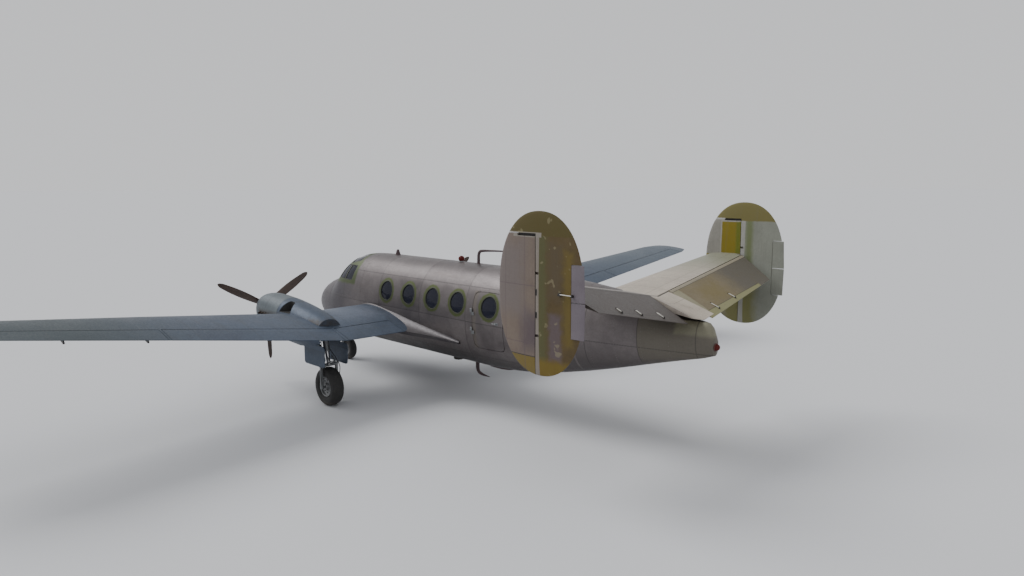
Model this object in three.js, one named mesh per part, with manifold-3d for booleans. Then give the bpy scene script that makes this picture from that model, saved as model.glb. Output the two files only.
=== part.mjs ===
// Twin-engine transport aircraft, parked on its retractable tricycle gear.
// Frame: millimetres, +X towards the nose, +Y towards the left wing tip, +Z up.
// The origin is on the ground under the middle of the aircraft's length and span.
import * as THREE from "three";
import { mergeVertices } from "three/addons/utils/BufferGeometryUtils.js";
import Module from "manifold-3d";

const wasm = await Module();
wasm.setup();

// Driving dimensions
const seam = 0.3; // gap between pieces that touch
const running = 10; // clearance round a control surface
const pin = { radius: 14, bury: 24 }; // hinge pins, and how far they are let into what holds them
const wall = 45; // fuselage wall with its frames
const tailWall = 28; // the same, in the tapering tail
const ringPoints = 32;
const innerRingPoints = 16; // points of a ring on the wall's inner face
const nacellePoints = 22;
const wheelSides = 24;

// Fuselage sections, nose to tail: x, bottom z, top z, half width, roundness of the section
const fuselageStations = [
  [6250, 1555, 1705, 75, 2],
  [6225, 1440, 1815, 190, 2],
  [6150, 1330, 1925, 300, 2],
  [6000, 1222, 2050, 415, 2],
  [5750, 1112, 2190, 540, 2.05],
  [5400, 1018, 2315, 660, 2.1],
  [5000, 955, 2410, 755, 2.15],
  [4720, 925, 2630, 800, 2.2],
  [4450, 905, 2850, 830, 2.2],
  [4150, 892, 2975, 850, 2.2],
  [3750, 884, 3065, 868, 2.25],
  [3200, 880, 3100, 880, 2.3],
  [700, 880, 3100, 880, 2.3],
  [-900, 885, 3098, 876, 2.3],
  [-1700, 925, 3080, 850, 2.3],
  [-2500, 1030, 3040, 785, 2.25],
  [-3300, 1195, 2980, 680, 2.2],
  [-4200, 1420, 2895, 535, 2.15],
  [-5000, 1640, 2780, 370, 2.1],
  [-5600, 1800, 2655, 235, 2.05],
  [-6000, 1905, 2545, 140, 2],
  [-6170, 1965, 2330, 95, 2],
];
const noseJoint = 5080; // x where the nose cone meets the cockpit
const cockpitJoint = 3350; // x where the cockpit meets the cabin panels
const tailJoint = -2150; // x where the cabin panels meet the tail cone
const floorTop = 1360;
const sideTop = 2700; // z where the side panels meet the roof panel
const bellyPad = { x: 560, drumRadius: 125, drumBottom: 792, radius: 60, top: 900, bottom: 780 };
const tailLamp = { x: -6170 - seam, z: 2120, radius: 62, length: 80 - seam };

const doorway = { front: -960, rear: -1760, bottom: 1490, top: 2590, corner: 130, flare: 1.2 };
const doorHinge = { x: -905, y: 893, barrel: 11, leaf: 60, depth: 45, height: 70, zs: [1800, 2200] };
const cabinWindow = { radius: 225, z: 2335, xs: [2218, 1349, 480, -389] };
const doorWindowX = -1381;

// Roof fittings: the bent mast's table holds x, z, half chord and half thickness, from its root to its tip
const roofMast = [[-160, 3080, 47, 22], [-162, 3270, 44, 20], [-180, 3338, 42, 19], [-228, 3384, 34, 17],
  [-340, 3402, 28, 14], [-600, 3416, 22, 12], [-950, 3430, 16, 9], [-1010, 3431, 6, 5]];
const aerialStub = { x: 2885, bottom: 3080, top: 3236, radius: 75, topRadius: 28 };
const beaconX = 430;
const beaconProfile = [[0, 3080], [50, 3080], [50, 3118], [62, 3130], [72, 3165], [66, 3205], [45, 3232],
  [0, 3243]]; // radius, z

// Belly fittings: the bent mast as above; the fairing's table holds x, bottom z and half width
const bellyMast = [[-100, 905, 66, 22], [-97, 740, 62, 20], [-110, 652, 56, 19], [-165, 592, 44, 16],
  [-300, 560, 27, 12], [-511, 548, 6, 5]];
const bellyFairing = [[-480, 868, 30], [-530, 825, 75], [-640, 806, 100], [-900, 803, 105], [-1120, 818, 80],
  [-1300, 858, 40], [-1372, 893, 12]];
const bellyFairingTop = 922;

// Cockpit panes as outlines in side view (x, z), front view (y, z) or plan (x, y)
const sidePane = [[4500, 2455], [4350, 2800], [3735, 2815], [3790, 2440]];
const frontPane = [[35, 2440], [45, 2790], [330, 2770], [490, 2450]];
const browPane = [[4320, 90], [3800, 90], [3800, 330], [4270, 350]];
const pane = { frameInset: 12, thickness: 12 };

// Wing sections, root to tip: y, leading edge x and z, trailing edge x and z, thickness ratio
const wingStations = [
  [300, 3400, 1770, 1060, 1535, 0.15],
  [2750, 3240, 1795, 1010, 1575, 0.15],
  [6400, 2870, 2225, 890, 2150, 0.14],
  [9750, 2535, 2600, 790, 2665, 0.125],
  [10130, 2420, 2640, 960, 2705, 0.12],
  [10300, 2200, 2665, 1250, 2712, 0.11],
  [10345, 1990, 2680, 1480, 2710, 0.1],
];
const wingCamber = 0.02;
const aileronSpan = { inner: 6460, outer: 9700, hingeChord: 0.77 };
const innerFlapSpan = { inner: 1240, outer: 2700, hingeChord: 0.76 };
const outerFlapSpan = { inner: 2800, outer: 6400, hingeChord: 0.76 };

// Wing root fairing, front to rear: x, top z on the fuselage, outer edge y and z, lower z
const filletStations = [
  [3560, 1880, 900, 1800, 1700],
  [3380, 1945, 1040, 1820, 1640],
  [2900, 2030, 1230, 1850, 1560],
  [1950, 1955, 1255, 1690, 1500],
  [1100, 1800, 1190, 1560, 1470],
  [300, 1650, 980, 1510, 1440],
  [-420, 1490, 860, 1455, 1420],
];

// Nacelle sections, front to rear: x, centre z, half width, half height
const nacelleY = 2750;
const nacelleStations = [
  [4480, 1880, 300, 290],
  [4400, 1875, 370, 365],
  [4150, 1850, 405, 430],
  [3700, 1790, 420, 480],
  [3200, 1735, 425, 500],
  [2700, 1690, 425, 480],
  [2200, 1640, 400, 440],
  [1800, 1610, 340, 370],
  [1500, 1600, 250, 260],
];
const mainBay = { rear: 1420, front: 2700, halfWidth: 270, top: 1560 };
const cowlJoint = 3330;
const cowlWall = 25;
const airOutlet = { outline: [[3105, 120], [3240, 415], [2720, 415], [2930, 120]], floor: 1980, corner: 25 };
const exhaust = { rear: 3520, spacing: 125, count: 6, z: 1855, radius: 27, bury: 45, out: 62, back: 70 };
const enginePlace = { front: 4380, z: 1865, halfWidth: 300, halfHeight: 278 };
const propeller = { x: 4600, z: 1930, radius: 1350, hubRadius: 115, hubLength: 230, shaftRadius: 45,
  topBladeDeg: 148 };

const noseBay = { rear: 5100, front: 5530, halfWidth: 150, top: 1520 };
const mainWheel = { x: 1780, radius: 430, width: 290, rimRadius: 215 };
const noseWheel = { x: 5330, radius: 300, width: 210, rimRadius: 150 };

// Tail
const tailHingeX = -5004;
const tailplane = { tipY: 3086, rootZ: 2782, tipZ: 3356, rootLead: -3700, tipLead: -4150,
  rootTrail: -5935, tipTrail: -5790, thickness: 0.1 };
const elevator = { inner: 340, outer: 2952, droopDeg: 20, cutBack: 420 };
const fin = { y: 3086, front: -4084, rear: -5826, bottom: 1975, top: 4495, hingeX: -4939, thickness: 105 };
const hornZ = 4157; // above this the whole tip belongs to the rudder
const rudderNoseRadius = 51;
const rudderBracket = { zs: [2600, 3560], slot: 40, slotDepth: 34, arm: 16, halfWidth: 15, reach: 90 };
const rudderSwing = 115; // radius about the rudder's hinge that the tailplane's tip leaves free

function toSolid(geometry) {
  const bare = geometry.clone();
  bare.deleteAttribute("normal");
  bare.deleteAttribute("uv");
  const merged = mergeVertices(bare, 1e-3);
  return new wasm.Manifold(new wasm.Mesh({
    numProp: 3,
    vertProperties: Float32Array.from(merged.attributes.position.array),
    triVerts: Uint32Array.from(merged.index.array),
  }));
}

// Joins rings of equal point counts into a closed solid, with flat ends
function loft(rings) {
  const count = rings[0].length;
  const points = rings.flat();
  const triangles = [];
  for (let k = 0; k < rings.length - 1; k++) {
    for (let i = 0; i < count; i++) {
      const a = k * count + i;
      const b = k * count + ((i + 1) % count);
      triangles.push([a, b, b + count], [a, b + count, a + count]);
    }
  }
  for (const [start, flip] of [[0, true], [(rings.length - 1) * count, false]]) {
    const ring = points.slice(start, start + count);
    for (const [a, b, c] of capTriangles(ring)) {
      triangles.push(flip ? [start + a, start + c, start + b] : [start + a, start + b, start + c]);
    }
  }
  let volume = 0;
  for (const [a, b, c] of triangles) {
    volume += points[a].dot(new THREE.Vector3().crossVectors(points[b], points[c]));
  }
  const order = volume > 0 ? triangles : triangles.map(([a, b, c]) => [a, c, b]);
  const geometry = new THREE.BufferGeometry();
  const flat = points.flatMap((p) => [p.x, p.y, p.z]);
  geometry.setAttribute("position", new THREE.Float32BufferAttribute(flat, 3));
  geometry.setIndex(order.flat());
  return toSolid(geometry);
}

// Triangulates a flat ring in its own plane, wound as the ring is
function capTriangles(ring) {
  const normal = new THREE.Vector3();
  ring.forEach((p, i) => {
    normal.add(new THREE.Vector3().crossVectors(p, ring[(i + 1) % ring.length]));
  });
  normal.normalize();
  const across = new THREE.Vector3(Math.abs(normal.x) < 0.9 ? 1 : 0, Math.abs(normal.x) < 0.9 ? 0 : 1, 0);
  across.addScaledVector(normal, -across.dot(normal)).normalize();
  const up = new THREE.Vector3().crossVectors(normal, across);
  const flat = ring.map((p) => new THREE.Vector2(p.dot(across), p.dot(up)));
  return THREE.ShapeUtils.triangulateShape(flat, []);
}

function box(low, high) {
  const size = high.map((v, i) => v - low[i]);
  const geometry = new THREE.BoxGeometry(...size);
  geometry.translate(...low.map((v, i) => v + size[i] / 2));
  return toSolid(geometry);
}

// A straight rod between two points, its end radii given
function rod(start, end, startRadius, endRadius = startRadius, sides = 14) {
  const from = new THREE.Vector3(...start);
  const to = new THREE.Vector3(...end);
  const along = to.clone().sub(from);
  const geometry = new THREE.CylinderGeometry(endRadius, startRadius, along.length(), sides);
  geometry.applyQuaternion(new THREE.Quaternion().setFromUnitVectors(
    new THREE.Vector3(0, 1, 0), along.clone().normalize()));
  geometry.translate(...from.clone().add(to).multiplyScalar(0.5).toArray());
  return toSolid(geometry);
}

// A prism with the outline given in two axes, running along the third
function prism(outline, axis, low, high, flare = 1) {
  const middle = [0, 1].map((k) => outline.reduce((sum, p) => sum + p[k], 0) / outline.length);
  const place = { x: (u, v, w) => [w, u, v], y: (u, v, w) => [u, w, v], z: (u, v, w) => [u, v, w] }[axis];
  const ring = (w, scale) => outline.map(([u, v]) => new THREE.Vector3(...place(
    middle[0] + (u - middle[0]) * scale, middle[1] + (v - middle[1]) * scale, w)));
  return loft([ring(low, 1), ring(high, flare)]);
}

// Rounds the corners of an outline with arcs drawn as quadratic curves
function rounded(outline, radius, steps = 4) {
  const result = [];
  outline.forEach((corner, i) => {
    const here = new THREE.Vector2(...corner);
    const before = new THREE.Vector2(...outline[(i + outline.length - 1) % outline.length]).sub(here);
    const after = new THREE.Vector2(...outline[(i + 1) % outline.length]).sub(here);
    const start = before.setLength(radius).add(here);
    const end = after.setLength(radius).add(here);
    const curve = new THREE.QuadraticBezierCurve(start, here, end);
    curve.getPoints(steps).forEach((p) => result.push([p.x, p.y]));
  });
  return result;
}

const mix = (a, b, t) => a + (b - a) * t;

// Fuselage

function sectionPoint(bottom, top, halfWidth, roundness, angle) {
  const c = Math.cos(angle);
  const s = Math.sin(angle);
  const power = 2 / roundness;
  return [halfWidth * Math.sign(c) * Math.abs(c) ** power,
    (top + bottom) / 2 + ((top - bottom) / 2) * Math.sign(s) * Math.abs(s) ** power];
}

function fuselageLoft(inset, front = Infinity, rear = -Infinity, count = ringPoints) {
  const rings = fuselageStations.filter(([x]) => x <= front && x >= rear).map(
    ([x, bottom, top, halfWidth, roundness]) => Array.from({ length: count }, (_, i) => {
      const [y, z] = sectionPoint(bottom + inset, top - inset, halfWidth - inset, roundness,
        (i / count) * 2 * Math.PI);
      return new THREE.Vector3(x, y, z);
    }));
  return loft(rings);
}

const far = 20000;
const slab = (xLow, xHigh, zLow = -far, zHigh = far, yLow = -far, yHigh = far) =>
  box([xLow, yLow, zLow], [xHigh, yHigh, zHigh]);

const outerSkin = fuselageLoft(0);
const innerSkin = fuselageLoft(wall, 5100, -4200, innerRingPoints);
const fuselageClear = fuselageLoft(-seam);
const shell = outerSkin.subtract(innerSkin);

function circle(x, z, radius, sides = 16) {
  return Array.from({ length: sides }, (_, i) => {
    const a = (i / sides) * 2 * Math.PI;
    return [x + radius * Math.cos(a), z + radius * Math.sin(a)];
  });
}

function windowCutters(side) {
  const [low, high] = side > 0 ? [400, 1200] : [-1200, -400];
  const xs = side > 0 ? cabinWindow.xs : [...cabinWindow.xs, doorWindowX];
  return xs.map((x) => prism(circle(x, cabinWindow.z, cabinWindow.radius), "y", low, high));
}

function doorOutline(margin) {
  const { front, rear, bottom, top, corner } = doorway;
  return rounded([[front + margin, bottom - margin], [front + margin, top + margin],
    [rear - margin, top + margin], [rear - margin, bottom - margin]], corner);
}

// The doorway widens outwards so that the door's rear edge swings clear of its jamb
function doorCutter(margin) {
  return prism(doorOutline(margin), "y", 480, 1000, doorway.flare);
}

function cabinSide(side) {
  let panel = shell.intersect(side > 0
    ? slab(tailJoint, cockpitJoint, floorTop, sideTop, 0, far)
    : slab(tailJoint, cockpitJoint, floorTop, sideTop, -far, 0));
  for (const cutter of windowCutters(side)) {
    panel = panel.subtract(cutter);
  }
  return side > 0 ? panel.subtract(doorCutter(0)).add(doorHinges(1)) : panel;
}

function entranceDoor() {
  const blank = shell.intersect(doorCutter(-running)).add(doorHinges(-1));
  return blank.subtract(prism(circle(doorWindowX, cabinWindow.z, cabinWindow.radius), "y", 400, 1200));
}

// Each hinge is a leaf and a barrel: the upper half is the panel's, the lower half the door's
function doorHinges(toFront) {
  const { x, y, barrel, leaf, depth, height, zs } = doorHinge;
  const halves = zs.map((z) => {
    const [low, high] = toFront > 0 ? [z + seam / 2, z + height] : [z - height, z - seam / 2];
    const [rear, front] = [x, x + toFront * leaf].sort((a, b) => a - b);
    const plate = box([rear, y - depth, low], [front, y, high]);
    return plate.add(rod([x, y, low], [x, y, high], barrel, barrel, 10));
  });
  return halves[0].add(halves[1]);
}

// Sections down a bent mast, each an oval square to the mast's run there
function bentMast(table) {
  const rings = table.map(([x, z, halfChord, halfThickness], k) => {
    const before = table[Math.max(0, k - 1)];
    const after = table[Math.min(table.length - 1, k + 1)];
    const run = new THREE.Vector2(after[0] - before[0], after[1] - before[1]).normalize();
    return Array.from({ length: 8 }, (_, i) => {
      const a = (i / 8) * 2 * Math.PI;
      const along = halfChord * Math.cos(a);
      return new THREE.Vector3(x + along * run.y, halfThickness * Math.sin(a), z - along * run.x);
    });
  });
  return loft(rings);
}

// A profile of radius and height turned about an upright axis
function turnedUp(profile, x, y, sides = 16) {
  const geometry = new THREE.LatheGeometry(profile.map((p) => new THREE.Vector2(...p)), sides);
  geometry.rotateX(Math.PI / 2);
  geometry.translate(x, y, 0);
  return toSolid(geometry);
}

function cabinRoof() {
  const { x, bottom, top, radius, topRadius } = aerialStub;
  return shell.intersect(slab(tailJoint, cockpitJoint, sideTop + seam, far))
    .add(bentMast(roofMast)).add(turnedUp(beaconProfile, beaconX, 0))
    .add(rod([x, 0, bottom], [x, 0, top], radius, topRadius, 12));
}

// A drop-shaped fairing under the belly: half ovals hung from a flat top
function bellyFairingSolid() {
  const steps = 8;
  return loft(bellyFairing.map(([x, bottom, halfWidth]) => Array.from({ length: steps + 1 }, (_, i) => {
    const a = (1 + i / steps) * Math.PI;
    const depth = bellyFairingTop - bottom;
    return new THREE.Vector3(x, halfWidth * Math.cos(a), bellyFairingTop + depth * Math.sin(a));
  })));
}

function belly() {
  const under = shell.intersect(slab(tailJoint, noseJoint - seam, -far, floorTop - seam));
  const { x, drumRadius, drumBottom, radius, top, bottom } = bellyPad;
  return under.add(rod([x, 0, top], [x, 0, drumBottom], drumRadius, drumRadius, 20))
    .add(rod([x, 0, top], [x, 0, bottom], radius)).add(bentMast(bellyMast)).add(bellyFairingSolid());
}

function noseCone() {
  const { rear, front, halfWidth, top } = noseBay;
  const bay = box([rear, -halfWidth, 900], [front, halfWidth, top]);
  return outerSkin.intersect(slab(noseJoint, far)).subtract(bay);
}

function paneCutters(side, shrink) {
  const smaller = (outline) => {
    const middle = [0, 1].map((k) => outline.reduce((sum, p) => sum + p[k], 0) / outline.length);
    return outline.map((p) => p.map((v, k) => v - Math.sign(v - middle[k]) * shrink));
  };
  const [low, high] = side > 0 ? [300, 1200] : [-1200, -300];
  return {
    side: prism(smaller(sidePane), "y", low, high),
    front: prism(smaller(frontPane).map(([y, z]) => [y * side, z]), "x", 4300, 5300),
    brow: prism(smaller(browPane).map(([x, y]) => [x, y * side]), "z", 2700, 3300),
  };
}

function cockpitSection() {
  let body = shell.intersect(slab(cockpitJoint + seam, noseJoint - seam, floorTop));
  for (const side of [1, -1]) {
    const cutters = paneCutters(side, 0);
    body = body.subtract(cutters.side).subtract(cutters.brow).subtract(cutters.front);
  }
  return body;
}

const glassShell = fuselageLoft(pane.frameInset, 5400, 3200)
  .subtract(fuselageLoft(pane.frameInset + pane.thickness, 5400, 3200));

const cockpitGlass = (side, name) => glassShell.intersect(paneCutters(side, seam)[name]);

function tailSection() {
  const hollow = fuselageLoft(tailWall, -1500, -6000, innerRingPoints);
  return outerSkin.subtract(hollow).intersect(slab(-far, tailJoint - seam)).subtract(tailplaneBlank(0.6));
}

// Solids that stand inside the shell are cut to this, a seam off the wall's inner face
const cabinSpace = fuselageLoft(wall + seam, 5100, -4200, innerRingPoints);

function tailBulkhead() {
  return cabinSpace.intersect(slab(tailJoint + 20, tailJoint + 60, floorTop + seam));
}

function tailLampSolid() {
  const { x, z, radius, length } = tailLamp;
  const profile = [[0, 0], [radius, 0], [radius, length * 0.5], [radius * 0.7, length * 0.85], [0, length]];
  const geometry = new THREE.LatheGeometry(profile.map((p) => new THREE.Vector2(...p)), 20);
  geometry.rotateZ(Math.PI / 2);
  geometry.translate(x, 0, z);
  return toSolid(geometry);
}

// Cockpit and cabin inside

function cabinFloor() {
  return cabinSpace.intersect(slab(tailJoint + 80, noseJoint - 100, floorTop + seam, floorTop + 40));
}

function instrumentPanel() {
  const panel = cabinSpace.intersect(slab(4700, 4760, 1900, 2330));
  const foot = box([4700, -60, floorTop + 40 + seam], [4760, 60, 1910]);
  return panel.add(foot);
}

function pilotSeat(side) {
  const y = side * 380;
  const base = floorTop + 40 + seam;
  const cushion = box([3900, y - 210, base + 260], [4350, y + 210, base + 380]);
  const back = box([3830, y - 200, base + 250], [3930, y + 200, base + 1020]);
  const pedestal = box([4000, y - 120, base], [4250, y + 120, base + 270]);
  return cushion.add(back).add(pedestal);
}

// Wing

const aerofoilSide = 12; // points along each face of a wing section

// Points of an aerofoil from trailing edge over the top and back below; chord from 0 to 1
function aerofoil(thickness, camber, perSide = aerofoilSide) {
  const half = (t) => 5 * thickness * (0.2969 * Math.sqrt(t) - 0.126 * t - 0.3516 * t ** 2
    + 0.2843 * t ** 3 - 0.1015 * t ** 4) + 0.0012;
  const line = (t) => 4 * camber * t * (1 - t);
  const steps = Array.from({ length: perSide }, (_, i) => (1 - Math.cos((i / (perSide - 1)) * Math.PI)) / 2);
  const top = steps.slice().reverse().map((t) => [t, line(t) + half(t)]);
  const under = steps.slice(1).map((t) => [t, line(t) - half(t)]);
  return [...top, ...under];
}

function wingStationAt(y) {
  const k = Math.max(1, wingStations.findIndex((s) => s[0] >= y));
  const [a, b] = [wingStations[k - 1], wingStations[k]];
  const t = (y - a[0]) / (b[0] - a[0]);
  return a.map((v, i) => mix(v, b[i], t));
}

function wingRing([y, leadX, leadZ, trailX, trailZ, thickness], side, grow) {
  const chord = leadX - trailX;
  return aerofoil(thickness, wingCamber).map(([t, h], i) => new THREE.Vector3(
    leadX + grow - t * (chord + 2 * grow), side * y,
    mix(leadZ, trailZ, t) + h * chord + (i < aerofoilSide ? grow : -grow)));
}

function wingBlank(side, grow = 0) {
  return loft(wingStations.map((station) => wingRing(station, side, grow)));
}

// The hinge line of a control surface: mid thickness at its share of the chord
function wingHinge(span, y) {
  const [, leadX, leadZ, trailX, trailZ, thickness] = wingStationAt(y);
  const chord = leadX - trailX;
  const t = span.hingeChord;
  const points = aerofoil(thickness, wingCamber, 60);
  const nearest = points.filter(([p]) => Math.abs(p - t) < 0.03).map((p) => p[1]);
  const radius = ((Math.max(...nearest) - Math.min(...nearest)) / 2) * chord;
  const middle = (Math.max(...nearest) + Math.min(...nearest)) / 2;
  return { x: leadX - t * chord, y, z: mix(leadZ, trailZ, t) + middle * chord, radius };
}

// What lies behind a hinge line, squared off at both ends, with a round nose about the line.
// Each end is a point with the nose's radius; cutBack slants the outer end inboard over zoneReach.
const zoneReach = 1000;

function hingeFrame(side, inner, outer) {
  const from = new THREE.Vector3(inner.x, side * inner.y, inner.z);
  const to = new THREE.Vector3(outer.x, side * outer.y, outer.z);
  const length = from.distanceTo(to);
  const along = to.sub(from).normalize();
  const back = new THREE.Vector3(-1, 0, 0);
  back.addScaledVector(along, -back.dot(along)).normalize();
  const up = new THREE.Vector3().crossVectors(along, back);
  const at = (distance, behind, lift) => from.clone().addScaledVector(along, distance)
    .addScaledVector(back, behind).addScaledVector(up, lift);
  return { at, length };
}

function hingeZone(side, inner, outer, grow, cutBack = 0) {
  const { at, length } = hingeFrame(side, inner, outer);
  const plan = [[-grow, 0], [length + grow, 0], [length + grow - cutBack, zoneReach], [-grow, zoneReach]];
  const ring = (lift) => plan.map(([distance, behind]) => at(distance, behind, lift));
  const [start, end] = [at(-grow, 0, 0), at(length + grow, 0, 0)];
  const nose = rod(start.toArray(), end.toArray(), inner.radius + grow, outer.radius + grow, 12);
  return loft([ring(-600), ring(600)]).add(nose);
}

// A pin on the hinge line from the fixed structure to an end of the surface, inner or outer
function hingePin(side, inner, outer, atOuter) {
  const { at, length } = hingeFrame(side, inner, outer);
  const reach = running + pin.bury;
  const [near, away] = atOuter ? [length + seam, length + reach] : [-seam, -reach];
  return rod(at(near, 0, 0).toArray(), at(away, 0, 0).toArray(), pin.radius, pin.radius, 8);
}

const surfaceZone = (side, span, grow) => (
  hingeZone(side, wingHinge(span, span.inner), wingHinge(span, span.outer), grow));

const controlSurface = (side, span) => wingBlank(side).intersect(surfaceZone(side, span, 0));

function wingFillet(side) {
  const rings = filletStations.map(([x, topZ, outerY, outerZ, lowerZ]) => {
    const root = 620;
    const start = new THREE.Vector2(830, topZ);
    const end = new THREE.Vector2(outerY, outerZ);
    const bend = new THREE.Vector2(mix(830, outerY, 0.12), mix(topZ, outerZ, 0.88));
    const curve = new THREE.QuadraticBezierCurve(start, bend, end).getPoints(5).map((p) => [p.x, p.y]);
    return [[root, lowerZ], [root, topZ], ...curve, [outerY - 15, lowerZ]]
      .map(([y, z]) => new THREE.Vector3(x, side * y, z));
  });
  return loft(rings);
}

const jackPad = { y: 3900, x: 2150, radius: 55, drop: 35 };
const aileronBracket = { ys: [6650, 8000, 9350], halfWidth: 9, depth: 88, reach: 290 };

// An arm under the wing that carries the aileron's hinge: it hangs clear of the round nose of the aileron
function aileronBracketSolid(side, y) {
  const { x, z, radius } = wingHinge(aileronSpan, y);
  const { halfWidth, depth, reach } = aileronBracket;
  const skin = z - radius;
  const outline = [[x + reach, skin], [x + 75, skin + 5], [x + 35, skin - 14], [x - 8, skin - 25],
    [x - 25, skin - depth], [x + 25, skin - depth], [x + reach, skin - 18]];
  return prism(outline, "y", side * y - halfWidth, side * y + halfWidth);
}

function wing(side) {
  let body = wingBlank(side).add(wingFillet(side));
  const spans = [aileronSpan, innerFlapSpan, outerFlapSpan];
  for (const span of spans) {
    body = body.subtract(surfaceZone(side, span, running));
  }
  for (const span of spans) {
    const ends = [wingHinge(span, span.inner), wingHinge(span, span.outer)];
    body = body.add(hingePin(side, ...ends, false)).add(hingePin(side, ...ends, true));
  }
  for (const y of aileronBracket.ys) {
    body = body.add(aileronBracketSolid(side, y));
  }
  const padTop = wingStationAt(jackPad.y)[2];
  const padPoint = (z) => [jackPad.x, side * jackPad.y, z];
  const pad = rod(padPoint(padTop - 20), padPoint(padTop - 160 - jackPad.drop), jackPad.radius);
  return body.add(pad).subtract(fuselageClear);
}

// Nacelle, cowling and engine

// The nacelle's sizes at x, between its stations
function nacelleStationAt(x) {
  const k = nacelleStations.findIndex((station) => station[0] <= x);
  const [ahead, behind] = [nacelleStations[k - 1], nacelleStations[k]];
  const t = (ahead[0] - x) / (ahead[0] - behind[0]);
  return ahead.map((value, i) => mix(value, behind[i], t));
}

function nacelleLoft(side, inset, front = Infinity, rear = -Infinity, count = nacellePoints) {
  return loft(nacelleStations.filter(([x]) => x <= front && x >= rear).map(
    ([x, centre, halfWidth, halfHeight]) => Array.from({ length: count }, (_, i) => {
      const [y, z] = sectionPoint(centre - halfHeight + inset, centre + halfHeight - inset, halfWidth - inset,
        2.2, (i / count) * 2 * Math.PI);
      return new THREE.Vector3(x, side * nacelleY + y, z);
    })));
}

function gearDoor(side, edge) {
  const y = side * nacelleY + edge * 285;
  return box([1450, y - 8, 930], [2300, y + 8, 1400]);
}

// The space above and behind the nacelle's tail that the lowered flaps pass through, in side view
const flapSweep = [[1705, 2100], [1705, 1530], [1480, 1425], [1000, 900], [600, 900], [600, 2100]];

function nacelle(side, wingSolid) {
  const y = side * nacelleY;
  const { rear, front, halfWidth, top } = mainBay;
  const bay = box([rear, y - halfWidth, 900], [front, y + halfWidth, top]);
  const body = nacelleLoft(side, 0).intersect(slab(-far, cowlJoint - seam)).subtract(bay);
  const { outline, floor, corner } = airOutlet;
  const opening = rounded(outline.map(([x, across]) => [x, y + side * across]), corner);
  return body.add(gearDoor(side, 1)).add(gearDoor(side, -1)).subtract(wingSolid)
    .subtract(prism(flapSweep, "y", y - 600, y + 600)).subtract(prism(opening, "z", floor, floor + 500));
}

// Short exhaust pipes that leave the cowling's wall on both sides and point backwards
function exhaustPipes(side) {
  const { rear, spacing, count, z, radius, bury, out, back } = exhaust;
  const pipes = [];
  for (const edge of [1, -1]) {
    for (let k = 0; k < count; k++) {
      const x = rear + k * spacing;
      const y = side * nacelleY + edge * nacelleStationAt(x)[2];
      pipes.push(rod([x, y - edge * bury, z], [x - back, y + edge * out, z], radius, radius, 8));
    }
  }
  return pipes;
}

function cowling(side) {
  const inside = nacelleLoft(side, cowlWall, far, 3000, 14);
  const body = nacelleLoft(side, 0, far, 3000).subtract(inside).intersect(slab(cowlJoint, 4470));
  return exhaustPipes(side).reduce((joined, pipe) => joined.add(pipe), body);
}

function engineBlock(side) {
  const { front, z, halfWidth: w, halfHeight: h } = enginePlace;
  const y = side * nacelleY;
  const quarter = [[0.62, 1], [1, 0.55], [1, -0.55], [0.62, -1]].map(([u, v]) => [y + u * w, z + v * h]);
  const opposite = quarter.slice().reverse().map(([u, v]) => [2 * y - u, v]);
  return prism([...quarter, ...opposite], "x", cowlJoint + seam, front);
}

function bladeRing(share) {
  const radius = mix(propeller.hubRadius * 0.7, propeller.radius, share);
  const taper = share > 0.9 ? 1 - (share - 0.9) * 6 : 1; // the tip is rounded off
  const chord = 90 + 115 * Math.sin(Math.PI * Math.min(1, share * 0.85 + 0.12)) * taper;
  const thickness = mix(70, 12, Math.sqrt(share));
  const pitch = THREE.MathUtils.degToRad(mix(52, 22, share));
  return Array.from({ length: 8 }, (_, i) => {
    const a = (i / 8) * 2 * Math.PI;
    const along = (chord / 2) * Math.cos(a);
    const across = (thickness / 2) * Math.sin(a);
    return new THREE.Vector3(along * Math.sin(pitch) + across * Math.cos(pitch),
      along * Math.cos(pitch) - across * Math.sin(pitch), radius);
  });
}

function propellerSolid(side) {
  const { x, z, hubRadius, hubLength, shaftRadius, topBladeDeg } = propeller;
  const y = side * nacelleY;
  const [rear, front] = [x - hubLength / 2, x + hubLength / 2];
  let body = rod([rear, y, z], [front, y, z], hubRadius, hubRadius, 20);
  body = body.add(rod([front - 5, y, z], [front + 150, y, z], hubRadius * 0.85, 40, 20));
  body = body.add(rod([enginePlace.front + seam, y, z], [rear + 5, y, z], shaftRadius));
  for (let k = 0; k < 3; k++) {
    const angle = THREE.MathUtils.degToRad(topBladeDeg - 90 + k * 120);
    const rings = [0, 0.12, 0.35, 0.6, 0.85, 0.96, 1].map((share) => bladeRing(share).map((p) => {
      const turned = p.clone().applyAxisAngle(new THREE.Vector3(1, 0, 0), angle);
      return turned.add(new THREE.Vector3(x, y, z));
    }));
    body = body.add(loft(rings));
  }
  return body;
}

// Wheels and legs

// A wheel turned about its axle; a flat of its polygon rests on the ground, so its corners reach further out
function lathedWheel({ x, radius }, y, profile) {
  const stretch = 1 / Math.cos(Math.PI / wheelSides);
  const points = profile.map(([r, across]) => new THREE.Vector2(r * stretch, across));
  const geometry = new THREE.LatheGeometry(points, wheelSides, Math.PI / wheelSides);
  geometry.translate(x, y, radius);
  return toSolid(geometry);
}

function tyre(wheel, y) {
  const { radius, width, rimRadius } = wheel;
  const half = width / 2;
  const cheek = [[rimRadius + seam, 0.72], [radius * 0.72, 0.98], [radius * 0.86, 0.95],
    [radius * 0.96, 0.66], [radius, 0.28]];
  const near = cheek.map(([r, share]) => [r, -half * share]);
  const away = cheek.map(([r, share]) => [r, half * share]).reverse();
  const profile = [...near, ...away, near[0]];
  return lathedWheel(wheel, y, profile);
}

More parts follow.
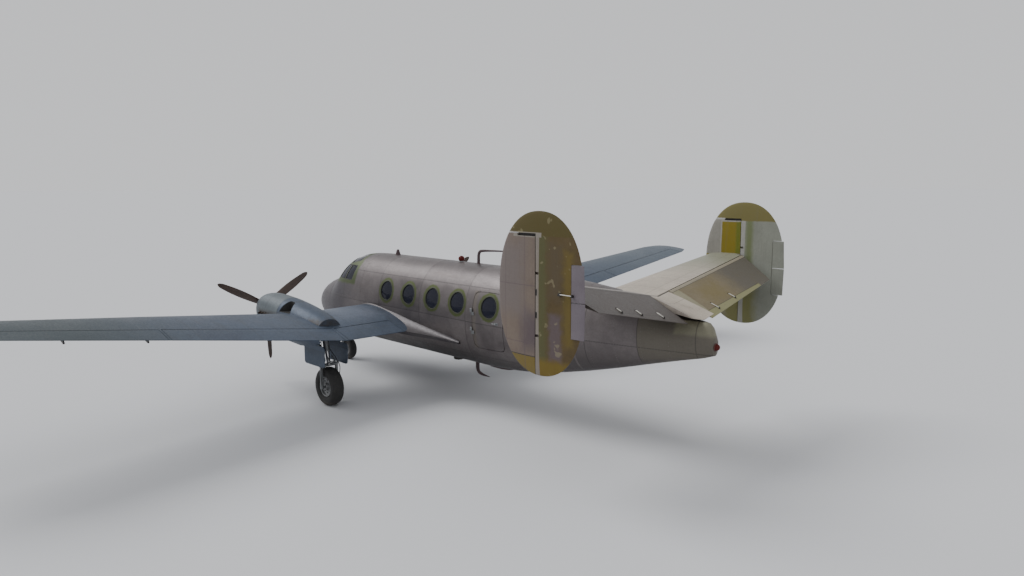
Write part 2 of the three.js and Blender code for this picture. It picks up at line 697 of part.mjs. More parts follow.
function rim(wheel, y, axleRadius) {
  const { width, rimRadius } = wheel;
  const half = width / 2;
  const hub = axleRadius * 2;
  const cheek = [[axleRadius, 0.8], [hub, 0.8], [hub, 0.4], [rimRadius * 0.88, 0.4], [rimRadius * 0.92, 0.72],
    [rimRadius, 0.72]];
  const near = cheek.map(([r, share]) => [r, -half * share]);
  const away = cheek.map(([r, share]) => [r, half * share]).reverse();
  const profile = [...near, ...away, near[0]];
  return lathedWheel(wheel, y, profile);
}

function forkedLeg(wheel, y, parts) {
  const { topX, topZ, crownZ, strutRadius, pistonRadius, armRadius, axleRadius, spread } = parts;
  const top = [topX, y, topZ];
  const crown = [wheel.x, y, crownZ];
  const middle = [mix(topX, wheel.x, 0.55), y, mix(topZ, crownZ, 0.55)];
  const at = (across, z) => [wheel.x, y + across, z];
  let body = rod(top, middle, strutRadius).add(rod(middle, crown, pistonRadius));
  body = body.add(rod(at(-spread, crownZ), at(spread, crownZ), armRadius * 1.15, armRadius * 1.15, 10));
  const [armTop, armFoot] = [crownZ + armRadius, wheel.radius - armRadius];
  for (const edge of [spread, -spread]) {
    body = body.add(rod(at(edge, armTop), at(edge, armFoot), armRadius, armRadius, 10));
  }
  return body.add(rod(at(-spread, wheel.radius), at(spread, wheel.radius), axleRadius, axleRadius, 10));
}

// Scissor links behind a leg, from its sleeve at the high point to its fork at the low one
function scissorLinks(high, low, y, { reach, halfWidth, radius }) {
  const joint = [(high[0] + low[0]) / 2 - reach, y, (high[1] + low[1]) / 2];
  const arms = [high, low].map(([x, z]) => rod([x, y, z], joint, radius * 1.6, radius, 8));
  const [left, right] = [halfWidth, -halfWidth].map((across) => [joint[0], y + across, joint[2]]);
  return arms[0].add(arms[1]).add(rod(left, right, radius, radius, 8));
}
const mainLinks = { high: 1130, low: 940, reach: 165, halfWidth: 60, radius: 18 };
const noseLinks = { high: 990, low: 690, reach: 120, halfWidth: 45, radius: 14 };

const mainLegSizes = { topX: 1905, topZ: 1590, crownZ: 920, strutRadius: 70, pistonRadius: 48, armRadius: 34,
  axleRadius: 30, spread: 190 };

function mainLeg(side) {
  const y = side * nacelleY;
  const leg = forkedLeg(mainWheel, y, mainLegSizes);
  const brace = rod([2620, y, mainBay.top + 20], [mainWheel.x + 40, y, 1120], 26, 26, 10);
  const { topX, topZ, crownZ } = mainLegSizes;
  const [high, low] = [mainLinks.high, mainLinks.low].map(
    (z) => [mix(mainWheel.x, topX, (z - crownZ) / (topZ - crownZ)), z]);
  return leg.add(brace).add(scissorLinks(high, low, y, mainLinks))
    .intersect(slab(-far, far, -far, mainBay.top - seam));
}

const noseLegSizes = { topZ: noseBay.top - seam, collarZ: 1180, crownZ: 660, strutRadius: 58,
  pistonRadius: 40, armRadius: 26, axleRadius: 22, spread: 140, trail: 70 };

function noseStrut() {
  const { topZ, collarZ, strutRadius } = noseLegSizes;
  const x = noseWheel.x + noseLegSizes.trail;
  const strut = rod([x, 0, topZ], [x, 0, collarZ], strutRadius);
  const brace = rod([x - 250, 0, topZ + 20], [x - 30, 0, collarZ + 90], 22, 22, 10);
  return strut.add(brace.intersect(slab(-far, far, -far, topZ)));
}

function noseFork() {
  const { collarZ, crownZ, pistonRadius, armRadius, axleRadius, spread, trail } = noseLegSizes;
  const x = noseWheel.x + trail;
  const crown = (y) => [x, y, crownZ];
  const hub = (y) => [noseWheel.x, y, noseWheel.radius];
  let body = rod([x, 0, collarZ - seam], crown(0), pistonRadius);
  body = body.add(rod(crown(-spread), crown(spread), armRadius * 1.2, armRadius * 1.2, 10));
  for (const edge of [spread, -spread]) {
    body = body.add(rod(crown(edge), hub(edge), armRadius, armRadius, 10));
  }
  body = body.add(scissorLinks([x, noseLinks.high], [x, noseLinks.low], 0, noseLinks));
  return body.add(rod(hub(-spread - 10), hub(spread + 10), axleRadius, axleRadius, 10));
}

// Tail surfaces

function tailplaneRing(side, share, grow) {
  const { tipY, rootZ, tipZ, rootLead, tipLead, rootTrail, tipTrail, thickness } = tailplane;
  const [lead, trail] = [mix(rootLead, tipLead, share), mix(rootTrail, tipTrail, share)];
  const chord = lead - trail;
  const y = mix(0, tipY, share);
  const z = mix(rootZ, tipZ, share);
  return aerofoil(thickness, 0, 11).map(([t, h]) => new THREE.Vector3(
    lead + grow - t * (chord + 2 * grow), side * y, z + h * chord + Math.sign(h) * grow));
}

const tailplaneBlank = (grow = 0) => loft(
  [tailplaneRing(1, 1, grow), tailplaneRing(1, 0, grow), tailplaneRing(-1, 1, grow)]);

// The space between the tailplane's skins, open at both tips where the fins close it
function tailplaneCavity() {
  const skin = 16;
  const shares = [0.07, 0.16, 0.28, 0.38, 0.47];
  const half = aerofoil(tailplane.thickness, 0, 60);
  const halfAt = (t) => Math.max(...half.filter(([p]) => Math.abs(p - t) < 0.03).map((p) => p[1]));
  const ring = (side, share) => {
    const { tipY, rootZ, tipZ, rootLead, tipLead, rootTrail, tipTrail } = tailplane;
    const [lead, trail] = [mix(rootLead, tipLead, share), mix(rootTrail, tipTrail, share)];
    const chord = lead - trail;
    const z = mix(rootZ, tipZ, share);
    const edge = (t, sign) => new THREE.Vector3(lead - t * chord, side * mix(0, tipY, share),
      z + sign * (halfAt(t) * chord * 0.93 - skin));
    return [...shares.map((t) => edge(t, 1)), ...shares.slice().reverse().map((t) => edge(t, -1))];
  };
  return loft([ring(1, 1.02), ring(1, 0), ring(-1, 1.02)]);
}

function tailplaneHinge(y) {
  const share = y / tailplane.tipY;
  const [lead, trail] = [mix(tailplane.rootLead, tailplane.tipLead, share),
    mix(tailplane.rootTrail, tailplane.tipTrail, share)];
  const chord = lead - trail;
  const t = (lead - tailHingeX) / chord;
  const near = aerofoil(tailplane.thickness, 0, 60).filter(([p]) => Math.abs(p - t) < 0.03);
  const thickest = Math.max(...near.map((p) => p[1]));
  const z = mix(tailplane.rootZ, tailplane.tipZ, share);
  return { x: tailHingeX, y, z, radius: thickest * chord };
}

const elevatorZone = (side, grow) => hingeZone(
  side, tailplaneHinge(elevator.inner), tailplaneHinge(elevator.outer), grow, elevator.cutBack);

const elevatorSolid = (side) => tailplaneBlank().intersect(elevatorZone(side, 0));

// The tailplane reaches into both fins and is cut back to their inner faces
function tailplaneSolid() {
  let body = tailplaneBlank().subtract(tailplaneCavity());
  for (const side of [1, -1]) {
    const [low, high] = [side * (elevator.inner - running), side * far].sort((a, b) => a - b);
    const past = slab(-far, tailHingeX, -far, far, low, high);
    const swingAt = (z) => [fin.hingeX, side * fin.y, z];
    const swing = rod(swingAt(fin.bottom), swingAt(fin.top), rudderSwing);
    body = body.subtract(elevatorZone(side, running)).subtract(past).subtract(swing);
    const ends = [tailplaneHinge(elevator.inner), tailplaneHinge(elevator.outer)];
    body = body.subtract(finBlank(side, seam)).add(hingePin(side, ...ends, false));
  }
  return body;
}

// The fin and rudder: an oval plate with an aerofoil section at each height
function finRing(side, share, grow) {
  const reach = Math.sqrt(1 - Math.abs(share * 2 - 1) ** 2.4);
  const middle = (fin.front + fin.rear) / 2;
  const chord = (fin.front - fin.rear) * Math.max(0.06, reach ** 0.92);
  const z = mix(fin.bottom, fin.top, share);
  return aerofoil(fin.thickness / (fin.front - fin.rear), 0, 9).map(([t, h]) => new THREE.Vector3(
    middle + (0.5 - t) * chord, side * fin.y + h * chord + Math.sign(h) * grow, z));
}

const finShares = [0, 0.015, 0.05, 0.12, 0.25, 0.5, 0.75, 0.88, 0.95, 0.985, 1];
const finBlank = (side, grow = 0) => loft(finShares.map((share) => finRing(side, share, grow)));

function rudderZone(side, grow) {
  const y = side * fin.y;
  const low = fin.bottom - 50;
  const high = fin.top + 50;
  const behind = box([fin.rear - 200, y - 300, low], [fin.hingeX, y + 300, high]);
  const radius = rudderNoseRadius + grow;
  const nose = rod([fin.hingeX, y, low], [fin.hingeX, y, high], radius, radius, 14);
  const horn = box([fin.hingeX - 10, y - 300, hornZ - grow], [fin.front + 200, y + 300, high]);
  return behind.add(nose).add(horn);
}

// The slot in the rudder's nose that a hinge bracket of the fin stands in
function bracketSlot(side, z) {
  const { slot, slotDepth } = rudderBracket;
  const y = side * fin.y;
  return box([fin.hingeX - slotDepth, y - 200, z - slot / 2], [fin.hingeX + 200, y + 200, z + slot / 2]);
}

// A bracket of the fin: an arm to the hinge line with an upright pin through its eye
function finBracket(side, z) {
  const { slot, arm, halfWidth, reach } = rudderBracket;
  const y = side * fin.y;
  const plate = box([fin.hingeX - halfWidth, y - halfWidth, z - arm / 2],
    [fin.hingeX + reach, y + halfWidth, z + arm / 2]);
  const height = slot / 2 - seam;
  const radius = pin.radius * 0.7;
  return plate.add(rod([fin.hingeX, y, z - height], [fin.hingeX, y, z + height], radius, radius, 8));
}

function rudderSolid(side) {
  let body = finBlank(side).intersect(rudderZone(side, 0));
  for (const z of rudderBracket.zs) {
    body = body.subtract(bracketSlot(side, z));
  }
  return body;
}

function finSolid(side) {
  let body = finBlank(side).subtract(rudderZone(side, running));
  for (const z of rudderBracket.zs) {
    body = body.add(finBracket(side, z));
  }
  return body;
}

// Materials, named for what they cover
function paint(color, roughness, metalness) {
  return new THREE.MeshStandardMaterial({ color, roughness, metalness });
}

const bareMetal = paint(0x7d766f, 0.45, 0.8);
const wingPaint = paint(0x8b98ab, 0.45, 0.3);
const glass = paint(0x20262b, 0.1, 0);
const darkMetal = paint(0x2b2a2a, 0.5, 0.5);
const beige = paint(0xa39d92, 0.6, 0.1);
const primer = paint(0x77752f, 0.65, 0.1);
const rubber = paint(0x1c1c1d, 0.9, 0);
const red = paint(0x7a1f1b, 0.5, 0);
const seatCloth = paint(0x3b3a36, 0.9, 0);
const legMetal = paint(0x8d9194, 0.4, 0.7);

const aircraft = new THREE.Group();

function addPiece(name, solid, material) {
  const mesh = solid.getMesh();
  const geometry = new THREE.BufferGeometry();
  geometry.setAttribute("position", new THREE.BufferAttribute(mesh.vertProperties, mesh.numProp));
  geometry.setIndex(new THREE.BufferAttribute(mesh.triVerts, 1));
  geometry.computeVertexNormals();
  const piece = new THREE.Mesh(geometry, material);
  piece.name = name;
  aircraft.add(piece);
  return piece;
}

addPiece("nose_cone", noseCone(), bareMetal);
addPiece("cockpit_section", cockpitSection(), bareMetal);
addPiece("cabin_side_left", cabinSide(1), bareMetal);
addPiece("cabin_side_right", cabinSide(-1), bareMetal);
addPiece("cabin_roof", cabinRoof(), bareMetal);
addPiece("belly", belly(), bareMetal);
addPiece("tail_section", tailSection(), bareMetal);
addPiece("tail_bulkhead", tailBulkhead(), primer);
addPiece("tail_lamp", tailLampSolid(), red);
addPiece("entrance_door", entranceDoor(), bareMetal);
addPiece("cabin_floor", cabinFloor(), primer);
addPiece("instrument_panel", instrumentPanel(), darkMetal);

for (const [side, hand] of [[1, "left"], [-1, "right"]]) {
  addPiece(`side_pane_${hand}`, cockpitGlass(side, "side"), glass);
  addPiece(`windscreen_${hand}`, cockpitGlass(side, "front"), glass);
  addPiece(`brow_pane_${hand}`, cockpitGlass(side, "brow"), glass);
  addPiece(`pilot_seat_${hand}`, pilotSeat(side), seatCloth);
  const wingSolid = wing(side);
  addPiece(`wing_${hand}`, wingSolid.subtract(fuselageClear), wingPaint);
  addPiece(`aileron_${hand}`, controlSurface(side, aileronSpan), wingPaint);
  addPiece(`flap_inner_${hand}`, controlSurface(side, innerFlapSpan), wingPaint);
  addPiece(`flap_outer_${hand}`, controlSurface(side, outerFlapSpan), wingPaint);
  addPiece(`nacelle_${hand}`, nacelle(side, wingBlank(side, 0.5)), wingPaint);
  addPiece(`cowling_${hand}`, cowling(side), wingPaint);
  addPiece(`engine_${hand}`, engineBlock(side), darkMetal);
  addPiece(`propeller_${hand}`, propellerSolid(side), darkMetal);
  addPiece(`main_leg_${hand}`, mainLeg(side), legMetal);
  addPiece(`main_tyre_${hand}`, tyre(mainWheel, side * nacelleY), rubber);
  addPiece(`main_rim_${hand}`, rim(mainWheel, side * nacelleY, mainLegSizes.axleRadius + seam), legMetal);
  const elevatorPiece = addPiece(`elevator_${hand}`, elevatorSolid(side), primer);
  droop(elevatorPiece, side);
  addPiece(`fin_${hand}`, finSolid(side), beige);
  addPiece(`rudder_${hand}`, rudderSolid(side), primer);
}
addPiece("tailplane", tailplaneSolid(), beige);
addPiece("nose_strut", noseStrut(), legMetal);
addPiece("nose_fork", noseFork(), legMetal);
addPiece("nose_tyre", tyre(noseWheel, 0), rubber);
addPiece("nose_rim", rim(noseWheel, 0, noseLegSizes.axleRadius + seam), legMetal);

// Turns an elevator down about its hinge line, as it hangs when parked
function droop(piece, side) {
  const [inner, outer] = [tailplaneHinge(elevator.inner), tailplaneHinge(elevator.outer)];
  const start = new THREE.Vector3(inner.x, side * inner.y, inner.z);
  const axis = new THREE.Vector3(outer.x, side * outer.y, outer.z).sub(start).normalize();
  const angle = THREE.MathUtils.degToRad(-elevator.droopDeg * side);
  const turn = new THREE.Quaternion().setFromAxisAngle(axis, angle);
  piece.quaternion.copy(turn);
  piece.position.copy(start).sub(start.clone().applyQuaternion(turn));
}

export default aircraft;
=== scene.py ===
import math

import bpy
import numpy as np
from mathutils import Matrix, Vector


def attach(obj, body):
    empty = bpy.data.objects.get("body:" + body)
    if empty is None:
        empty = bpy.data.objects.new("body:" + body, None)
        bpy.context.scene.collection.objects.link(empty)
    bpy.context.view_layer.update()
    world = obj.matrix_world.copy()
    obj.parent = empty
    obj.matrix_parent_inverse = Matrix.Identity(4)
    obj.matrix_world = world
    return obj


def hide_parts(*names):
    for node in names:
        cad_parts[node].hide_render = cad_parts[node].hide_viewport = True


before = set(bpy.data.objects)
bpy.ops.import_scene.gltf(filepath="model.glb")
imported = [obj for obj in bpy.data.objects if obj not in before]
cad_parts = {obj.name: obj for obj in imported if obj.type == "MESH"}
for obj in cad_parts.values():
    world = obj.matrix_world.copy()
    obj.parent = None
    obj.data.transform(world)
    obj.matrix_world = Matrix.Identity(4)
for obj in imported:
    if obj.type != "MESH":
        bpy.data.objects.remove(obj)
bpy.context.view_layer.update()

# The photograph's camera: its place in metres, where it looks in degrees, its lens for a 36 mm sensor
cameraPlace = {"place": (-12.697, 11.302, 4.927), "yaw": -44.58, "pitch": -8.04, "roll": -0.137,
               "lens": 26.48}

cameraData = bpy.data.cameras.new("camera")
cameraData.lens = cameraPlace["lens"]
cameraData.sensor_width = 36
cameraData.clip_end = 500
camera = bpy.data.objects.new("camera", cameraData)
bpy.context.scene.collection.objects.link(camera)
bpy.context.scene.camera = camera
yaw, pitch = math.radians(cameraPlace["yaw"]), math.radians(cameraPlace["pitch"])
ahead = Vector((math.cos(yaw) * math.cos(pitch), math.sin(yaw) * math.cos(pitch), math.sin(pitch)))
roll = Matrix.Rotation(math.radians(cameraPlace["roll"]), 4, "Z").to_quaternion()
camera.rotation_mode = "QUATERNION"
camera.rotation_quaternion = ahead.to_track_quat("-Z", "Y") @ roll
camera.location = cameraPlace["place"]
print("camera placed")


hands = ((1, "left"), (-1, "right"))


# Shapes: each is (points, list of face arrays), closed, and turned to face outwards

def signedPower(value, exponent):
    # A power of the value's size that keeps its sign
    return np.sign(value) * np.abs(value) ** exponent


def fullTurn(count):
    # Angles once round, the last one step short of the first
    return np.linspace(0, 2 * np.pi, count, endpoint=False)


def unit(vectors):
    # Vectors divided by their own lengths
    return vectors / np.linalg.norm(vectors, axis=-1, keepdims=True)


def crossCircle(direction, sides):
    # A circle of radius one, square to a direction
    across = unit(np.cross(direction, np.eye(3)[np.argmin(np.abs(direction))]))
    angle = fullTurn(sides)[:, None]
    return across * np.cos(angle) + np.cross(direction, across) * np.sin(angle)


def gridFaces(rows, columns, wrap=False):
    # Quads between neighbouring rows and columns of a grid, going round again where it wraps
    row = np.arange(rows - 1)[:, None]
    column = np.arange(columns if wrap else columns - 1)[None, :]
    beside = (column + 1) % columns
    corners = [row * columns + column, row * columns + beside,
               (row + 1) * columns + beside, (row + 1) * columns + column]
    return np.stack([corner.ravel() for corner in corners], 1)


def joinRows(first, second, columns):
    # Quads from one ring of points to another, given the number of each one's first point
    here = np.arange(columns)
    beside = (here + 1) % columns
    return np.stack([first + here, first + beside, second + beside, second + here], 1)


def outward(points, faces):
    # The signed volume, summed over each face's fan from its first corner, says which way the faces point
    volume = 0.0
    for group in faces:
        for k in range(1, group.shape[1] - 1):
            a, b, c = points[group[:, 0]], points[group[:, k]], points[group[:, k + 1]]
            volume += np.einsum("ij,ij->", a, np.cross(b, c))
    return (points, faces) if volume > 0 else (points, [group[:, ::-1] for group in faces])


def loft(rings):
    # Rings of equal count joined by quads, each end closed by one flat face
    rings = np.asarray(rings, float)
    rows, columns = rings.shape[:2]
    first = np.arange(columns)[None, ::-1]
    last = (rows - 1) * columns + np.arange(columns)[None, :]
    return outward(rings.reshape(-1, 3), [gridFaces(rows, columns, True), first, last])


def loftOpen(rings):
    # Rings joined in turn and the last joined back to the first, as a closed wall
    rows, columns = rings.shape[:2]
    last = joinRows((rows - 1) * columns, 0, columns)
    return outward(rings.reshape(-1, 3), [gridFaces(rows, columns, True), last])


def shell(outer, inner, wrap=False):
    # Two like grids, one inside the other, joined round their edges into a closed wall
    rows, columns = outer.shape[:2]
    count = rows * columns
    skin = gridFaces(rows, columns, wrap)
    number = np.arange(count).reshape(rows, columns)
    edges = [(number[0], number[0] + count), (number[-1][::-1], number[-1][::-1] + count)]
    if wrap:
        edges = [(np.append(a, a[0]), np.append(b, b[0])) for a, b in edges]
    else:
        edges += [(number[::-1, 0], number[::-1, 0] + count), (number[:, -1], number[:, -1] + count)]
    rims = [np.stack([near[1:], near[:-1], away[:-1], away[1:]], 1) for near, away in edges]
    points = np.concatenate([outer.reshape(-1, 3), inner.reshape(-1, 3)])
    return outward(points, [skin, skin[:, ::-1] + count, *rims])


def frames(path):
    # Two directions across a path at each point: square to its run and to a fixed direction
    run = unit(np.gradient(path, axis=0))
    fixed = np.eye(3)[np.argmin(np.abs(path[-1] - path[0]))]
    across = unit(np.cross(run, fixed))
    return across, np.cross(run, across)


def tube(path, radius, sides=16):
    # A circle carried along a path
    path = np.asarray(path, float)
    across, up = frames(path)
    angle = fullTurn(sides)[None, :, None]
    return loft(path[:, None] + (across[:, None] * np.cos(angle) + up[:, None] * np.sin(angle)) * radius)


def curvedPath(points, count=40):
    # Catmull-Rom curve through the points
    points = np.asarray(points, float)
    padded = np.concatenate([[2 * points[0] - points[1]], points, [2 * points[-1] - points[-2]]])
    t = np.linspace(0, len(points) - 1, count)
    k = np.minimum(t.astype(int), len(points) - 2)
    u = (t - k)[:, None]
    a, b, c, d = (padded[k + step] for step in range(4))
    square, cube = 2 * a - 5 * b + 4 * c - d, 3 * b - a - 3 * c + d
    return 0.5 * (2 * b + (c - a) * u + square * u ** 2 + cube * u ** 3)


axes = {"x": (1, 2, 0), "y": (2, 0, 1), "z": (0, 1, 2)}  # for each axis: the two across it, then itself


def lathe(profile, centre, axis="y", sides=48):
    # A profile of (radius, distance along the axis) turned about the axis; closed as a ring or at its ends
    profile = np.asarray(profile, float)
    angle = fullTurn(sides)
    first, second, along = axes[axis]
    points = np.zeros((len(profile), sides, 3))
    points[..., first] = profile[:, :1] * np.cos(angle)
    points[..., second] = profile[:, :1] * np.sin(angle)
    points[..., along] = profile[:, 1:]
    points += np.asarray(centre, float)
    return loftOpen(points[:-1]) if np.allclose(profile[0], profile[-1]) else loft(points)


def roundedOutline(halfWidth, halfHeight, radius, steps=5):
    # A rectangle about nothing with its corners turned as quarter circles
    radius = min(radius, halfWidth * 0.999, halfHeight * 0.999)
    angle = np.linspace(0, np.pi / 2, steps)
    parts = []
    for k, (u, v) in enumerate([(1, 1), (-1, 1), (-1, -1), (1, -1)]):
        turned = angle + k * np.pi / 2
        parts.append(np.stack([u * (halfWidth - radius) + radius * np.cos(turned),
                               v * (halfHeight - radius) + radius * np.sin(turned)], 1))
    return np.concatenate(parts)


def block(low, high, axis="z", corner=0.01, edge=0.004):
    # A bar along one axis with rounded corners, its two ends drawn in by the edge's size
    low, high = np.asarray(low, float), np.asarray(high, float)
    first, second, along = axes[axis]
    half = (high - low) / 2
    middle = (high + low) / 2
    rings = []
    for inset, end in [(edge, low[along]), (0, low[along] + edge), (0, high[along] - edge),
                       (edge, high[along])]:
        outline = roundedOutline(half[first] - inset, half[second] - inset, corner)
        ring = np.zeros((len(outline), 3))
        ring[:, first] = middle[first] + outline[:, 0]
        ring[:, second] = middle[second] + outline[:, 1]
        ring[:, along] = end
        rings.append(ring)
    return loft(rings)


def prism(outline, axis, low, high, flare=1.0):
    # A flat outline given in the two axes across, drawn out along the axis, widening by the flare
    outline = np.asarray(outline, float)
    middle = outline.mean(0)
    across, along = [k for k in range(3) if k != "xyz".index(axis)], "xyz".index(axis)
    rings = np.zeros((2, len(outline), 3))
    for ring, distance, scale in zip(rings, (low, high), (1.0, flare)):
        ring[:, across] = middle + (outline - middle) * scale
        ring[:, along] = distance
    return loft(rings)


def roundCorners(outline, radius, steps=8):
    # Each corner becomes a quadratic curve that starts and ends the radius away from it
    outline = np.asarray(outline, float)
    start, end = (outline + unit(np.roll(outline, way, 0) - outline) * radius for way in (1, -1))
    return bend(start[:, None], outline[:, None], end[:, None], steps).reshape(-1, 2)


def bend(start, corner, end, steps):
    # A quadratic curve from a start to an end, drawn towards a corner
    t = np.linspace(0, 1, steps)[None, :, None]
    return start * (1 - t) ** 2 + 2 * corner * t * (1 - t) + end * t ** 2


def mirrored(shape):
    # The other side's shape
    points, faces = shape
    return points * [1, -1, 1], [group[:, ::-1] for group in faces]


def sided(side, shape):
    return shape if side > 0 else mirrored(shape)


def spun(shape, angle, centre):
    # Turned about the x axis and then set at the centre
    points, faces = shape
    return points @ np.array(Matrix.Rotation(angle, 3, "X")).T + centre, faces


def turned(shape, axis, angle, centre):
    # Turned about a line through the centre, angle in radians
    points, faces = shape
    rotation = np.array(Matrix.Rotation(angle, 3, Vector(axis)))
    centre = np.asarray(centre, float)
    return (points - centre) @ rotation.T + centre, faces


def scattered(shape, places, normals, size=1.0):
    # Copies of one small shape that stands on z = 0, set at each place with its z along the normal there
    points, faces = shape
    places = np.asarray(places, float)
    normals = unit(np.broadcast_to(np.asarray(normals, float), places.shape))
    helper = np.where(np.abs(normals[:, :1]) < 0.9, [[1.0, 0, 0]], [[0, 1.0, 0]])
    first = unit(np.cross(helper, normals))
    second = np.cross(normals, first)
    stood = (points[None, :, :1] * first[:, None] + points[None, :, 1:2] * second[:, None]
             + points[None, :, 2:] * normals[:, None])
    moved = places[:, None] + stood * size
    offset = (np.arange(len(places)) * len(points))[:, None, None]
    return moved.reshape(-1, 3), [(group[None] + offset).reshape(-1, group.shape[1]) for group in faces]


def dress(mesh, material, sharp):
    # One material, smooth faces, and edges sharper than the angle kept sharp
    mesh.materials.clear()
    mesh.materials.append(material)
    mesh.polygons.foreach_set("use_smooth", np.ones(len(mesh.polygons), bool))
    mesh.set_sharp_from_angle(angle=math.radians(sharp))


def makeMesh(name, shapes, material, sharp=35):
    # One object from several shapes: points and faces laid end to end, each shape numbered on from the last
    points = np.concatenate([shape[0] for shape in shapes])
    starts = np.cumsum([0] + [len(shape[0]) for shape in shapes])
    groups = [group + start for (_, faces), start in zip(shapes, starts) for group in faces]
    corners = np.concatenate([group.ravel() for group in groups])
    sizes = np.concatenate([np.full(len(group), group.shape[1]) for group in groups])
    mesh = bpy.data.meshes.new(name)
    mesh.vertices.add(len(points))
    mesh.vertices.foreach_set("co", points.astype(np.float32).ravel())
    mesh.loops.add(len(corners))
    mesh.loops.foreach_set("vertex_index", corners.astype(np.int32))
    mesh.polygons.add(len(sizes))
    mesh.polygons.foreach_set("loop_start", np.concatenate([[0], np.cumsum(sizes)[:-1]]).astype(np.int32))
    mesh.update(calc_edges=True)
    mesh.validate()
    dress(mesh, material, sharp)
    piece = bpy.data.objects.new(name, mesh)
    bpy.context.scene.collection.objects.link(piece)
    return piece


def place(piece, body="airframe", node=None):
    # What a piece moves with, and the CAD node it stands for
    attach(piece, body)
    if node:
        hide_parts(node)
    return piece


def add(name, shapes, finishName, body="airframe", node=None, sharp=35):
    return place(makeMesh(name, shapes, materials[finishName], sharp), body, node)


def bothSides(name, shapes, finishName, body="airframe"):
    # The shapes as one piece on the left and mirrored as one on the right; HAND stands for the side's name
    for side, hand in hands:
        made, handFinish = [sided(side, shape) for shape in shapes], finishName.replace("HAND", hand.title())
        add(f"{name}_{hand}", made, handFinish, body.replace("HAND", hand))


def mirrorPiece(piece, finishName=None):
    # The right-hand twin of a left-hand piece
    material = materials[finishName] if finishName else piece.data.materials[0]
    return makeMesh(piece.name.replace("_left", "_right"), [mirrored(meshShape(piece))], material)


def carve(piece, steps):
    # Cuts or keeps what each (shape, operation) says, in turn, and keeps the result as the piece's mesh
    material = piece.data.materials[0]
    for k, (shape, operation) in enumerate(steps):
        shapes = [shape] if isinstance(shape, tuple) else shape
        cutter = makeMesh(f"{piece.name}Cutter{k}", shapes, material)
        modifier = piece.modifiers.new("carve", "BOOLEAN")
        modifier.operation = operation
        modifier.solver = "EXACT"
        modifier.object = cutter
        graph = bpy.context.evaluated_depsgraph_get()
        result = bpy.data.meshes.new_from_object(piece.evaluated_get(graph))
        piece.modifiers.remove(modifier)
        old, oldCutter = piece.data, cutter.data
        piece.data = result
        bpy.data.objects.remove(cutter)
        bpy.data.meshes.remove(old)
        bpy.data.meshes.remove(oldCutter)
    dress(piece.data, material, 35)
    return piece


def shapeAfter(piece, steps):
    # The shape of a piece after the steps; the piece itself goes
    result = meshShape(carve(piece, steps))
    bpy.data.objects.remove(piece)
    return result


def carved(shape, steps):
    return shapeAfter(makeMesh("blank", [shape], None), steps)


def differences(shapes):
    return [(shape, "DIFFERENCE") for shape in shapes]


def meshShape(piece):
    # The points and faces of a finished mesh, sorted by their number of corners
    mesh = piece.data
    points = np.zeros(len(mesh.vertices) * 3)
    mesh.vertices.foreach_get("co", points)
    corners = np.zeros(len(mesh.loops), int)
    mesh.loops.foreach_get("vertex_index", corners)
    starts, sizes = np.zeros(len(mesh.polygons), int), np.zeros(len(mesh.polygons), int)
    mesh.polygons.foreach_get("loop_start", starts)
    mesh.polygons.foreach_get("loop_total", sizes)
    groups = [corners[starts[sizes == size][:, None] + np.arange(size)] for size in np.unique(sizes)]
    return points.reshape(-1, 3), groups


print("shape functions ready")


# Shader node groups and materials

def newGroup(name, inputs, outputs):
    # A shader group with named sockets; inputs are (name, kind, value)
    group = bpy.data.node_groups.new(name, "ShaderNodeTree")
    for label, kind, value in inputs:
        socket = group.interface.new_socket(label, in_out="INPUT", socket_type=f"NodeSocket{kind}")
        if value is not None:
            socket.default_value = value
    for label in outputs:
        group.interface.new_socket(label, in_out="OUTPUT", socket_type="NodeSocketFloat")
    return group, group.nodes.new("NodeGroupInput").outputs, group.nodes.new("NodeGroupOutput").inputs


def addNode(tree, kind, settings=(), **inputs):
    # A node with its own settings; an input is a value or the socket that feeds it, and is called n0, n1
    # where several have one name
    node = tree.nodes.new(f"ShaderNode{kind}")
    for label, value in dict(settings).items():
        setattr(node, label, value)
    for label, value in inputs.items():
        socket = node.inputs[int(label[1:]) if label[1:].isdigit() else label.replace("_", " ")]
        if isinstance(value, bpy.types.NodeSocket):
            tree.links.new(value, socket)
        elif value is not None:
            socket.default_value = value
    return node


def noise(tree, vector, scale, detail=4, roughness=0.55, distortion=0.0):
    # Cloud noise, its value alone
    return addNode(tree, "TexNoise", Vector=vector, Scale=scale, Detail=detail, Roughness=roughness,
                   Distortion=distortion).outputs["Fac"]


def ramp(tree, value, low, high, outLow=0.0, outHigh=1.0):
    # A smooth step from one value to another
    return addNode(tree, "MapRange", {"interpolation_type": "SMOOTHSTEP"}, n0=value, n1=low, n2=high,
                   n3=outLow, n4=outHigh).outputs[0]


def calc(tree, operation, first, second=None):
    # A node that does arithmetic
    return addNode(tree, "Math", {"operation": operation}, n0=first, n1=second).outputs[0]


def weighted(tree, *parts):
    # The sum of values, each times its weight
    total = None
    for value, weight in parts:
        share = calc(tree, "MULTIPLY", value, weight)
        total = share if total is None else calc(tree, "ADD", total, share)
    return total


def vector(tree, operation, first, second=None):
    # A node that does arithmetic with vectors
    return addNode(tree, "VectorMath", {"operation": operation}, n0=first, n1=second).outputs[0]


def blendColour(tree, share, first, second):
    # From the first colour to the second by the share
    node = tree.nodes.new("ShaderNodeMix")
    node.data_type = "RGBA"
    for socket, value in ((0, share), (6, first), (7, second)):
        if isinstance(value, bpy.types.NodeSocket):
            tree.links.new(value, node.inputs[socket])
        else:
            node.inputs[socket].default_value = value if socket == 0 else (*value, 1)
    return node.outputs[2]


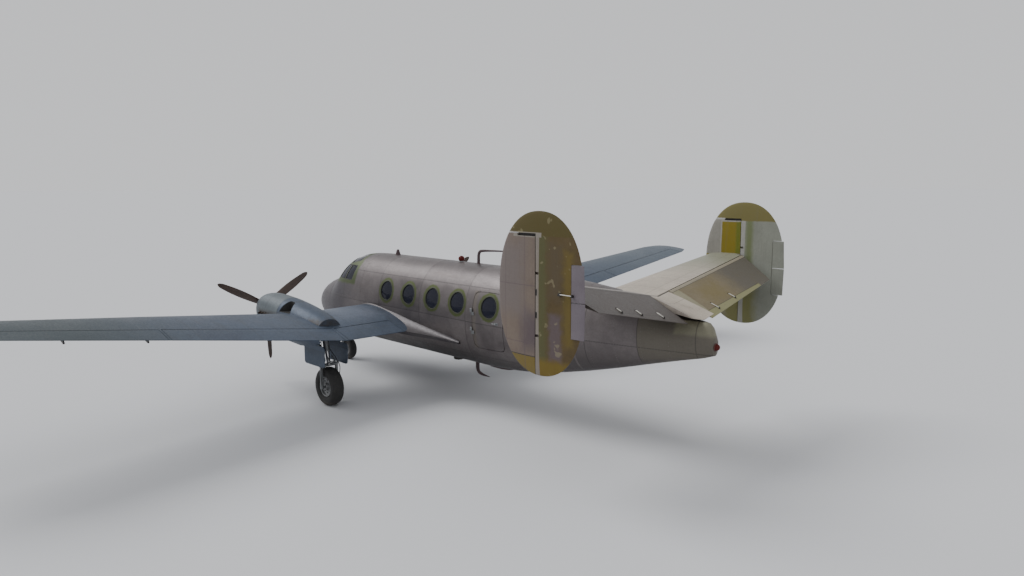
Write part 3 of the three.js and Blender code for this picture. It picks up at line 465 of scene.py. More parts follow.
def mottleGroup():
    # Cloudy patches, smaller blotches inside them, and fine grain
    group, come, go = newGroup("mottle", [("Vector", "Vector", None), ("Size", "Float", 1.0)],
                               ["Cloud", "Blotch", "Grain"])
    sized = addNode(group, "VectorMath", {"operation": "SCALE"}, n0=come["Vector"],
                    Scale=come["Size"]).outputs[0]
    group.links.new(ramp(group, noise(group, sized, 1.3, 3, 0.6, 0.6), 0.3, 0.7), go["Cloud"])
    group.links.new(ramp(group, noise(group, sized, 7.0, 6, 0.7, 0.3), 0.35, 0.75), go["Blotch"])
    group.links.new(noise(group, sized, 90.0, 3, 0.7), go["Grain"])
    return group


def streakGroup():
    # Long marks that run along one direction: noise squeezed across it
    group, come, go = newGroup("streaks", [("Vector", "Vector", None), ("Squeeze", "Vector", (1, 8, 8)),
                                           ("Size", "Float", 3.0)], ["Mask", "Fine"])
    drawn = vector(group, "MULTIPLY", come["Vector"], come["Squeeze"])
    sized = addNode(group, "VectorMath", {"operation": "SCALE"}, n0=drawn, Scale=come["Size"]).outputs[0]
    group.links.new(ramp(group, noise(group, sized, 1.0, 5, 0.65, 0.4), 0.48, 0.78), go["Mask"])
    group.links.new(noise(group, sized, 6.0, 4, 0.7), go["Fine"])
    return group


def sheetGroup():
    # Space divided into sheets of a size: each has its own tone, and a line runs along its edges
    group, come, go = newGroup("sheets", [("Vector", "Vector", None), ("Size", "Vector", (1, 1, 1)),
                                          ("Offset", "Vector", (0, 0, 0)), ("Width", "Float", 0.004)],
                               ["Tone", "Line"])
    moved = vector(group, "ADD", come["Vector"], come["Offset"])
    cells = vector(group, "DIVIDE", moved, come["Size"])
    tone = addNode(group, "TexWhiteNoise", {"noise_dimensions": "3D"}, Vector=vector(group, "FLOOR", cells))
    group.links.new(tone.outputs["Value"], go["Tone"])
    within = vector(group, "FRACTION", cells)
    other = vector(group, "SUBTRACT", (1.0, 1.0, 1.0), within)
    near = vector(group, "MULTIPLY", vector(group, "MINIMUM", within, other), come["Size"])
    parts = addNode(group, "SeparateXYZ", Vector=near).outputs
    least = calc(group, "MINIMUM", calc(group, "MINIMUM", parts[0], parts[1]), parts[2])
    group.links.new(ramp(group, least, 0.0, come["Width"], 1.0, 0.0), go["Line"])
    return group


def regionGroup():
    # A box's mask with soft, wandering edges: how far inside the box the point is, in each direction
    group, come, go = newGroup("region", [("Vector", "Vector", None), ("Low", "Vector", (-1, -1, -1)),
                                          ("High", "Vector", (1, 1, 1)), ("Edge", "Float", 0.02),
                                          ("Wander", "Float", 0.02), ("Grain", "Float", 9.0)], ["Mask"])
    cloud = addNode(group, "TexNoise", Vector=come["Vector"], Scale=come["Grain"], Detail=4)
    centred = vector(group, "SUBTRACT", cloud.outputs["Color"], (0.5, 0.5, 0.5))
    shift = addNode(group, "VectorMath", {"operation": "SCALE"}, n0=centred, Scale=come["Wander"]).outputs[0]
    moved = vector(group, "ADD", come["Vector"], shift)
    above = vector(group, "SUBTRACT", moved, come["Low"])
    below = vector(group, "SUBTRACT", come["High"], moved)
    parts = addNode(group, "SeparateXYZ", Vector=vector(group, "MINIMUM", above, below)).outputs
    least = calc(group, "MINIMUM", calc(group, "MINIMUM", parts[0], parts[1]), parts[2])
    half = calc(group, "MULTIPLY", come["Edge"], 0.5)
    group.links.new(ramp(group, least, calc(group, "MULTIPLY", half, -1.0), half), go["Mask"])
    return group


def discGroup():
    # A circle's mask seen from the side, its edge soft and wandering
    group, come, go = newGroup("disc", [("Vector", "Vector", None), ("Centre", "Vector", (0, 0, 0)),
                                        ("Radius", "Float", 0.3), ("Edge", "Float", 0.01),
                                        ("Wander", "Float", 0.01)], ["Mask"])
    flat = vector(group, "MULTIPLY", come["Vector"], (1, 0, 1))
    away = addNode(group, "VectorMath", {"operation": "DISTANCE"}, n0=flat,
                   n1=come["Centre"]).outputs["Value"]
    wander = calc(group, "MULTIPLY", calc(group, "SUBTRACT", noise(group, come["Vector"], 14.0, 3), 0.5),
                  come["Wander"])
    inside = calc(group, "SUBTRACT", come["Radius"], calc(group, "ADD", away, wander))
    group.links.new(ramp(group, inside, 0.0, come["Edge"]), go["Mask"])
    return group


groups = {"mottle": mottleGroup(), "streaks": streakGroup(), "sheets": sheetGroup(), "region": regionGroup(),
          "disc": discGroup()}


def useGroup(tree, name, **inputs):
    # One of the groups with its inputs set
    node = tree.nodes.new("ShaderNodeGroup")
    node.node_tree = groups[name]
    for label, value in inputs.items():
        if isinstance(value, bpy.types.NodeSocket):
            tree.links.new(value, node.inputs[label])
        else:
            node.inputs[label].default_value = value
    return node.outputs


def startMaterial(name, **fixed):
    # A material whose Principled shader gets its fixed values here, with its tree and Object coordinates
    made = bpy.data.materials.new(name)
    made.use_nodes = True
    tree = made.node_tree
    shader = tree.nodes["Principled BSDF"]
    for label, value in fixed.items():
        shader.inputs[label.replace("_", " ")].default_value = value
    where = tree.nodes.new("ShaderNodeTexCoord").outputs["Object"]
    return made, tree, shader, where


# What a finish is when nothing else is said. Colours: dark and light clouds, the stain that runs over them,
# and the line between sheets. Amounts: of blotch and streak. Squeeze sets which way the streaks run.
plainFinish = {"dark": (0.1, 0.1, 0.1), "light": (0.2, 0.2, 0.2), "stain": (0.05, 0.05, 0.05), "rough": 0.5,
               "metal": 0.0, "size": 1.0, "blotch": 0.22, "streak": 0.35, "squeeze": (0.7, 7.0, 7.0),
               "sheet": None, "offset": (0, 0, 0), "toneChange": 0.25, "areas": (), "discs": (), "coat": 0.0,
               "bump": 0.2, "speck": None, "seam": None, "seamWidth": 0.012, "specular": 0.5}


def finish(name, **changes):
    # Weathered sheet or casting: clouds, sheets of slightly different tone, stain in blotches and streaks,
    # fine grain in the roughness and the height, then placed areas and discs of other paint (some areas
    # painted light or shade), and specks
    look = {**plainFinish, **changes}
    made, tree, shader, where = startMaterial(name, Metallic=look["metal"], Coat_Weight=look["coat"],
                                              Specular_IOR_Level=look["specular"])
    wide = useGroup(tree, "mottle", Vector=where, Size=look["size"])
    fine = useGroup(tree, "mottle", Vector=where, Size=look["size"] * 5.0)
    run = useGroup(tree, "streaks", Vector=where, Squeeze=look["squeeze"], Size=look["size"] * 1.6)
    share = weighted(tree, (wide["Cloud"], 0.6), (fine["Cloud"], 0.25), (run["Fine"], 0.15))
    height = weighted(tree, (fine["Cloud"], 0.5), (fine["Grain"], 0.35), (wide["Blotch"], 0.3))
    line = None
    if look["sheet"]:
        sheets = useGroup(tree, "sheets", Vector=where, Size=look["sheet"], Offset=look["offset"],
                          Width=look["seamWidth"])
        line = sheets["Line"]
        share = weighted(tree, (share, 1 - look["toneChange"]), (sheets["Tone"], look["toneChange"]))
        height = weighted(tree, (height, 1.0), (sheets["Tone"], 0.4), (line, -0.8))
    colour = blendColour(tree, share, look["dark"], look["light"])
    stained = weighted(tree, (fine["Blotch"], look["blotch"]), (run["Mask"], look["streak"]))
    colour = blendColour(tree, stained, colour, look["stain"])
    for low, high, tint, wander, edge in look["areas"]:
        mask = useGroup(tree, "region", Vector=where, Low=low, High=high, Wander=wander, Edge=edge)["Mask"]
        shade = blendColour(tree, calc(tree, "MULTIPLY", stained, 0.6), tint, look["stain"])
        colour = blendColour(tree, mask, colour, shade)
    for x, z, radius, tint in look["discs"]:
        mask = useGroup(tree, "disc", Vector=where, Centre=(x, 0, z), Radius=radius, Edge=0.045,
                        Wander=0.05)["Mask"]
        colour = blendColour(tree, mask, colour, tint)
    if look["speck"]:
        tint, amount = look["speck"]
        spots = ramp(tree, noise(tree, where, 6.5, 2, 0.5, 0.3), 0.64, 0.69, 0.0, amount)
        colour = blendColour(tree, spots, colour, tint)
    if line is not None:
        colour = blendColour(tree, calc(tree, "MULTIPLY", line, 0.6), colour, look["seam"] or look["stain"])
    tree.links.new(colour, shader.inputs["Base Color"])
    rough = weighted(tree, (fine["Blotch"], 0.16), (run["Fine"], 0.20), (fine["Grain"], 0.06),
                     (wide["Cloud"], 0.10))
    tree.links.new(calc(tree, "ADD", rough, look["rough"] - 0.22), shader.inputs["Roughness"])
    bump = addNode(tree, "Bump", Strength=look["bump"], Distance=0.003, Height=height)
    tree.links.new(bump.outputs["Normal"], shader.inputs["Normal"])
    return made


def clearGlass(name, tint, rough, transmission):
    # Old glass: faint smears in its roughness and dust that lightens it in blotches
    made, tree, shader, where = startMaterial(name, Metallic=0.0, Transmission_Weight=transmission, IOR=1.22)
    smear = useGroup(tree, "mottle", Vector=where, Size=3.0)
    dusty = tuple(channel * 0.7 + 0.03 for channel in tint)
    tree.links.new(blendColour(tree, calc(tree, "MULTIPLY", smear["Blotch"], 0.4), tint, dusty),
                   shader.inputs["Base Color"])
    tree.links.new(weighted(tree, (smear["Cloud"], 0.05), (smear["Grain"], 0.02), (smear["Blotch"], rough)),
                   shader.inputs["Roughness"])
    return made


print("material functions ready")


# The finishes, each from its own colours; those that change over a piece list the areas of other paint,
# some of them painted light or shade: the tint, how far the edge wanders, how soft it is, and where the area
# lies

yellowOlive, mauve = (0.165, 0.124, 0.034), (0.104, 0.081, 0.083)
# The near black stands for oil and soot, and also serves as painted shadow in the tail's gap
cream, oilAndShadowBlack = (0.30, 0.27, 0.16), (0.020, 0.018, 0.017)
everywhere = 20.0  # farther than any piece reaches


def area(tint, wander, edge, x=(None, None), y=(None, None), z=(None, None)):
    # Corners of a box, without limit where a direction is left out or says None, and the paint inside it
    low = tuple(-everywhere if end is None else end for end, _ in (x, y, z))
    high = tuple(everywhere if end is None else end for _, end in (x, y, z))
    return low, high, tint, wander, edge


# Olive primer: a ring round each cabin window and wide frames round the windscreens
windowDiscs = [(x, 2.335, 0.322, (0.080, 0.100, 0.032)) for x in (2.218, 1.349, 0.480, -0.389, -1.381)]
frameGreen = (0.062, 0.082, 0.030)
screenAreas = [area(frameGreen, 0.06, 0.07, x=(3.62, 4.62), z=(2.35, 2.92)),
               area(frameGreen, 0.06, 0.06, x=(4.32, 5.02), y=(-0.58, 0.58), z=(2.36, 2.92)),
               area(frameGreen, 0.06, 0.06, x=(3.66, 4.42), y=(-0.54, 0.54), z=(2.88, None))]
# Painted shade on the bare metal: darker from x 3.9 forward to the nose and below z 1.26, and darkest in a
# strip under the belly, which is painted shade and oil
noseAndBellyShadeAndOil = [area((0.068, 0.062, 0.070), 0.5, 1.3, x=(3.9, None)),
             area((0.055, 0.049, 0.050), 0.16, 0.42, z=(None, 1.26)),
             area(oilAndShadowBlack, 0.25, 0.25, x=(-2.2, 1.2), y=(-0.35, 0.35), z=(None, 1.0))]
metalLook = {"dark": (0.072, 0.062, 0.064), "light": (0.200, 0.178, 0.176), "stain": (0.120, 0.100, 0.092),
             "rough": 0.44, "metal": 0.62, "size": 0.9, "blotch": 0.30, "streak": 0.30,
             "squeeze": (0.5, 5.0, 5.0), "sheet": (1.60, 100.0, 0.74), "offset": (0.68, 50.0, 0.25),
             "toneChange": 0.34, "bump": 0.16, "seam": (0.050, 0.044, 0.045), "seamWidth": 0.016}
wingLook = {"dark": (0.048, 0.064, 0.094), "light": (0.094, 0.119, 0.162), "stain": (0.056, 0.062, 0.068),
            "rough": 0.47, "metal": 0.28, "specular": 0.18, "size": 0.8, "blotch": 0.24, "streak": 0.40,
            "squeeze": (0.5, 6.0, 6.0), "sheet": (0.86, 1.21, 100.0), "offset": (0.35, 0.20, 50.0),
            "toneChange": 0.22}

finishes = {
    "bareMetal": dict(metalLook, discs=windowDiscs, areas=noseAndBellyShadeAndOil + screenAreas + [
        area((0.155, 0.135, 0.120), 0.05, 0.06, x=(-1.02, -0.90), y=(0.2, None), z=(1.43, 2.64))]),
    # The tail's metal: primer-coloured at the cone's end; the pale top of the end is painted sunlight, the
    # near-black strip along its ridge is painted shadow under the tailplane's middle, and it is darker below
    # z 1.70 as painted shade
    "tailMetal": dict(metalLook, dark=(0.092, 0.080, 0.082), rough=0.46, sheet=(1.06, 100.0, 0.74),
                      offset=(0.58, 50.0, 0.25), areas=[
        area((0.138, 0.125, 0.102), 0.0, 0.003, x=(None, -4.82)),
        area((0.225, 0.215, 0.155), 0.05, 0.10, x=(None, -5.50), z=(2.30, None)),
        area(oilAndShadowBlack, 0.01, 0.02, x=(None, -5.30), z=(2.535, None)),
        area((0.080, 0.070, 0.070), 0.2, 0.5, z=(None, 1.70))]),
    "fairingMetal": dict(metalLook, dark=(0.037, 0.033, 0.036), light=(0.100, 0.092, 0.096),
                         stain=(0.064, 0.058, 0.057)),
    "nosePaint": dict(dark=(0.058, 0.052, 0.057), light=(0.118, 0.107, 0.113), stain=(0.036, 0.033, 0.034),
                      rough=0.46, metal=0.55),
    "rivetMetal": dict(dark=(0.170, 0.158, 0.156), light=(0.300, 0.282, 0.278), stain=(0.09, 0.08, 0.078),
                       rough=0.40, metal=0.7, size=3.0),
    "windowPrimer": dict(dark=(0.030, 0.034, 0.018), light=(0.060, 0.068, 0.030), stain=(0.02, 0.02, 0.015),
                         rough=0.6, size=3.0),
    "interior": dict(dark=(0.095, 0.110, 0.048), light=(0.150, 0.165, 0.075), stain=(0.05, 0.05, 0.035),
                     rough=0.6),
    "floorBoard": dict(dark=(0.110, 0.085, 0.055), light=(0.190, 0.150, 0.100), stain=(0.05, 0.042, 0.035),
                       rough=0.65, squeeze=(0.4, 9.0, 9.0), sheet=(0.9, 0.45, 50.0), offset=(0, 0.2, 25.0)),
    "panelBlack": dict(dark=(0.018, 0.018, 0.019), light=(0.034, 0.034, 0.035), stain=(0.05, 0.048, 0.042),
                       rough=0.62, size=4.0),
    # The wings' paint: the left wing darker and greener outboard, painted shade; the right wing lighter
    # outboard, painted sunlight
    "wingPaint": dict(wingLook, areas=[
        area((0.056, 0.072, 0.080), 0.6, 3.0, y=(6.6, None)),
        area((0.102, 0.126, 0.154), 0.6, 3.0, y=(None, -6.6)),
        area((0.136, 0.160, 0.208), 0.5, 0.8, x=(2.0, 3.2), y=(1.2, 2.3), z=(1.6, 2.4))]),
    "cowlPaint": dict(wingLook, dark=(0.090, 0.108, 0.118), light=(0.160, 0.182, 0.198),
                      sheet=(0.575, 100.0, 0.42), offset=(0.14, 50.0, 0.20), areas=[
        area((0.060, 0.052, 0.046), 0.10, 0.12, x=(None, 4.19), z=(1.76, 1.93))]),
    "nacellePaint": dict(wingLook, sheet=(0.70, 100.0, 0.46), offset=(0.18, 50.0, 0.1), areas=[
        area((0.070, 0.062, 0.056), 0.22, 0.20, x=(1.7, 3.40), z=(1.70, 1.92))]),
    "finLeft": dict(specular=0.2, dark=(0.142, 0.110, 0.087), light=(0.192, 0.154, 0.124),
                    stain=(0.104, 0.079, 0.086), rough=0.55, squeeze=(7.0, 7.0, 0.5), sheet=(0.42, 100, 0.9),
                    offset=(0.06, 50, 0.24), toneChange=0.2, areas=[
        area(mauve, 0.20, 0.35, x=(None, -4.62), z=(2.36, 2.95)),
        area((0.160, 0.134, 0.123), 0.2, 0.4, x=(-4.66, None), z=(2.9, 4.0)),
        area(yellowOlive, 0.02, 0.02, z=(None, 2.262)),
        area((0.235, 0.215, 0.185), 0.0, 0.004, x=(None, -4.43), z=(4.098, None)),
        area((0.060, 0.05, 0.045), 0.0, 0.004, z=(2.252, 2.268))]),
    "finRight": dict(specular=0.2, dark=(0.235, 0.225, 0.198), light=(0.310, 0.298, 0.265),
                     stain=(0.140, 0.130, 0.110), rough=0.55, squeeze=(7.0, 7.0, 0.5), areas=[
        area((0.310, 0.300, 0.275), 0.0, 0.006, x=(-4.925, -4.44), z=(3.40, 4.13)),
        area((0.205, 0.160, 0.012), 0.02, 0.012, x=(-4.905, -4.47), z=(3.43, 4.085)),
        area((0.130, 0.145, 0.016), 0.04, 0.06, x=(-4.905, -4.80), z=(3.43, 4.085)),
        area((0.20, 0.165, 0.03), 0.01, 0.01, z=(3.345, 3.392)),
        area((0.185, 0.178, 0.075), 0.22, 0.30, x=(None, -4.55), z=(None, 2.90)),
        area((0.33, 0.325, 0.30), 0.0, 0.004, z=(4.12, None))]),
    "rudderLeft": dict(specular=0.2, dark=(0.072, 0.053, 0.024), light=(0.108, 0.078, 0.036),
                       stain=(0.105, 0.062, 0.028), rough=0.58, squeeze=(6.0, 6.0, 0.8), size=1.6,
                       speck=(cream, 0.34), areas=[
        area((0.086, 0.085, 0.038), 0.12, 0.16, x=(-5.125, None)),
        area((0.088, 0.068, 0.040), 0.20, 0.20, x=(-5.42, -5.18), z=(3.2, 4.0)),
        area(mauve, 0.12, 0.12, x=(-5.41, -5.18), z=(2.24, 2.96)),
        area((0.150, 0.108, 0.022), 0.10, 0.14, z=(None, 2.24)),
        area((0.122, 0.092, 0.026), 0.16, 0.16, x=(-5.63, -5.47), z=(2.50, 3.90)),
        area((0.085, 0.070, 0.024), 0.03, 0.03, z=(4.12, None)),
        area((0.215, 0.190, 0.165), 0.0, 0.003, x=(-4.978, None), z=(None, 4.145)),
        area((0.235, 0.215, 0.185), 0.0, 0.004, x=(-5.02, None), z=(4.10, 4.172))]),
    "rudderRight": dict(specular=0.2, dark=(0.208, 0.216, 0.182), light=(0.268, 0.278, 0.236),
                        stain=(0.150, 0.145, 0.125), rough=0.58, squeeze=(6.0, 6.0, 0.8), areas=[
        area((0.150, 0.172, 0.085), 0.06, 0.12, x=(-5.17, -5.02)),
        area((0.185, 0.182, 0.075), 0.20, 0.30, x=(-5.24, None), z=(None, 2.85)),
        area((0.165, 0.145, 0.050), 0.03, 0.03, z=(4.11, None)),
        area((0.32, 0.315, 0.29), 0.0, 0.003, x=(-5.0, None), z=(None, 4.11))]),
    "tabGrey": dict(dark=(0.112, 0.093, 0.108), light=(0.150, 0.128, 0.146), stain=(0.10, 0.083, 0.09),
                    rough=0.52, squeeze=(6, 6, 0.7), size=1.5),
    "tabPale": dict(specular=0.2, dark=(0.195, 0.202, 0.172), light=(0.250, 0.260, 0.220),
                    stain=(0.15, 0.145, 0.125), rough=0.58, squeeze=(6, 6, 0.7), size=1.5),
    # The tailplane: its light tone is painted sunlight, its darker left half painted shade, and the dark
    # strip just ahead of the hinge gap painted shade in the gap; the right tip is greener and darker
    "tailPaint": dict(dark=(0.390, 0.338, 0.276), light=(0.530, 0.472, 0.392), rough=0.50,
                      stain=(0.170, 0.142, 0.115), metal=0.15, squeeze=(0.6, 5.0, 5.0),
                      sheet=(0.62, 0.77, 100), offset=(0.36, 0.38, 50), toneChange=0.2, areas=[
        area((0.250, 0.252, 0.185), 0.3, 1.6, y=(None, -1.9)),
        area((0.200, 0.176, 0.160), 0.3, 0.5, y=(0.30, None)),
        area((0.070, 0.062, 0.050), 0.01, 0.01, x=(-4.995, -4.955))]),
    "elevatorRight": dict(specular=0.3, dark=(0.150, 0.124, 0.078), light=(0.205, 0.172, 0.110),
                          stain=(0.128, 0.100, 0.045), rough=0.55, squeeze=(0.8, 4.0, 4.0), areas=[
        area((0.175, 0.142, 0.068), 0.40, 0.45, x=(-5.66, -5.22), y=(-1.40, -0.85)),
        area((0.112, 0.102, 0.084), 0.30, 0.6, y=(None, -1.75)),
        area((0.270, 0.250, 0.170), 0.03, 0.04, y=(-0.52, None)),
        area((0.270, 0.240, 0.180), 0.0, 0.004, x=(-5.062, None)),
        area((0.050, 0.044, 0.036), 0.0, 0.003, x=(-5.070, -5.060)),
        area((0.235, 0.228, 0.120), 0.02, 0.006, x=(None, -5.712), y=(-2.30, None)),
        area((0.045, 0.040, 0.030), 0.0, 0.003, x=(-5.718, -5.709), y=(-2.30, None))]),
    "elevatorLeft": dict(dark=(0.072, 0.060, 0.054), light=(0.105, 0.091, 0.083),
                         stain=(0.066, 0.054, 0.044), rough=0.50, metal=0.2, squeeze=(0.8, 4.0, 4.0),
                         areas=[
        area((0.040, 0.036, 0.032), 0.0, 0.003, x=(-5.070, -5.060)),
        area((0.040, 0.036, 0.032), 0.0, 0.003, x=(-5.718, -5.709), y=(None, 2.30))]),
    "bladePaint": dict(dark=(0.040, 0.024, 0.019), light=(0.085, 0.050, 0.036), stain=(0.020, 0.015, 0.012),
                       rough=0.42, size=2.0),
    "rubber": dict(dark=(0.016, 0.016, 0.017), light=(0.034, 0.033, 0.032), stain=(0.058, 0.053, 0.045),
                   rough=0.82, size=3.0, areas=[
        area((0.062, 0.056, 0.048), 0.05, 0.12, z=(None, 0.10))]),
    "hoseRubber": dict(dark=(0.016, 0.016, 0.016), light=(0.034, 0.034, 0.034), stain=(0.05, 0.045, 0.04),
                       rough=0.7, size=6.0),
    "rimMetal": dict(dark=(0.13, 0.132, 0.136), light=(0.26, 0.264, 0.268), stain=(0.05, 0.046, 0.04),
                     rough=0.45, metal=0.7, size=4.0),
    "legSteel": dict(dark=(0.15, 0.158, 0.162), light=(0.27, 0.278, 0.285), stain=(0.06, 0.052, 0.042),
                     rough=0.42, metal=0.6, size=3.0, squeeze=(6.0, 6.0, 0.8)),
    "chrome": dict(dark=(0.45, 0.45, 0.46), light=(0.62, 0.62, 0.63), stain=(0.24, 0.22, 0.19), rough=0.20,
                   metal=1.0, size=5.0),
    "darkMetal": dict(dark=(0.030, 0.028, 0.028), light=(0.075, 0.070, 0.066), stain=(0.018, 0.016, 0.014),
                      rough=0.45, metal=0.6, size=3.0),
    "mastPaint": dict(dark=(0.035, 0.017, 0.019), light=(0.068, 0.036, 0.038), stain=(0.018, 0.014, 0.013),
                      rough=0.45, size=3.0),
    "lampRed": dict(dark=(0.060, 0.014, 0.012), light=(0.115, 0.026, 0.020), stain=(0.03, 0.014, 0.012),
                    rough=0.4, size=5.0),
    "whiteRod": dict(dark=(0.50, 0.48, 0.43), light=(0.66, 0.64, 0.59), stain=(0.33, 0.30, 0.25), rough=0.45,
                     size=4.0),
    "engineIron": dict(dark=(0.055, 0.056, 0.058), light=(0.12, 0.12, 0.12), stain=(0.028, 0.024, 0.019),
                       rough=0.5, metal=0.7, size=4.0),
    "burntSteel": dict(dark=(0.060, 0.042, 0.034), light=(0.13, 0.092, 0.072), stain=(0.028, 0.022, 0.018),
                       rough=0.6, metal=0.6, size=5.0),
    # Near black with oil: the air outlets' lining, and painted shade as the plate in the fin's horn slot
    "sootMetal": dict(dark=(0.018, 0.017, 0.017), light=(0.042, 0.040, 0.038), stain=oilAndShadowBlack, rough=0.62,
                      metal=0.3, size=3.0),
    "seatCloth": dict(dark=(0.055, 0.068, 0.044), light=(0.092, 0.108, 0.072), stain=(0.040, 0.043, 0.033),
                      rough=0.88, size=6.0, bump=0.5),
    "seatWelt": dict(dark=(0.030, 0.036, 0.026), light=(0.055, 0.063, 0.046), stain=(0.02, 0.02, 0.02),
                     rough=0.8, size=6.0),
    "dialFace": dict(dark=(0.010, 0.010, 0.010), light=(0.018, 0.018, 0.018), stain=(0.028, 0.028, 0.026),
                     rough=0.3, size=8.0, coat=0.5)}
glasses = {"darkGlass": ((0.026, 0.028, 0.044), 0.06, 0.35),
           "redGlass": ((0.120, 0.012, 0.010), 0.12, 0.25)}
materials = {name: finish(name, **look) for name, look in finishes.items()}
materials.update({name: clearGlass(name, *look) for name, look in glasses.items()})
print(len(materials), "finishes ready")


# Fuselage

# Sections from nose to tail: x, bottom z, top z, half width, roundness
fuselageSections = np.array([[6.250, 1.628, 1.632, 0.002, 2.00], [6.247, 1.555, 1.705, 0.075, 2.00],
                             [6.225, 1.440, 1.815, 0.190, 2.00], [6.150, 1.330, 1.925, 0.300, 2.00],
                             [6.000, 1.222, 2.050, 0.415, 2.00], [5.750, 1.112, 2.190, 0.540, 2.05],
                             [5.400, 1.018, 2.315, 0.660, 2.10], [5.000, 0.955, 2.415, 0.755, 2.15],
                             [4.720, 0.925, 2.655, 0.800, 2.20], [4.450, 0.905, 2.890, 0.830, 2.20],
                             [4.150, 0.892, 3.022, 0.850, 2.22], [3.750, 0.884, 3.086, 0.868, 2.27],
                             [3.200, 0.880, 3.100, 0.880, 2.30], [0.700, 0.880, 3.100, 0.880, 2.30],
                             [-0.900, 0.885, 3.098, 0.876, 2.30], [-1.700, 0.925, 3.080, 0.850, 2.30],
                             [-2.500, 1.030, 3.040, 0.785, 2.25], [-3.300, 1.195, 2.980, 0.680, 2.20],
                             [-4.200, 1.420, 2.895, 0.535, 2.15], [-5.000, 1.640, 2.760, 0.370, 2.10],
                             [-5.600, 1.800, 2.580, 0.235, 2.05], [-6.000, 1.905, 2.535, 0.140, 2.10],
                             [-6.080, 1.935, 2.505, 0.120, 2.15], [-6.170, 1.965, 2.290, 0.095, 2.20]])

fuselage = {"noseJoint": 5.08, "cockpitJoint": 3.35, "tailJoint": -2.15, "floorTop": 1.36, "sideTop": 2.70,
            "wall": 0.045, "tailWall": 0.028, "gap": 0.0015, "seam": 0.001, "spacing": 0.06}
cabinWindow = {"radius": 0.225, "z": 2.335,
               "xs": [2.218, 1.349, 0.480, -0.389, -1.381], "screws": 28, "flange": 0.026,
               "glassInset": 0.016}
doorway = {"front": -0.96, "rear": -1.76, "bottom": 1.49, "top": 2.59, "corner": 0.13, "flare": 1.2,
           "from": 0.48, "to": 1.0, "clearance": 0.010, "window": -1.381}
panes = {"side": [(4.50, 2.455), (4.35, 2.80), (3.735, 2.815), (3.79, 2.44)],
         "front": [(0.035, 2.44), (0.045, 2.79), (0.33, 2.77), (0.49, 2.45)],
         "brow": [(4.33, 0.11), (3.78, 0.12), (3.76, 0.52), (4.20, 0.53)],
         "corner": 0.05, "inset": 0.010, "thickness": 0.010,
         "bar": [(4.16, 2.40), (4.06, 2.86)], "barWidth": 0.045}
noseBay = {"rear": 5.10, "front": 5.53, "halfWidth": 0.15, "top": 1.52}


def smoothTable(table, count=4000):
    # Monotone cubic through the rows, spaced by their distance apart: each slope is the harmonic mean of
    # its neighbours' where they agree in sign, and otherwise nothing
    steps = np.linalg.norm(np.diff(table[:, :4], axis=0), axis=1)
    knots = np.concatenate([[0], np.cumsum(steps)])
    rise = np.diff(table, axis=0) / steps[:, None]
    same = rise[1:] * rise[:-1] > 0
    middle = np.where(same, 2 * rise[1:] * rise[:-1] / np.where(same, rise[1:] + rise[:-1], 1), 0)
    slope = np.concatenate([rise[:1], middle, rise[-1:]])
    at = np.linspace(0, knots[-1], count)
    k = np.clip(np.searchsorted(knots, at, side="right") - 1, 0, len(steps) - 1)
    h, u = steps[k][:, None], ((at - knots[k]) / steps[k])[:, None]
    return ((2 * u ** 3 - 3 * u ** 2 + 1) * table[k] + (u ** 3 - 2 * u ** 2 + u) * h * slope[k]
            + (3 * u ** 2 - 2 * u ** 3) * table[k + 1] + (u ** 3 - u ** 2) * h * slope[k + 1])


smoothFuselage = smoothTable(fuselageSections)[::-1]


def columnsAt(table, x, count):
    # The table's columns after the first, read at x
    return [np.interp(x, table[:, 0], table[:, k]) for k in range(1, count + 1)]


def sectionAt(x):
    # Bottom, top, half width and roundness of the fuselage at x
    return columnsAt(smoothFuselage, x, 4)


def skinPoint(x, angle, inset=0.0):
    # A superellipse about the section's middle: cosine and sine raised to two over the roundness
    x, angle = np.broadcast_arrays(np.asarray(x, float), np.asarray(angle, float))
    bottom, top, half, roundness = sectionAt(x)
    y = np.maximum(half - inset, 0.001) * signedPower(np.cos(angle), 2 / roundness)
    rise = np.maximum((top - bottom) / 2 - inset, 0.001) * signedPower(np.sin(angle), 2 / roundness)
    return np.stack([x, y, (top + bottom) / 2 + rise], -1)


def skinAngle(x, z, side=1):
    # The angle at which the section reaches that height, on the left (1) or the right (-1)
    bottom, top, _, roundness = sectionAt(x)
    share = np.clip((z - (top + bottom) / 2) / ((top - bottom) / 2), -1, 1)
    angle = np.arcsin(signedPower(share, roundness / 2))
    return angle if side > 0 else np.pi - angle


def skinY(x, z, side=1, lift=0.0):
    # How far from the middle plane the skin is at a height, raised by the lift
    bottom, top, half, roundness = sectionAt(x)
    share = np.clip(np.abs(z - (top + bottom) / 2) / ((top - bottom) / 2), 0, 1)
    return side * (half * (1 - share ** roundness) ** (1 / roundness) + lift)


def skinNormal(x, angle):
    # The cross product of small steps along and round the skin
    d = 1e-3
    along = skinPoint(x + d, angle) - skinPoint(x - d, angle)
    around = skinPoint(x, angle + d) - skinPoint(x, angle - d)
    return unit(np.cross(around, along))


def stations(front, rear, spacing=None):
    # Even steps along the fuselage, as a column
    rows = max(3, int((front - rear) / (spacing or fuselage["spacing"])) + 1)
    return np.linspace(front, rear, rows)[:, None]


def skinPatch(front, rear, edges, wall, spacing=None, columns=96):
    # A wall of the fuselage between two stations and two edges; an edge is (turn, way, level, shift): the
    # turn, plus or minus the angle at which the skin reaches the level, plus the shift
    x = stations(front, rear, spacing)
    share = np.linspace(0, 1, columns)[None, :]
    low, high = (turn + way * skinAngle(x, level) + shift for turn, way, level, shift in edges)
    angle = low * (1 - share) + high * share
    return shell(skinPoint(x, angle), skinPoint(x, angle, wall))


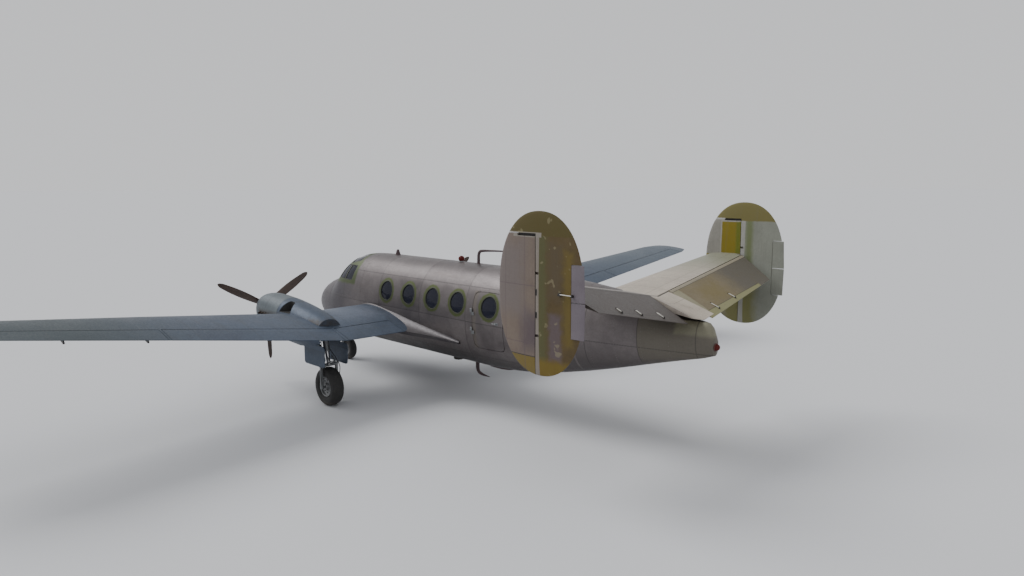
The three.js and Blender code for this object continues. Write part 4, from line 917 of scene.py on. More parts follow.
def circleOutline(x, z, radius):
    # A window's circle in side view
    angle = fullTurn(64)
    return np.stack([x + radius * np.cos(angle), z + radius * np.sin(angle)], 1)


def doorOutline(margin):
    # The doorway's outline in side view, grown by the margin
    front, rear = doorway["front"] + margin, doorway["rear"] - margin
    bottom, top = doorway["bottom"] - margin, doorway["top"] + margin
    return roundCorners([(front, bottom), (front, top), (rear, top), (rear, bottom)], doorway["corner"])


def doorPrism(margin):
    return prism(doorOutline(margin), "y", doorway["from"], doorway["to"], doorway["flare"])


def windowPrism(x, side):
    low, high = (0.4, 1.2) if side > 0 else (-1.2, -0.4)
    return prism(circleOutline(x, cabinWindow["z"], cabinWindow["radius"]), "y", low, high)


def discGrid(x, z, radii, side, lift, steps=64):
    # Rings of points about a window's middle, laid on the skin and raised by the lift at each ring
    angle = fullTurn(steps)[None, :]
    radii = np.asarray(radii, float)[:, None]
    across, up = x + radii * np.cos(angle), z + radii * np.sin(angle)
    return np.stack([across, skinY(across, up, side, np.asarray(lift, float)[:, None]), up], -1)


def windowPieces(x, side, name, body):
    z, radius, inset = cabinWindow["z"], cabinWindow["radius"], cabinWindow["glassInset"]
    # The flange: a flat ring with rounded edges on the skin, and its lip down into the opening
    flange = cabinWindow["flange"]
    radii = radius + np.array([-0.004, -0.004, 0.0, 0.006, flange, flange + 0.002])
    lifts = np.array([-0.030, 0.001, 0.0035, 0.0035, 0.0025, 0.0002])
    top = discGrid(x, z, radii, side, lifts)
    under = discGrid(x, z, radii + [0.003, 0.003, 0.003, 0.001, 0, 0], side,
                     lifts - [0, 0.004, 0.0045, 0.0045, 0.0035, 0.002])
    ring = shell(top, under, wrap=True)
    middles = discGrid(x, z, [radius + flange * 0.6], side, [0.0032], cabinWindow["screws"])[0]
    add(f"{name}_frame", [ring, scattered(screwHead, middles, [0, side, 0])], "windowPrimer", body)
    # The pane: slightly bulged glass in front of the wall's middle
    radii = (radius - 0.0045) * np.linspace(1, 0.02, 10)
    bulge = 0.006 * (1 - (radii / radius) ** 2) - inset
    front, back = discGrid(x, z, radii, side, bulge), discGrid(x, z, radii, side, bulge - 0.006)
    add(f"{name}_glass", [loft(np.concatenate([front[::-1], back]))], "darkGlass", body)


def domeHead(radius, height, sides=8):
    # A small fastener: a low dome on its own foot
    profile = [(0.0, -0.0008), (radius, -0.0008), (radius * 0.75, height * 0.75), (0.0, height)]
    return lathePoles(profile, sides)


def lathePoles(profile, sides):
    # A profile turned about z whose first and last points are single points on the axis
    ring = np.asarray(profile[1:-1], float)
    angle = fullTurn(sides)
    rings = np.stack([ring[:, :1] * np.cos(angle), ring[:, :1] * np.sin(angle),
                      np.broadcast_to(ring[:, 1:], (len(ring), sides))], -1)
    points = np.concatenate([rings.reshape(-1, 3), [[0, 0, profile[0][1]], [0, 0, profile[-1][1]]]])
    here = np.arange(sides)
    beside, last = (here + 1) % sides, (len(ring) - 1) * sides
    foot, top = len(points) - 2, len(points) - 1
    caps = [np.stack([beside, here, np.full(sides, foot)], 1),
            np.stack([last + here, last + beside, np.full(sides, top)], 1)]
    return outward(points, [gridFaces(len(ring), sides, True), *caps])


screwHead = domeHead(0.0055, 0.0018, 8)
rivetHead = domeHead(0.0048, 0.0013, 5)


def buildFuselage():
    # Skins laid over the side, roof and belly panels, their openings cut, and the two closed ends
    f, seam = fuselage, fuselage["seam"]
    front, rear, nose = f["cockpitJoint"] - f["gap"], f["tailJoint"] + f["gap"], f["noseJoint"]
    metal = materials["bareMetal"]
    side = (0, 1, f["floorTop"], seam), (0, 1, f["sideTop"], -seam)
    roof = (0, 1, f["sideTop"], seam), (np.pi, -1, f["sideTop"], -seam)
    under = (np.pi, -1, f["floorTop"], seam), (2 * np.pi, 1, f["floorTop"], -seam)
    for way, hand in hands:
        panel = skinPatch(front, rear, side, f["wall"], columns=56)
        piece = makeMesh(f"cabin_side_{hand}_skin", [panel if way > 0 else mirrored(panel)], metal)
        xs = cabinWindow["xs"] if way < 0 else cabinWindow["xs"][:-1]
        carve(piece, differences([[windowPrism(x, way) for x in xs]] + ([doorPrism(0)] if way > 0 else [])))
        place(piece, "airframe", f"cabin_side_{hand}")
        for k, x in enumerate(xs):
            windowPieces(x, way, f"cabin_window_{hand}_{k + 1}", "airframe")
    door = skinPatch(doorway["front"] + 0.12, doorway["rear"] - 0.12, side, f["wall"], columns=56)
    piece = makeMesh("entrance_door_skin", [door], metal)
    carve(piece, [(doorPrism(-doorway["clearance"]), "INTERSECT"),
                  (windowPrism(doorway["window"], 1), "DIFFERENCE")])
    place(piece, "entrance_door", "entrance_door")
    windowPieces(doorway["window"], 1, "door_window", "entrance_door")
    add("cabin_roof_skin", [skinPatch(front, rear, roof, f["wall"], columns=80)], "bareMetal",
        node="cabin_roof")
    face = skinPoint(nose - 0.03, fullTurn(128), f["wall"] + 0.002)
    add("nose_bulkhead", [loft([face, face + [0.02, 0, 0]])], "interior")
    add("belly_skin", [skinPatch(nose - f["gap"], rear, under, f["wall"], columns=76)], "bareMetal",
        node="belly")
    piece = makeMesh("nose_cone_skin", [solidRings(6.2499, nose, 0.02, 160)], materials["nosePaint"])
    rear, front, half, top = (noseBay[key] for key in ("rear", "front", "halfWidth", "top"))
    carve(piece, differences([block((rear, -half, 0.8), (front, half, top), "z", 0.02, 0.002)]))
    place(piece, "airframe", "nose_cone")
    x, angle = stations(f["tailJoint"] - f["gap"], -6.17), fullTurn(128)[None, :]
    tail = shell(skinPoint(x, angle), skinPoint(x, angle, f["tailWall"]), wrap=True)
    add("tail_section_skin", [tail], "tailMetal", node="tail_section")


def solidRings(front, rear, spacing, columns):
    # Full rings of the fuselage, closer together where it rounds off, closed at both ends
    share = np.linspace(0, 1, int((front - rear) / spacing) + 1) ** 1.6
    x = (front - (front - rear) * share)[:, None]
    angle = fullTurn(columns)[None, :]
    return loft(skinPoint(x, angle))


def buildCockpit():
    # The glazed section: its skin with the panes cut out, then the panes, their rubbers and bars
    f, kinds = fuselage, {"side": "side_pane", "front": "windscreen", "brow": "brow_pane"}

    def patch(wall, rise, spacing, columns):
        edges = (0, 1, f["floorTop"], f["seam"] + rise), (np.pi, -1, f["floorTop"], -f["seam"] - rise)
        return skinPatch(f["noseJoint"] - f["gap"], f["cockpitJoint"] + f["gap"], edges, wall, spacing,
                         columns)

    piece = makeMesh("cockpit_skin", [patch(f["wall"], 0, 0.03, 136)], materials["bareMetal"])
    carve(piece, differences([panePrism(kind, side, 0.0) for side in (1, -1) for kind in kinds]))
    place(piece, "airframe", "cockpit_section")
    glass = sunkPatch(patch(panes["thickness"], 0.3, 0.03, 120), panes["inset"])
    rim = sunkPatch(patch(0.020, 0.3, 0.02, 160), 0.0015)
    rims, bars = [], []
    for side, hand in hands:
        for kind, node in kinds.items():
            pane = makeMesh(f"{node}_{hand}_glass", [glass], materials["darkGlass"])
            carve(pane, [(panePrism(kind, side, 0.001), "INTERSECT")])
            place(pane, "airframe", f"{node}_{hand}")
            rims.append(carved(rim, [(panePrism(kind, side, 0.0005), "INTERSECT"),
                                     (panePrism(kind, side, 0.017), "DIFFERENCE")]))
        ends, half = np.array(panes["bar"]), np.array([panes["barWidth"] / 2, 0])
        outline = [ends[0] + half, ends[1] + half, ends[1] - half, ends[0] - half]
        reach = (0.3, 1.2) if side > 0 else (-1.2, -0.3)
        bars.append(carved(rim, [(prism(outline, "y", *reach), "INTERSECT")]))
    add("pane_rubbers", rims, "hoseRubber")
    add("side_pane_bars", bars, "windowPrimer")


def sunkPatch(shape, depth):
    # A patch of skin moved towards the middle of its own section
    points, faces = shape
    bottom, top, _, _ = sectionAt(points[:, 0])
    away = points - np.stack([points[:, 0], 0 * top, (bottom + top) / 2], -1)
    return points - unit(away) * depth, faces


def panePrism(kind, side, shrink):
    # The opening of a windscreen pane, grown smaller, drawn through the skin
    outline = np.array(panes[kind])
    middle = outline.mean(0)
    outline = outline - np.sign(outline - middle) * shrink
    axis = {"side": "y", "front": "x", "brow": "z"}[kind]
    if kind == "front":
        outline = outline * [side, 1]
    if kind == "brow":
        outline = outline * [1, side]
    low, high = {"side": (0.3, 1.2), "front": (4.3, 5.3), "brow": (2.7, 3.3)}[kind]
    if kind == "side" and side < 0:
        low, high = -high, -low
    return prism(roundCorners(outline, panes["corner"]), axis, low, high)


# Wings

# Sections from root to tip: y, leading edge x and z, trailing edge x and z, thickness ratio
wingSections = np.array([
    [0.300, 3.400, 1.770, 1.060, 1.535, 0.150], [2.750, 3.240, 1.795, 1.010, 1.575, 0.150],
    [6.400, 2.870, 2.225, 0.890, 2.150, 0.140], [9.750, 2.535, 2.600, 0.790, 2.665, 0.125],
    [10.130, 2.420, 2.640, 0.960, 2.705, 0.120], [10.300, 2.200, 2.665, 1.250, 2.712, 0.110],
    [10.340, 1.990, 2.680, 1.480, 2.710, 0.100], [10.345, 1.900, 2.690, 1.570, 2.710, 0.030]])
wingShape = {"camber": 0.02, "perSide": 44, "spanStep": 0.09, "tipFrom": 9.75}
wingSurfaces = {"aileron": {"inner": 6.46, "outer": 9.70, "hinge": 0.77},
                "flap_inner": {"inner": 1.24, "outer": 2.70, "hinge": 0.76},
                "flap_outer": {"inner": 2.80, "outer": 6.40, "hinge": 0.76}}
surfaceGap = 0.010  # between a wing or tail surface and what it hangs on
zoneReach = 1.0  # how far behind the hinge line a surface may reach

# Root fairing from front to rear: x, top z on the fuselage, outer edge y and z, lower z
filletSections = np.array([[3.640, 1.800, 0.868, 1.790, 1.765], [3.560, 1.850, 0.892, 1.800, 1.720],
                           [3.380, 1.945, 1.040, 1.820, 1.640], [2.900, 2.030, 1.230, 1.850, 1.560],
                           [1.950, 1.955, 1.255, 1.690, 1.500], [1.100, 1.800, 1.190, 1.560, 1.470],
                           [0.300, 1.650, 0.980, 1.510, 1.440], [-0.420, 1.490, 0.860, 1.455, 1.420]])


def halfThickness(t, thickness):
    # The four-digit aerofoil: a root and a polynomial of the share of the chord
    return 5 * thickness * (0.2969 * np.sqrt(t) - 0.126 * t - 0.3516 * t ** 2 + 0.2843 * t ** 3
                            - 0.1015 * t ** 4) + 0.0012


def chordSteps(count):
    # Steps from 0 to 1, closer together at both ends
    return (1 - np.cos(np.linspace(0, np.pi, count))) / 2


def aerofoil(thickness, camber, perSide):
    # From the trailing edge over the top to the nose and back below, the chord running from 0 to 1
    t = chordSteps(perSide)
    line, half = 4 * camber * t * (1 - t), halfThickness(t, thickness)
    return np.concatenate([np.stack([t, line + half], 1)[::-1], np.stack([t, line - half], 1)[1:]])


def wingAt(y):
    # Leading edge x and z, trailing edge x and z, and thickness ratio of the wing at y
    return columnsAt(wingSections, y, 5)


def wingPoint(y, share, top, lift=0.0):
    # A point of the wing's skin at a share of the chord, above or below, raised off it by the lift
    return sectionPoint(wingAt(y), y, share, np.where(top, 1.0, -1.0), lift)


def sectionPoint(section, y, share, sign, lift=0.0):
    # On the chord from the leading to the trailing edge, off it by the camber and half the thickness
    leadX, leadZ, trailX, trailZ, thickness = section
    chord = leadX - trailX
    height = 4 * wingShape["camber"] * share * (1 - share) + sign * halfThickness(share, thickness)
    x, z = leadX - share * chord, leadZ + (trailZ - leadZ) * share + height * chord + sign * lift
    return np.stack(np.broadcast_arrays(x, y, z), -1)


def wingRings(low, high):
    # One section at each step of the span, closer together where the tip rounds off
    tipFrom, tipTo = wingShape["tipFrom"], wingSections[-1, 0]
    y = np.arange(low, min(high, tipFrom), wingShape["spanStep"])
    tip = tipFrom + (tipTo - tipFrom) * np.sin(np.linspace(0, np.pi / 2, 16))
    y = np.append(y, tip if high > tipFrom else high)
    rows = np.array(wingAt(y))
    rows[:, y > tipFrom] = columnsAt(smoothTable(wingSections[3:], 400), y[y > tipFrom], 5)
    t = chordSteps(wingShape["perSide"])
    share = np.concatenate([t[::-1], t[1:]])
    sign = np.repeat([1, -1], [len(t), len(t) - 1])
    return sectionPoint(rows[..., None], y[:, None], share, sign)


def hingeEnd(section, y, share, thickness, camber):
    # The hinge's point and nose radius at one end: half way between the skins, a little ahead of the line
    leadX, leadZ, trailX, trailZ = section
    chord = leadX - trailX
    points = aerofoil(thickness, camber, 60)
    near = points[np.abs(points[:, 0] - share) < 0.03, 1]
    radius, middle = (near.max() - near.min()) / 2 * chord, (near.max() + near.min()) / 2
    return np.array([leadX - share * chord, y, leadZ + (trailZ - leadZ) * share + middle * chord]), radius


def wingHingeAt(y, share):
    # The wing's hinge point and nose radius at y, at a share of the chord
    *section, thickness = wingAt(y)
    return hingeEnd(section, y, share, thickness, wingShape["camber"])


def wingHinge(surface):
    # Both ends of a surface's hinge line
    values = wingSurfaces[surface]
    return [wingHingeAt(values[end], values["hinge"]) for end in ("inner", "outer")]


def hingeFrame(inner, outer):
    # Along the hinge line, straight back from it and up from it, each one unit long
    along = unit(outer[0] - inner[0])
    back = np.array([-1.0, 0, 0])
    back = unit(back - along * (back @ along))
    return along, back, np.cross(along, back)


def hingeZone(inner, outer, grow, cutBack=0.0):
    # What lies behind a hinge line, square at its ends, with a round nose about the line
    along, back, up = hingeFrame(inner, outer)
    length = np.linalg.norm(outer[0] - inner[0])
    plan = [(-grow, 0), (length + grow, 0), (length + grow - cutBack, zoneReach), (-grow, zoneReach)]
    rings = [[inner[0] + along * a + back * b + up * lift for a, b in plan] for lift in (-0.6, 0.6)]
    angle = fullTurn(48)[:, None]
    nose = [inner[0] + along * a + (radius + grow) * (back * np.cos(angle) + up * np.sin(angle))
            for a, radius in ((-grow, inner[1]), (length + grow, outer[1]))]
    return loft(rings), loft(nose)


def joined(shapes):
    return carved(shapes[0], [(shape, "UNION") for shape in shapes[1:]])


def keepZone(name, blank, zone, finishName):
    # The part of a blank inside a zone: what is behind the line, joined with the round nose
    return carve(makeMesh(name, [blank], materials[finishName]), [(joined(zone), "INTERSECT")])


fuselagePlug = {"front": 3.75, "rear": -0.60, "inset": 0.012}


def fuselageCore():
    # The fuselage where the wings pass through it, a little narrower
    p = fuselagePlug
    x = np.linspace(p["front"], p["rear"], int((p["front"] - p["rear"]) / 0.1) + 1)[:, None]
    return loft(skinPoint(x, fullTurn(192), p["inset"]))


def filletRings():
    # A curve from the fuselage to the outer edge at each station, closed by its root and its lower edge
    x, topZ, outerY, outerZ, lowZ = (column[:, None] for column in smoothTable(filletSections, 70).T)
    root, side = np.full_like(x, 0.62), 0.83
    start, end = np.stack([np.full_like(x, side), topZ], -1), np.stack([outerY, outerZ], -1)
    corner = np.stack([side + (outerY - side) * 0.12, topZ + (outerZ - topZ) * 0.88], -1)
    inside, outside = [np.stack([root, z], -1) for z in (lowZ, topZ)], np.stack([outerY - 0.015, lowZ], -1)
    flat = np.concatenate([*inside, bend(start, corner, end, 26), outside], 1)
    return np.concatenate([np.broadcast_to(x[..., None], (*flat.shape[:2], 1)), flat], -1)


def buildWings():
    # The left wing, its root fairing and its moving surfaces, then the same mirrored to the right
    gaps = {surface: differences(hingeZone(*wingHinge(surface), surfaceGap)) for surface in wingSurfaces}
    core = (fuselageCore(), "DIFFERENCE")
    wing = makeMesh("wing_left_skin", [loft(wingRings(0.62, wingSections[-1, 0]))], materials["wingPaint"])
    carve(wing, [core] + sum(gaps.values(), []))
    fairing = makeMesh("wing_fairing_left", [loft(filletRings())], materials["fairingMetal"])
    carve(fairing, [core] + gaps["flap_inner"])
    pieces = {"wing": wing, "fairing": fairing}
    for surface, ends in wingSurfaces.items():
        blank = loft(wingRings(ends["inner"] - 0.15, ends["outer"] + 0.15))
        pieces[surface] = keepZone(f"{surface}_left_skin", blank, hingeZone(*wingHinge(surface), 0.0),
                                   "wingPaint")
    for kind, made in pieces.items():
        for hand, part in (("left", made), ("right", mirrorPiece(made))):
            body = f"{kind}_{hand}" if kind in wingSurfaces else "airframe"
            place(part, body, None if kind == "fairing" else f"{kind}_{hand}")


# Tail surfaces

tailplaneShape = {"tipY": 3.086, "rootZ": 2.782, "tipZ": 3.356, "rootLead": -3.700, "tipLead": -4.150,
                  "rootTrail": -5.935, "tipTrail": -5.790, "thickness": 0.10, "hingeX": -5.004,
                  "perSide": 40, "centreDroop": 13}
elevatorShape = {"inner": 0.340, "outer": 2.952, "droop": 20, "cutBack": 0.420, "corner": 0.12}
finShape = {"y": 3.086, "front": -4.084, "rear": -5.826, "bottom": 1.975, "top": 4.495, "hingeX": -4.939,
            "thickness": 0.105, "hornZ": 4.157, "noseRadius": 0.051, "swing": 0.115, "perSide": 30}
rudderBracket = {"heights": (2.600, 3.560), "slot": 0.040, "slotDepth": 0.034, "arm": 0.016,
                 "halfWidth": 0.015, "reach": 0.090}


def tailplaneRow(share):
    # Leading edge x, height and trailing edge x at a share of the half span
    s = tailplaneShape
    return [s[f"root{key}"] + (s[f"tip{key}"] - s[f"root{key}"]) * share for key in ("Lead", "Z", "Trail")]


def tailplaneRings(side=1, low=0.0, high=1.0, steps=36):
    # Sections of one side of the tailplane from one share of the half span to another
    s = tailplaneShape
    section = aerofoil(s["thickness"], 0, s["perSide"])
    share = np.linspace(low, high, steps)[:, None]
    leadX, z, trailX = tailplaneRow(share)
    chord = leadX - trailX
    y = np.broadcast_to(side * s["tipY"] * share, (steps, len(section)))
    return np.stack([leadX - section[:, 0] * chord, y, z + section[:, 1] * chord], -1)


def tailplaneHinge(end):
    # The hinge's point and nose radius at the elevator's inner or outer end
    s, y = tailplaneShape, elevatorShape[end]
    leadX, z, trailX = tailplaneRow(y / s["tipY"])
    chord = leadX - trailX
    points = aerofoil(s["thickness"], 0, 60)
    near = points[np.abs(points[:, 0] - (leadX - s["hingeX"]) / chord) < 0.03, 1]
    return np.array([s["hingeX"], y, z]), near.max() * chord


def elevatorDrop(shape):
    # Turned down about the hinge line, as it hangs when parked
    inner, outer = tailplaneHinge("inner"), tailplaneHinge("outer")
    return turned(shape, hingeFrame(inner, outer)[0], math.radians(-elevatorShape["droop"]), inner[0])


def finChord(share):
    # Oval in side view: the chord follows a rounded power of the height
    reach = np.sqrt(1 - np.abs(share * 2 - 1) ** 2.4)
    return (finShape["front"] - finShape["rear"]) * np.maximum(0.05, reach ** 0.92)


def finRings(steps=72):
    # At each height an aerofoil as long as the oval is there
    s = finShape
    share = (1 - np.cos(np.linspace(0, np.pi, steps))) / 2
    chord = finChord(share)[:, None]
    section = aerofoil(s["thickness"] / (s["front"] - s["rear"]), 0, s["perSide"])
    x = (s["front"] + s["rear"]) / 2 + (0.5 - section[:, 0]) * chord
    y = s["y"] + section[:, 1] * chord
    z = np.broadcast_to((s["bottom"] + (s["top"] - s["bottom"]) * share)[:, None], x.shape)
    return np.stack([x, y, z], -1)


def finSkin(x, z, side):
    # The fin's or rudder's side at a place seen from the side
    s = finShape
    chord = finChord((z - s["bottom"]) / (s["top"] - s["bottom"]))
    share = np.clip(0.5 - (x - (s["front"] + s["rear"]) / 2) / chord, 0, 1)
    half = halfThickness(share, s["thickness"] / (s["front"] - s["rear"])) * chord
    return np.stack([x, s["y"] + side * half, z], -1)


def rudderZone(grow):
    # What is the rudder's: all behind the hinge line, the round nose about it, and the horn over the fin
    s = finShape
    low, high, y = s["bottom"] - 0.05, s["top"] + 0.05, s["y"]
    left, right, rear, front = y - 0.3, y + 0.3, s["rear"] - 0.2, s["front"] + 0.2
    behind = prism([(rear, left), (s["hingeX"], left), (s["hingeX"], right), (rear, right)], "z", low, high)
    radius, hornRear = s["noseRadius"] + grow, s["hingeX"] - 0.01
    nose = lathe([(radius, low), (radius, high)], (s["hingeX"], y, 0), "z", 48)
    corners = [(hornRear, left), (front, left), (front, right), (hornRear, right)]
    horn = prism(corners, "z", s["hornZ"] - grow, high)
    return behind, nose, horn


def bracketSlots():
    # The slots in the rudder's nose for its brackets
    b, x, y = rudderBracket, finShape["hingeX"], finShape["y"]
    depth, half = b["slotDepth"], b["slot"] / 2
    return [block((x - depth, y - 0.2, z - half), (x + 0.2, y + 0.2, z + half), "z", 0.004, 0.0005)
            for z in b["heights"]]


# The rudder's trim tab: its front, upper and lower edges, its rear edge a little behind the oval
rudderTab = {"front": -5.600, "low": 2.640, "high": 3.730, "split": 3.180, "rearHigh": -5.822,
             "rearMiddle": -5.850, "rearLow": -5.838, "halfThickness": 0.026}
hornSlotShape = {"front": -4.52, "rear": -4.90, "low": 4.112, "high": 4.150}


def tabPrism(grow):
    # The rudder tab's outline drawn through the rudder, widened by the growth
    t, y = rudderTab, finShape["y"]
    front, low, high, rear = t["front"] + grow, t["low"] - grow, t["high"] + grow, t["rearMiddle"] - 0.2
    return prism([(front, low), (front, high), (rear, high), (rear, low)], "y", y - 0.3, y + 0.3)


def hornSlot():
    # The slot through the fin under the rudder's horn
    h, y = hornSlotShape, finShape["y"]
    return block((h["rear"], y - 0.3, h["low"]), (h["front"], y + 0.3, h["high"]), "x", 0.008, 0.004)


def buildTabs():
    # Wedges: a round nose at the hinge, thinning to the rear edge, which bows a little
    t, y = rudderTab, finShape["y"]
    turn = np.linspace(-np.pi / 2, np.pi / 2, 9)
    for k, (low, high) in enumerate(((t["low"], t["split"] - 0.003), (t["split"] + 0.003, t["high"]))):
        z = np.linspace(low + 0.002, high - 0.002, 14)
        rear = np.interp(z, [t["low"], (t["low"] + t["high"]) / 2, t["high"]],
                         [t["rearLow"], t["rearMiddle"], t["rearHigh"]])
        rings = []
        noseX, noseY = t["front"] - 0.012 + 0.010 * np.cos(turn), y + t["halfThickness"] * np.sin(turn)
        nose = np.stack([noseX, noseY], 1)
        for height, edge in zip(z, rear):
            tip = np.array([[edge, y + 0.003], [edge - 0.002, y], [edge, y - 0.003]])
            outline = np.concatenate([nose, tip])
            rings.append(np.column_stack([outline, np.full(len(outline), height)]))
        wedge = loft(np.array(rings))
        for hand, shape, paint in (("left", wedge, "tabGrey"), ("right", mirrored(wedge), "tabPale")):
            add(f"rudder_tab_{hand}_{k + 1}", [shape], paint, f"rudder_{hand}")
    # A near-black plate in the slot under each rudder's horn: painted shade inside the slot
    h = hornSlotShape
    slotShadePlate = block((h["rear"] - 0.004, y - 0.010, h["low"] - 0.004),
                (h["front"] + 0.004, y + 0.010, h["high"] + 0.006), "x", 0.002, 0.001)
    bothSides("fin_slot_web", [slotShadePlate], "sootMetal")


def elevatorCorner():
    # What lies outside a quarter circle at the outer end of the trailing edge
    radius, y = elevatorShape["corner"], elevatorShape["outer"]
    _, _, x = tailplaneRow(y / tailplaneShape["tipY"])
    turn = np.linspace(np.pi, np.pi / 2, 12)
    arc = np.stack([x + radius * (1 + np.cos(turn)), y - radius * (1 - np.sin(turn))], 1)
    return prism([*arc, (x + radius, y + 0.1), (x - 0.1, y + 0.1), (x - 0.1, y - radius)], "z", 2.6, 3.8)


def buildTail():
    # Each surface is cut from the whole aerofoil by its hinge's zone, and the rest keeps a gap
    s, e, f = tailplaneShape, elevatorShape, finShape
    inner, outer = tailplaneHinge("inner"), tailplaneHinge("outer")
    whole = loft(np.concatenate([tailplaneRings(1)[::-1], tailplaneRings(-1)[1:]]))
    edge = e["inner"] - surfaceGap
    rear = prism([(s["hingeX"], edge), (-9, edge), (-9, 6), (s["hingeX"], 6)], "z", 2, 4)
    swing = lathe([(f["swing"], 1.9), (f["swing"], 4.6)], (f["hingeX"], f["y"], 0), "z")
    away = [*hingeZone(inner, outer, surfaceGap, e["cutBack"]), rear, swing]
    # Behind the hinge only the middle is left, and it bends down with the tail's upper line
    points, faces = carved(whole, differences([sided(side, shape) for side in (1, -1) for shape in away]))
    slope = math.tan(math.radians(s["centreDroop"]))
    points[:, 2] -= np.maximum(0, s["hingeX"] + 0.02 - points[:, 0]) * slope
    add("tailplane_skin", [(points, faces)], "tailPaint", node="tailplane")
    blank, zone = loft(tailplaneRings(1, 0.05, 1.0, 40)), hingeZone(inner, outer, 0.0, e["cutBack"])
    elevator = keepZone("blank", blank, zone, "elevatorRight")
    dropped = elevatorDrop(shapeAfter(elevator, differences([elevatorCorner()])))
    for side, hand in hands:
        name = f"elevator_{hand}"
        add(f"{name}_skin", [sided(side, dropped)], f"elevator{hand.title()}", name, name)
    blank = loft(finRings())
    rudder = keepZone("rudder_left_skin", blank, rudderZone(0), "rudderLeft")
    carve(rudder, differences([*bracketSlots(), tabPrism(0.004)]))
    fin = makeMesh("fin_left_skin", [blank], materials["finLeft"])
    carve(fin, differences([*rudderZone(surfaceGap), hornSlot()]))
    for part, kind, slot in ((fin, "fin", "beige_paint"), (rudder, "rudder", "primer")):
        for hand, made in (("left", part), ("right", mirrorPiece(part, f"{kind}Right"))):
            place(made, "airframe" if kind == "fin" else f"rudder_{hand}", f"{kind}_{hand}")
    buildTabs()


# Nacelles and propellers

# Sections from front to rear: x, centre z, half width, half height
nacelleSections = np.array([
    [4.480, 1.880, 0.300, 0.290], [4.460, 1.879, 0.330, 0.322], [4.400, 1.875, 0.370, 0.365],
    [4.150, 1.850, 0.405, 0.430], [3.700, 1.790, 0.420, 0.480], [3.200, 1.735, 0.425, 0.500],
    [2.700, 1.690, 0.425, 0.480], [2.200, 1.640, 0.400, 0.440], [1.800, 1.610, 0.340, 0.370],
    [1.500, 1.600, 0.250, 0.260]])
nacelleShape = {"y": 2.750, "joint": 3.330, "lip": 4.470, "wall": 0.025, "roundness": 2.2, "gap": 0.002,
                "roll": 0.012}
mainBay = {"rear": 1.42, "front": 2.70, "halfWidth": 0.27, "top": 1.56}
flapSweep = [(1.705, 2.10), (1.705, 1.53), (1.480, 1.425), (1.000, 0.900), (0.600, 0.900), (0.600, 2.10)]
gearDoorShape = {"edge": 0.285, "thickness": 0.016, "rear": 1.45, "front": 2.30, "bottom": 0.93, "top": 1.40}
propellerShape = {"x": 4.600, "z": 1.930, "radius": 1.350, "hubRadius": 0.115, "hubLength": 0.230,
                  "shaftRadius": 0.045, "shaftRear": 4.3803, "topBlade": 148, "blades": 3, "rings": 46,
                  "sides": 36, "rootChord": 0.090, "chordSwell": 0.115, "rootThick": 0.070,
                  "tipThick": 0.012, "rootPitch": 52, "tipPitch": 22, "bow": 0.06,
                  "dome": (0.095, 0.145), "boltCircle": 0.103, "bolts": 9, "boltSize": 0.007}

smoothNacelle = smoothTable(nacelleSections, 1500)[::-1]


def nacellePoint(x, angle, inset=0.0):
    # A superellipse about the nacelle's middle, as the fuselage's
    centre, halfWidth, halfHeight = columnsAt(smoothNacelle, x, 3)
    power = 2 / nacelleShape["roundness"]
    y = nacelleShape["y"] + (halfWidth - inset) * signedPower(np.cos(angle), power)
    z = centre + (halfHeight - inset) * signedPower(np.sin(angle), power)
    return np.stack(np.broadcast_arrays(x, y, z), -1)


def nacelleRings(front, rear, inset=0.0, spacing=0.03, columns=120):
    # Even steps along the nacelle
    x = np.linspace(front, rear, max(3, int((front - rear) / spacing) + 1))[:, None]
    return nacellePoint(x, fullTurn(columns)[None, :], inset)


def buildNacelles():
    # The nacelle with its bay cut, the cowling in front of it, and the gear doors
    n, d, b, y = nacelleShape, gearDoorShape, mainBay, nacelleShape["y"]
    whole = loft(nacelleRings(n["joint"] - n["gap"], 1.5))
    body = makeMesh("nacelle_left_skin", [whole], materials["nacellePaint"])
    left, right = y - b["halfWidth"], y + b["halfWidth"]
    bay = block((b["rear"], left, 0.7), (b["front"], right, b["top"]), "z", 0.03, 0.002)
    sweep = prism(flapSweep, "y", y - 0.6, y + 0.6)
    carve(body, differences([bay, sweep, outletPrism(0.0, airOutlet["floor"], 2.4)]))
    outline = roundCorners([(d["rear"] + 0.02, d["bottom"]), (d["front"], d["bottom"]),
                            (d["front"], d["top"]), (d["rear"], d["top"])], 0.07)
    middles, half = (y + d["edge"], y - d["edge"]), d["thickness"] / 2
    doors = [prism(outline, "y", middle - half, middle + half) for middle in middles]
    # The cowling: a wall whose front edge is rolled into a round lip
    rear = n["joint"] + n["gap"]
    outer, inner = (nacelleRings(n["lip"], rear, inset, 0.05) for inset in (0.0, n["wall"]))
    lipAngle = np.linspace(0, np.pi, 9)[:, None, None]
    roll = ((outer[0] + inner[0]) / 2 + (outer[0] - inner[0]) / 2 * np.cos(lipAngle)
            + np.array([n["roll"], 0, 0]) * np.sin(lipAngle))
    ring = makeMesh("cowling_left_skin", [loftOpen(np.concatenate([outer[::-1], roll[1:-1], inner]))],
                    materials["cowlPaint"])
    doorPiece = makeMesh("gear_doors_left", doors, materials["nacellePaint"])
    for part, node in ((body, "nacelle"), (ring, "cowling"), (doorPiece, None)):
        for hand, made in (("left", part), ("right", mirrorPiece(part))):
            place(made, "airframe", node and f"{node}_{hand}")


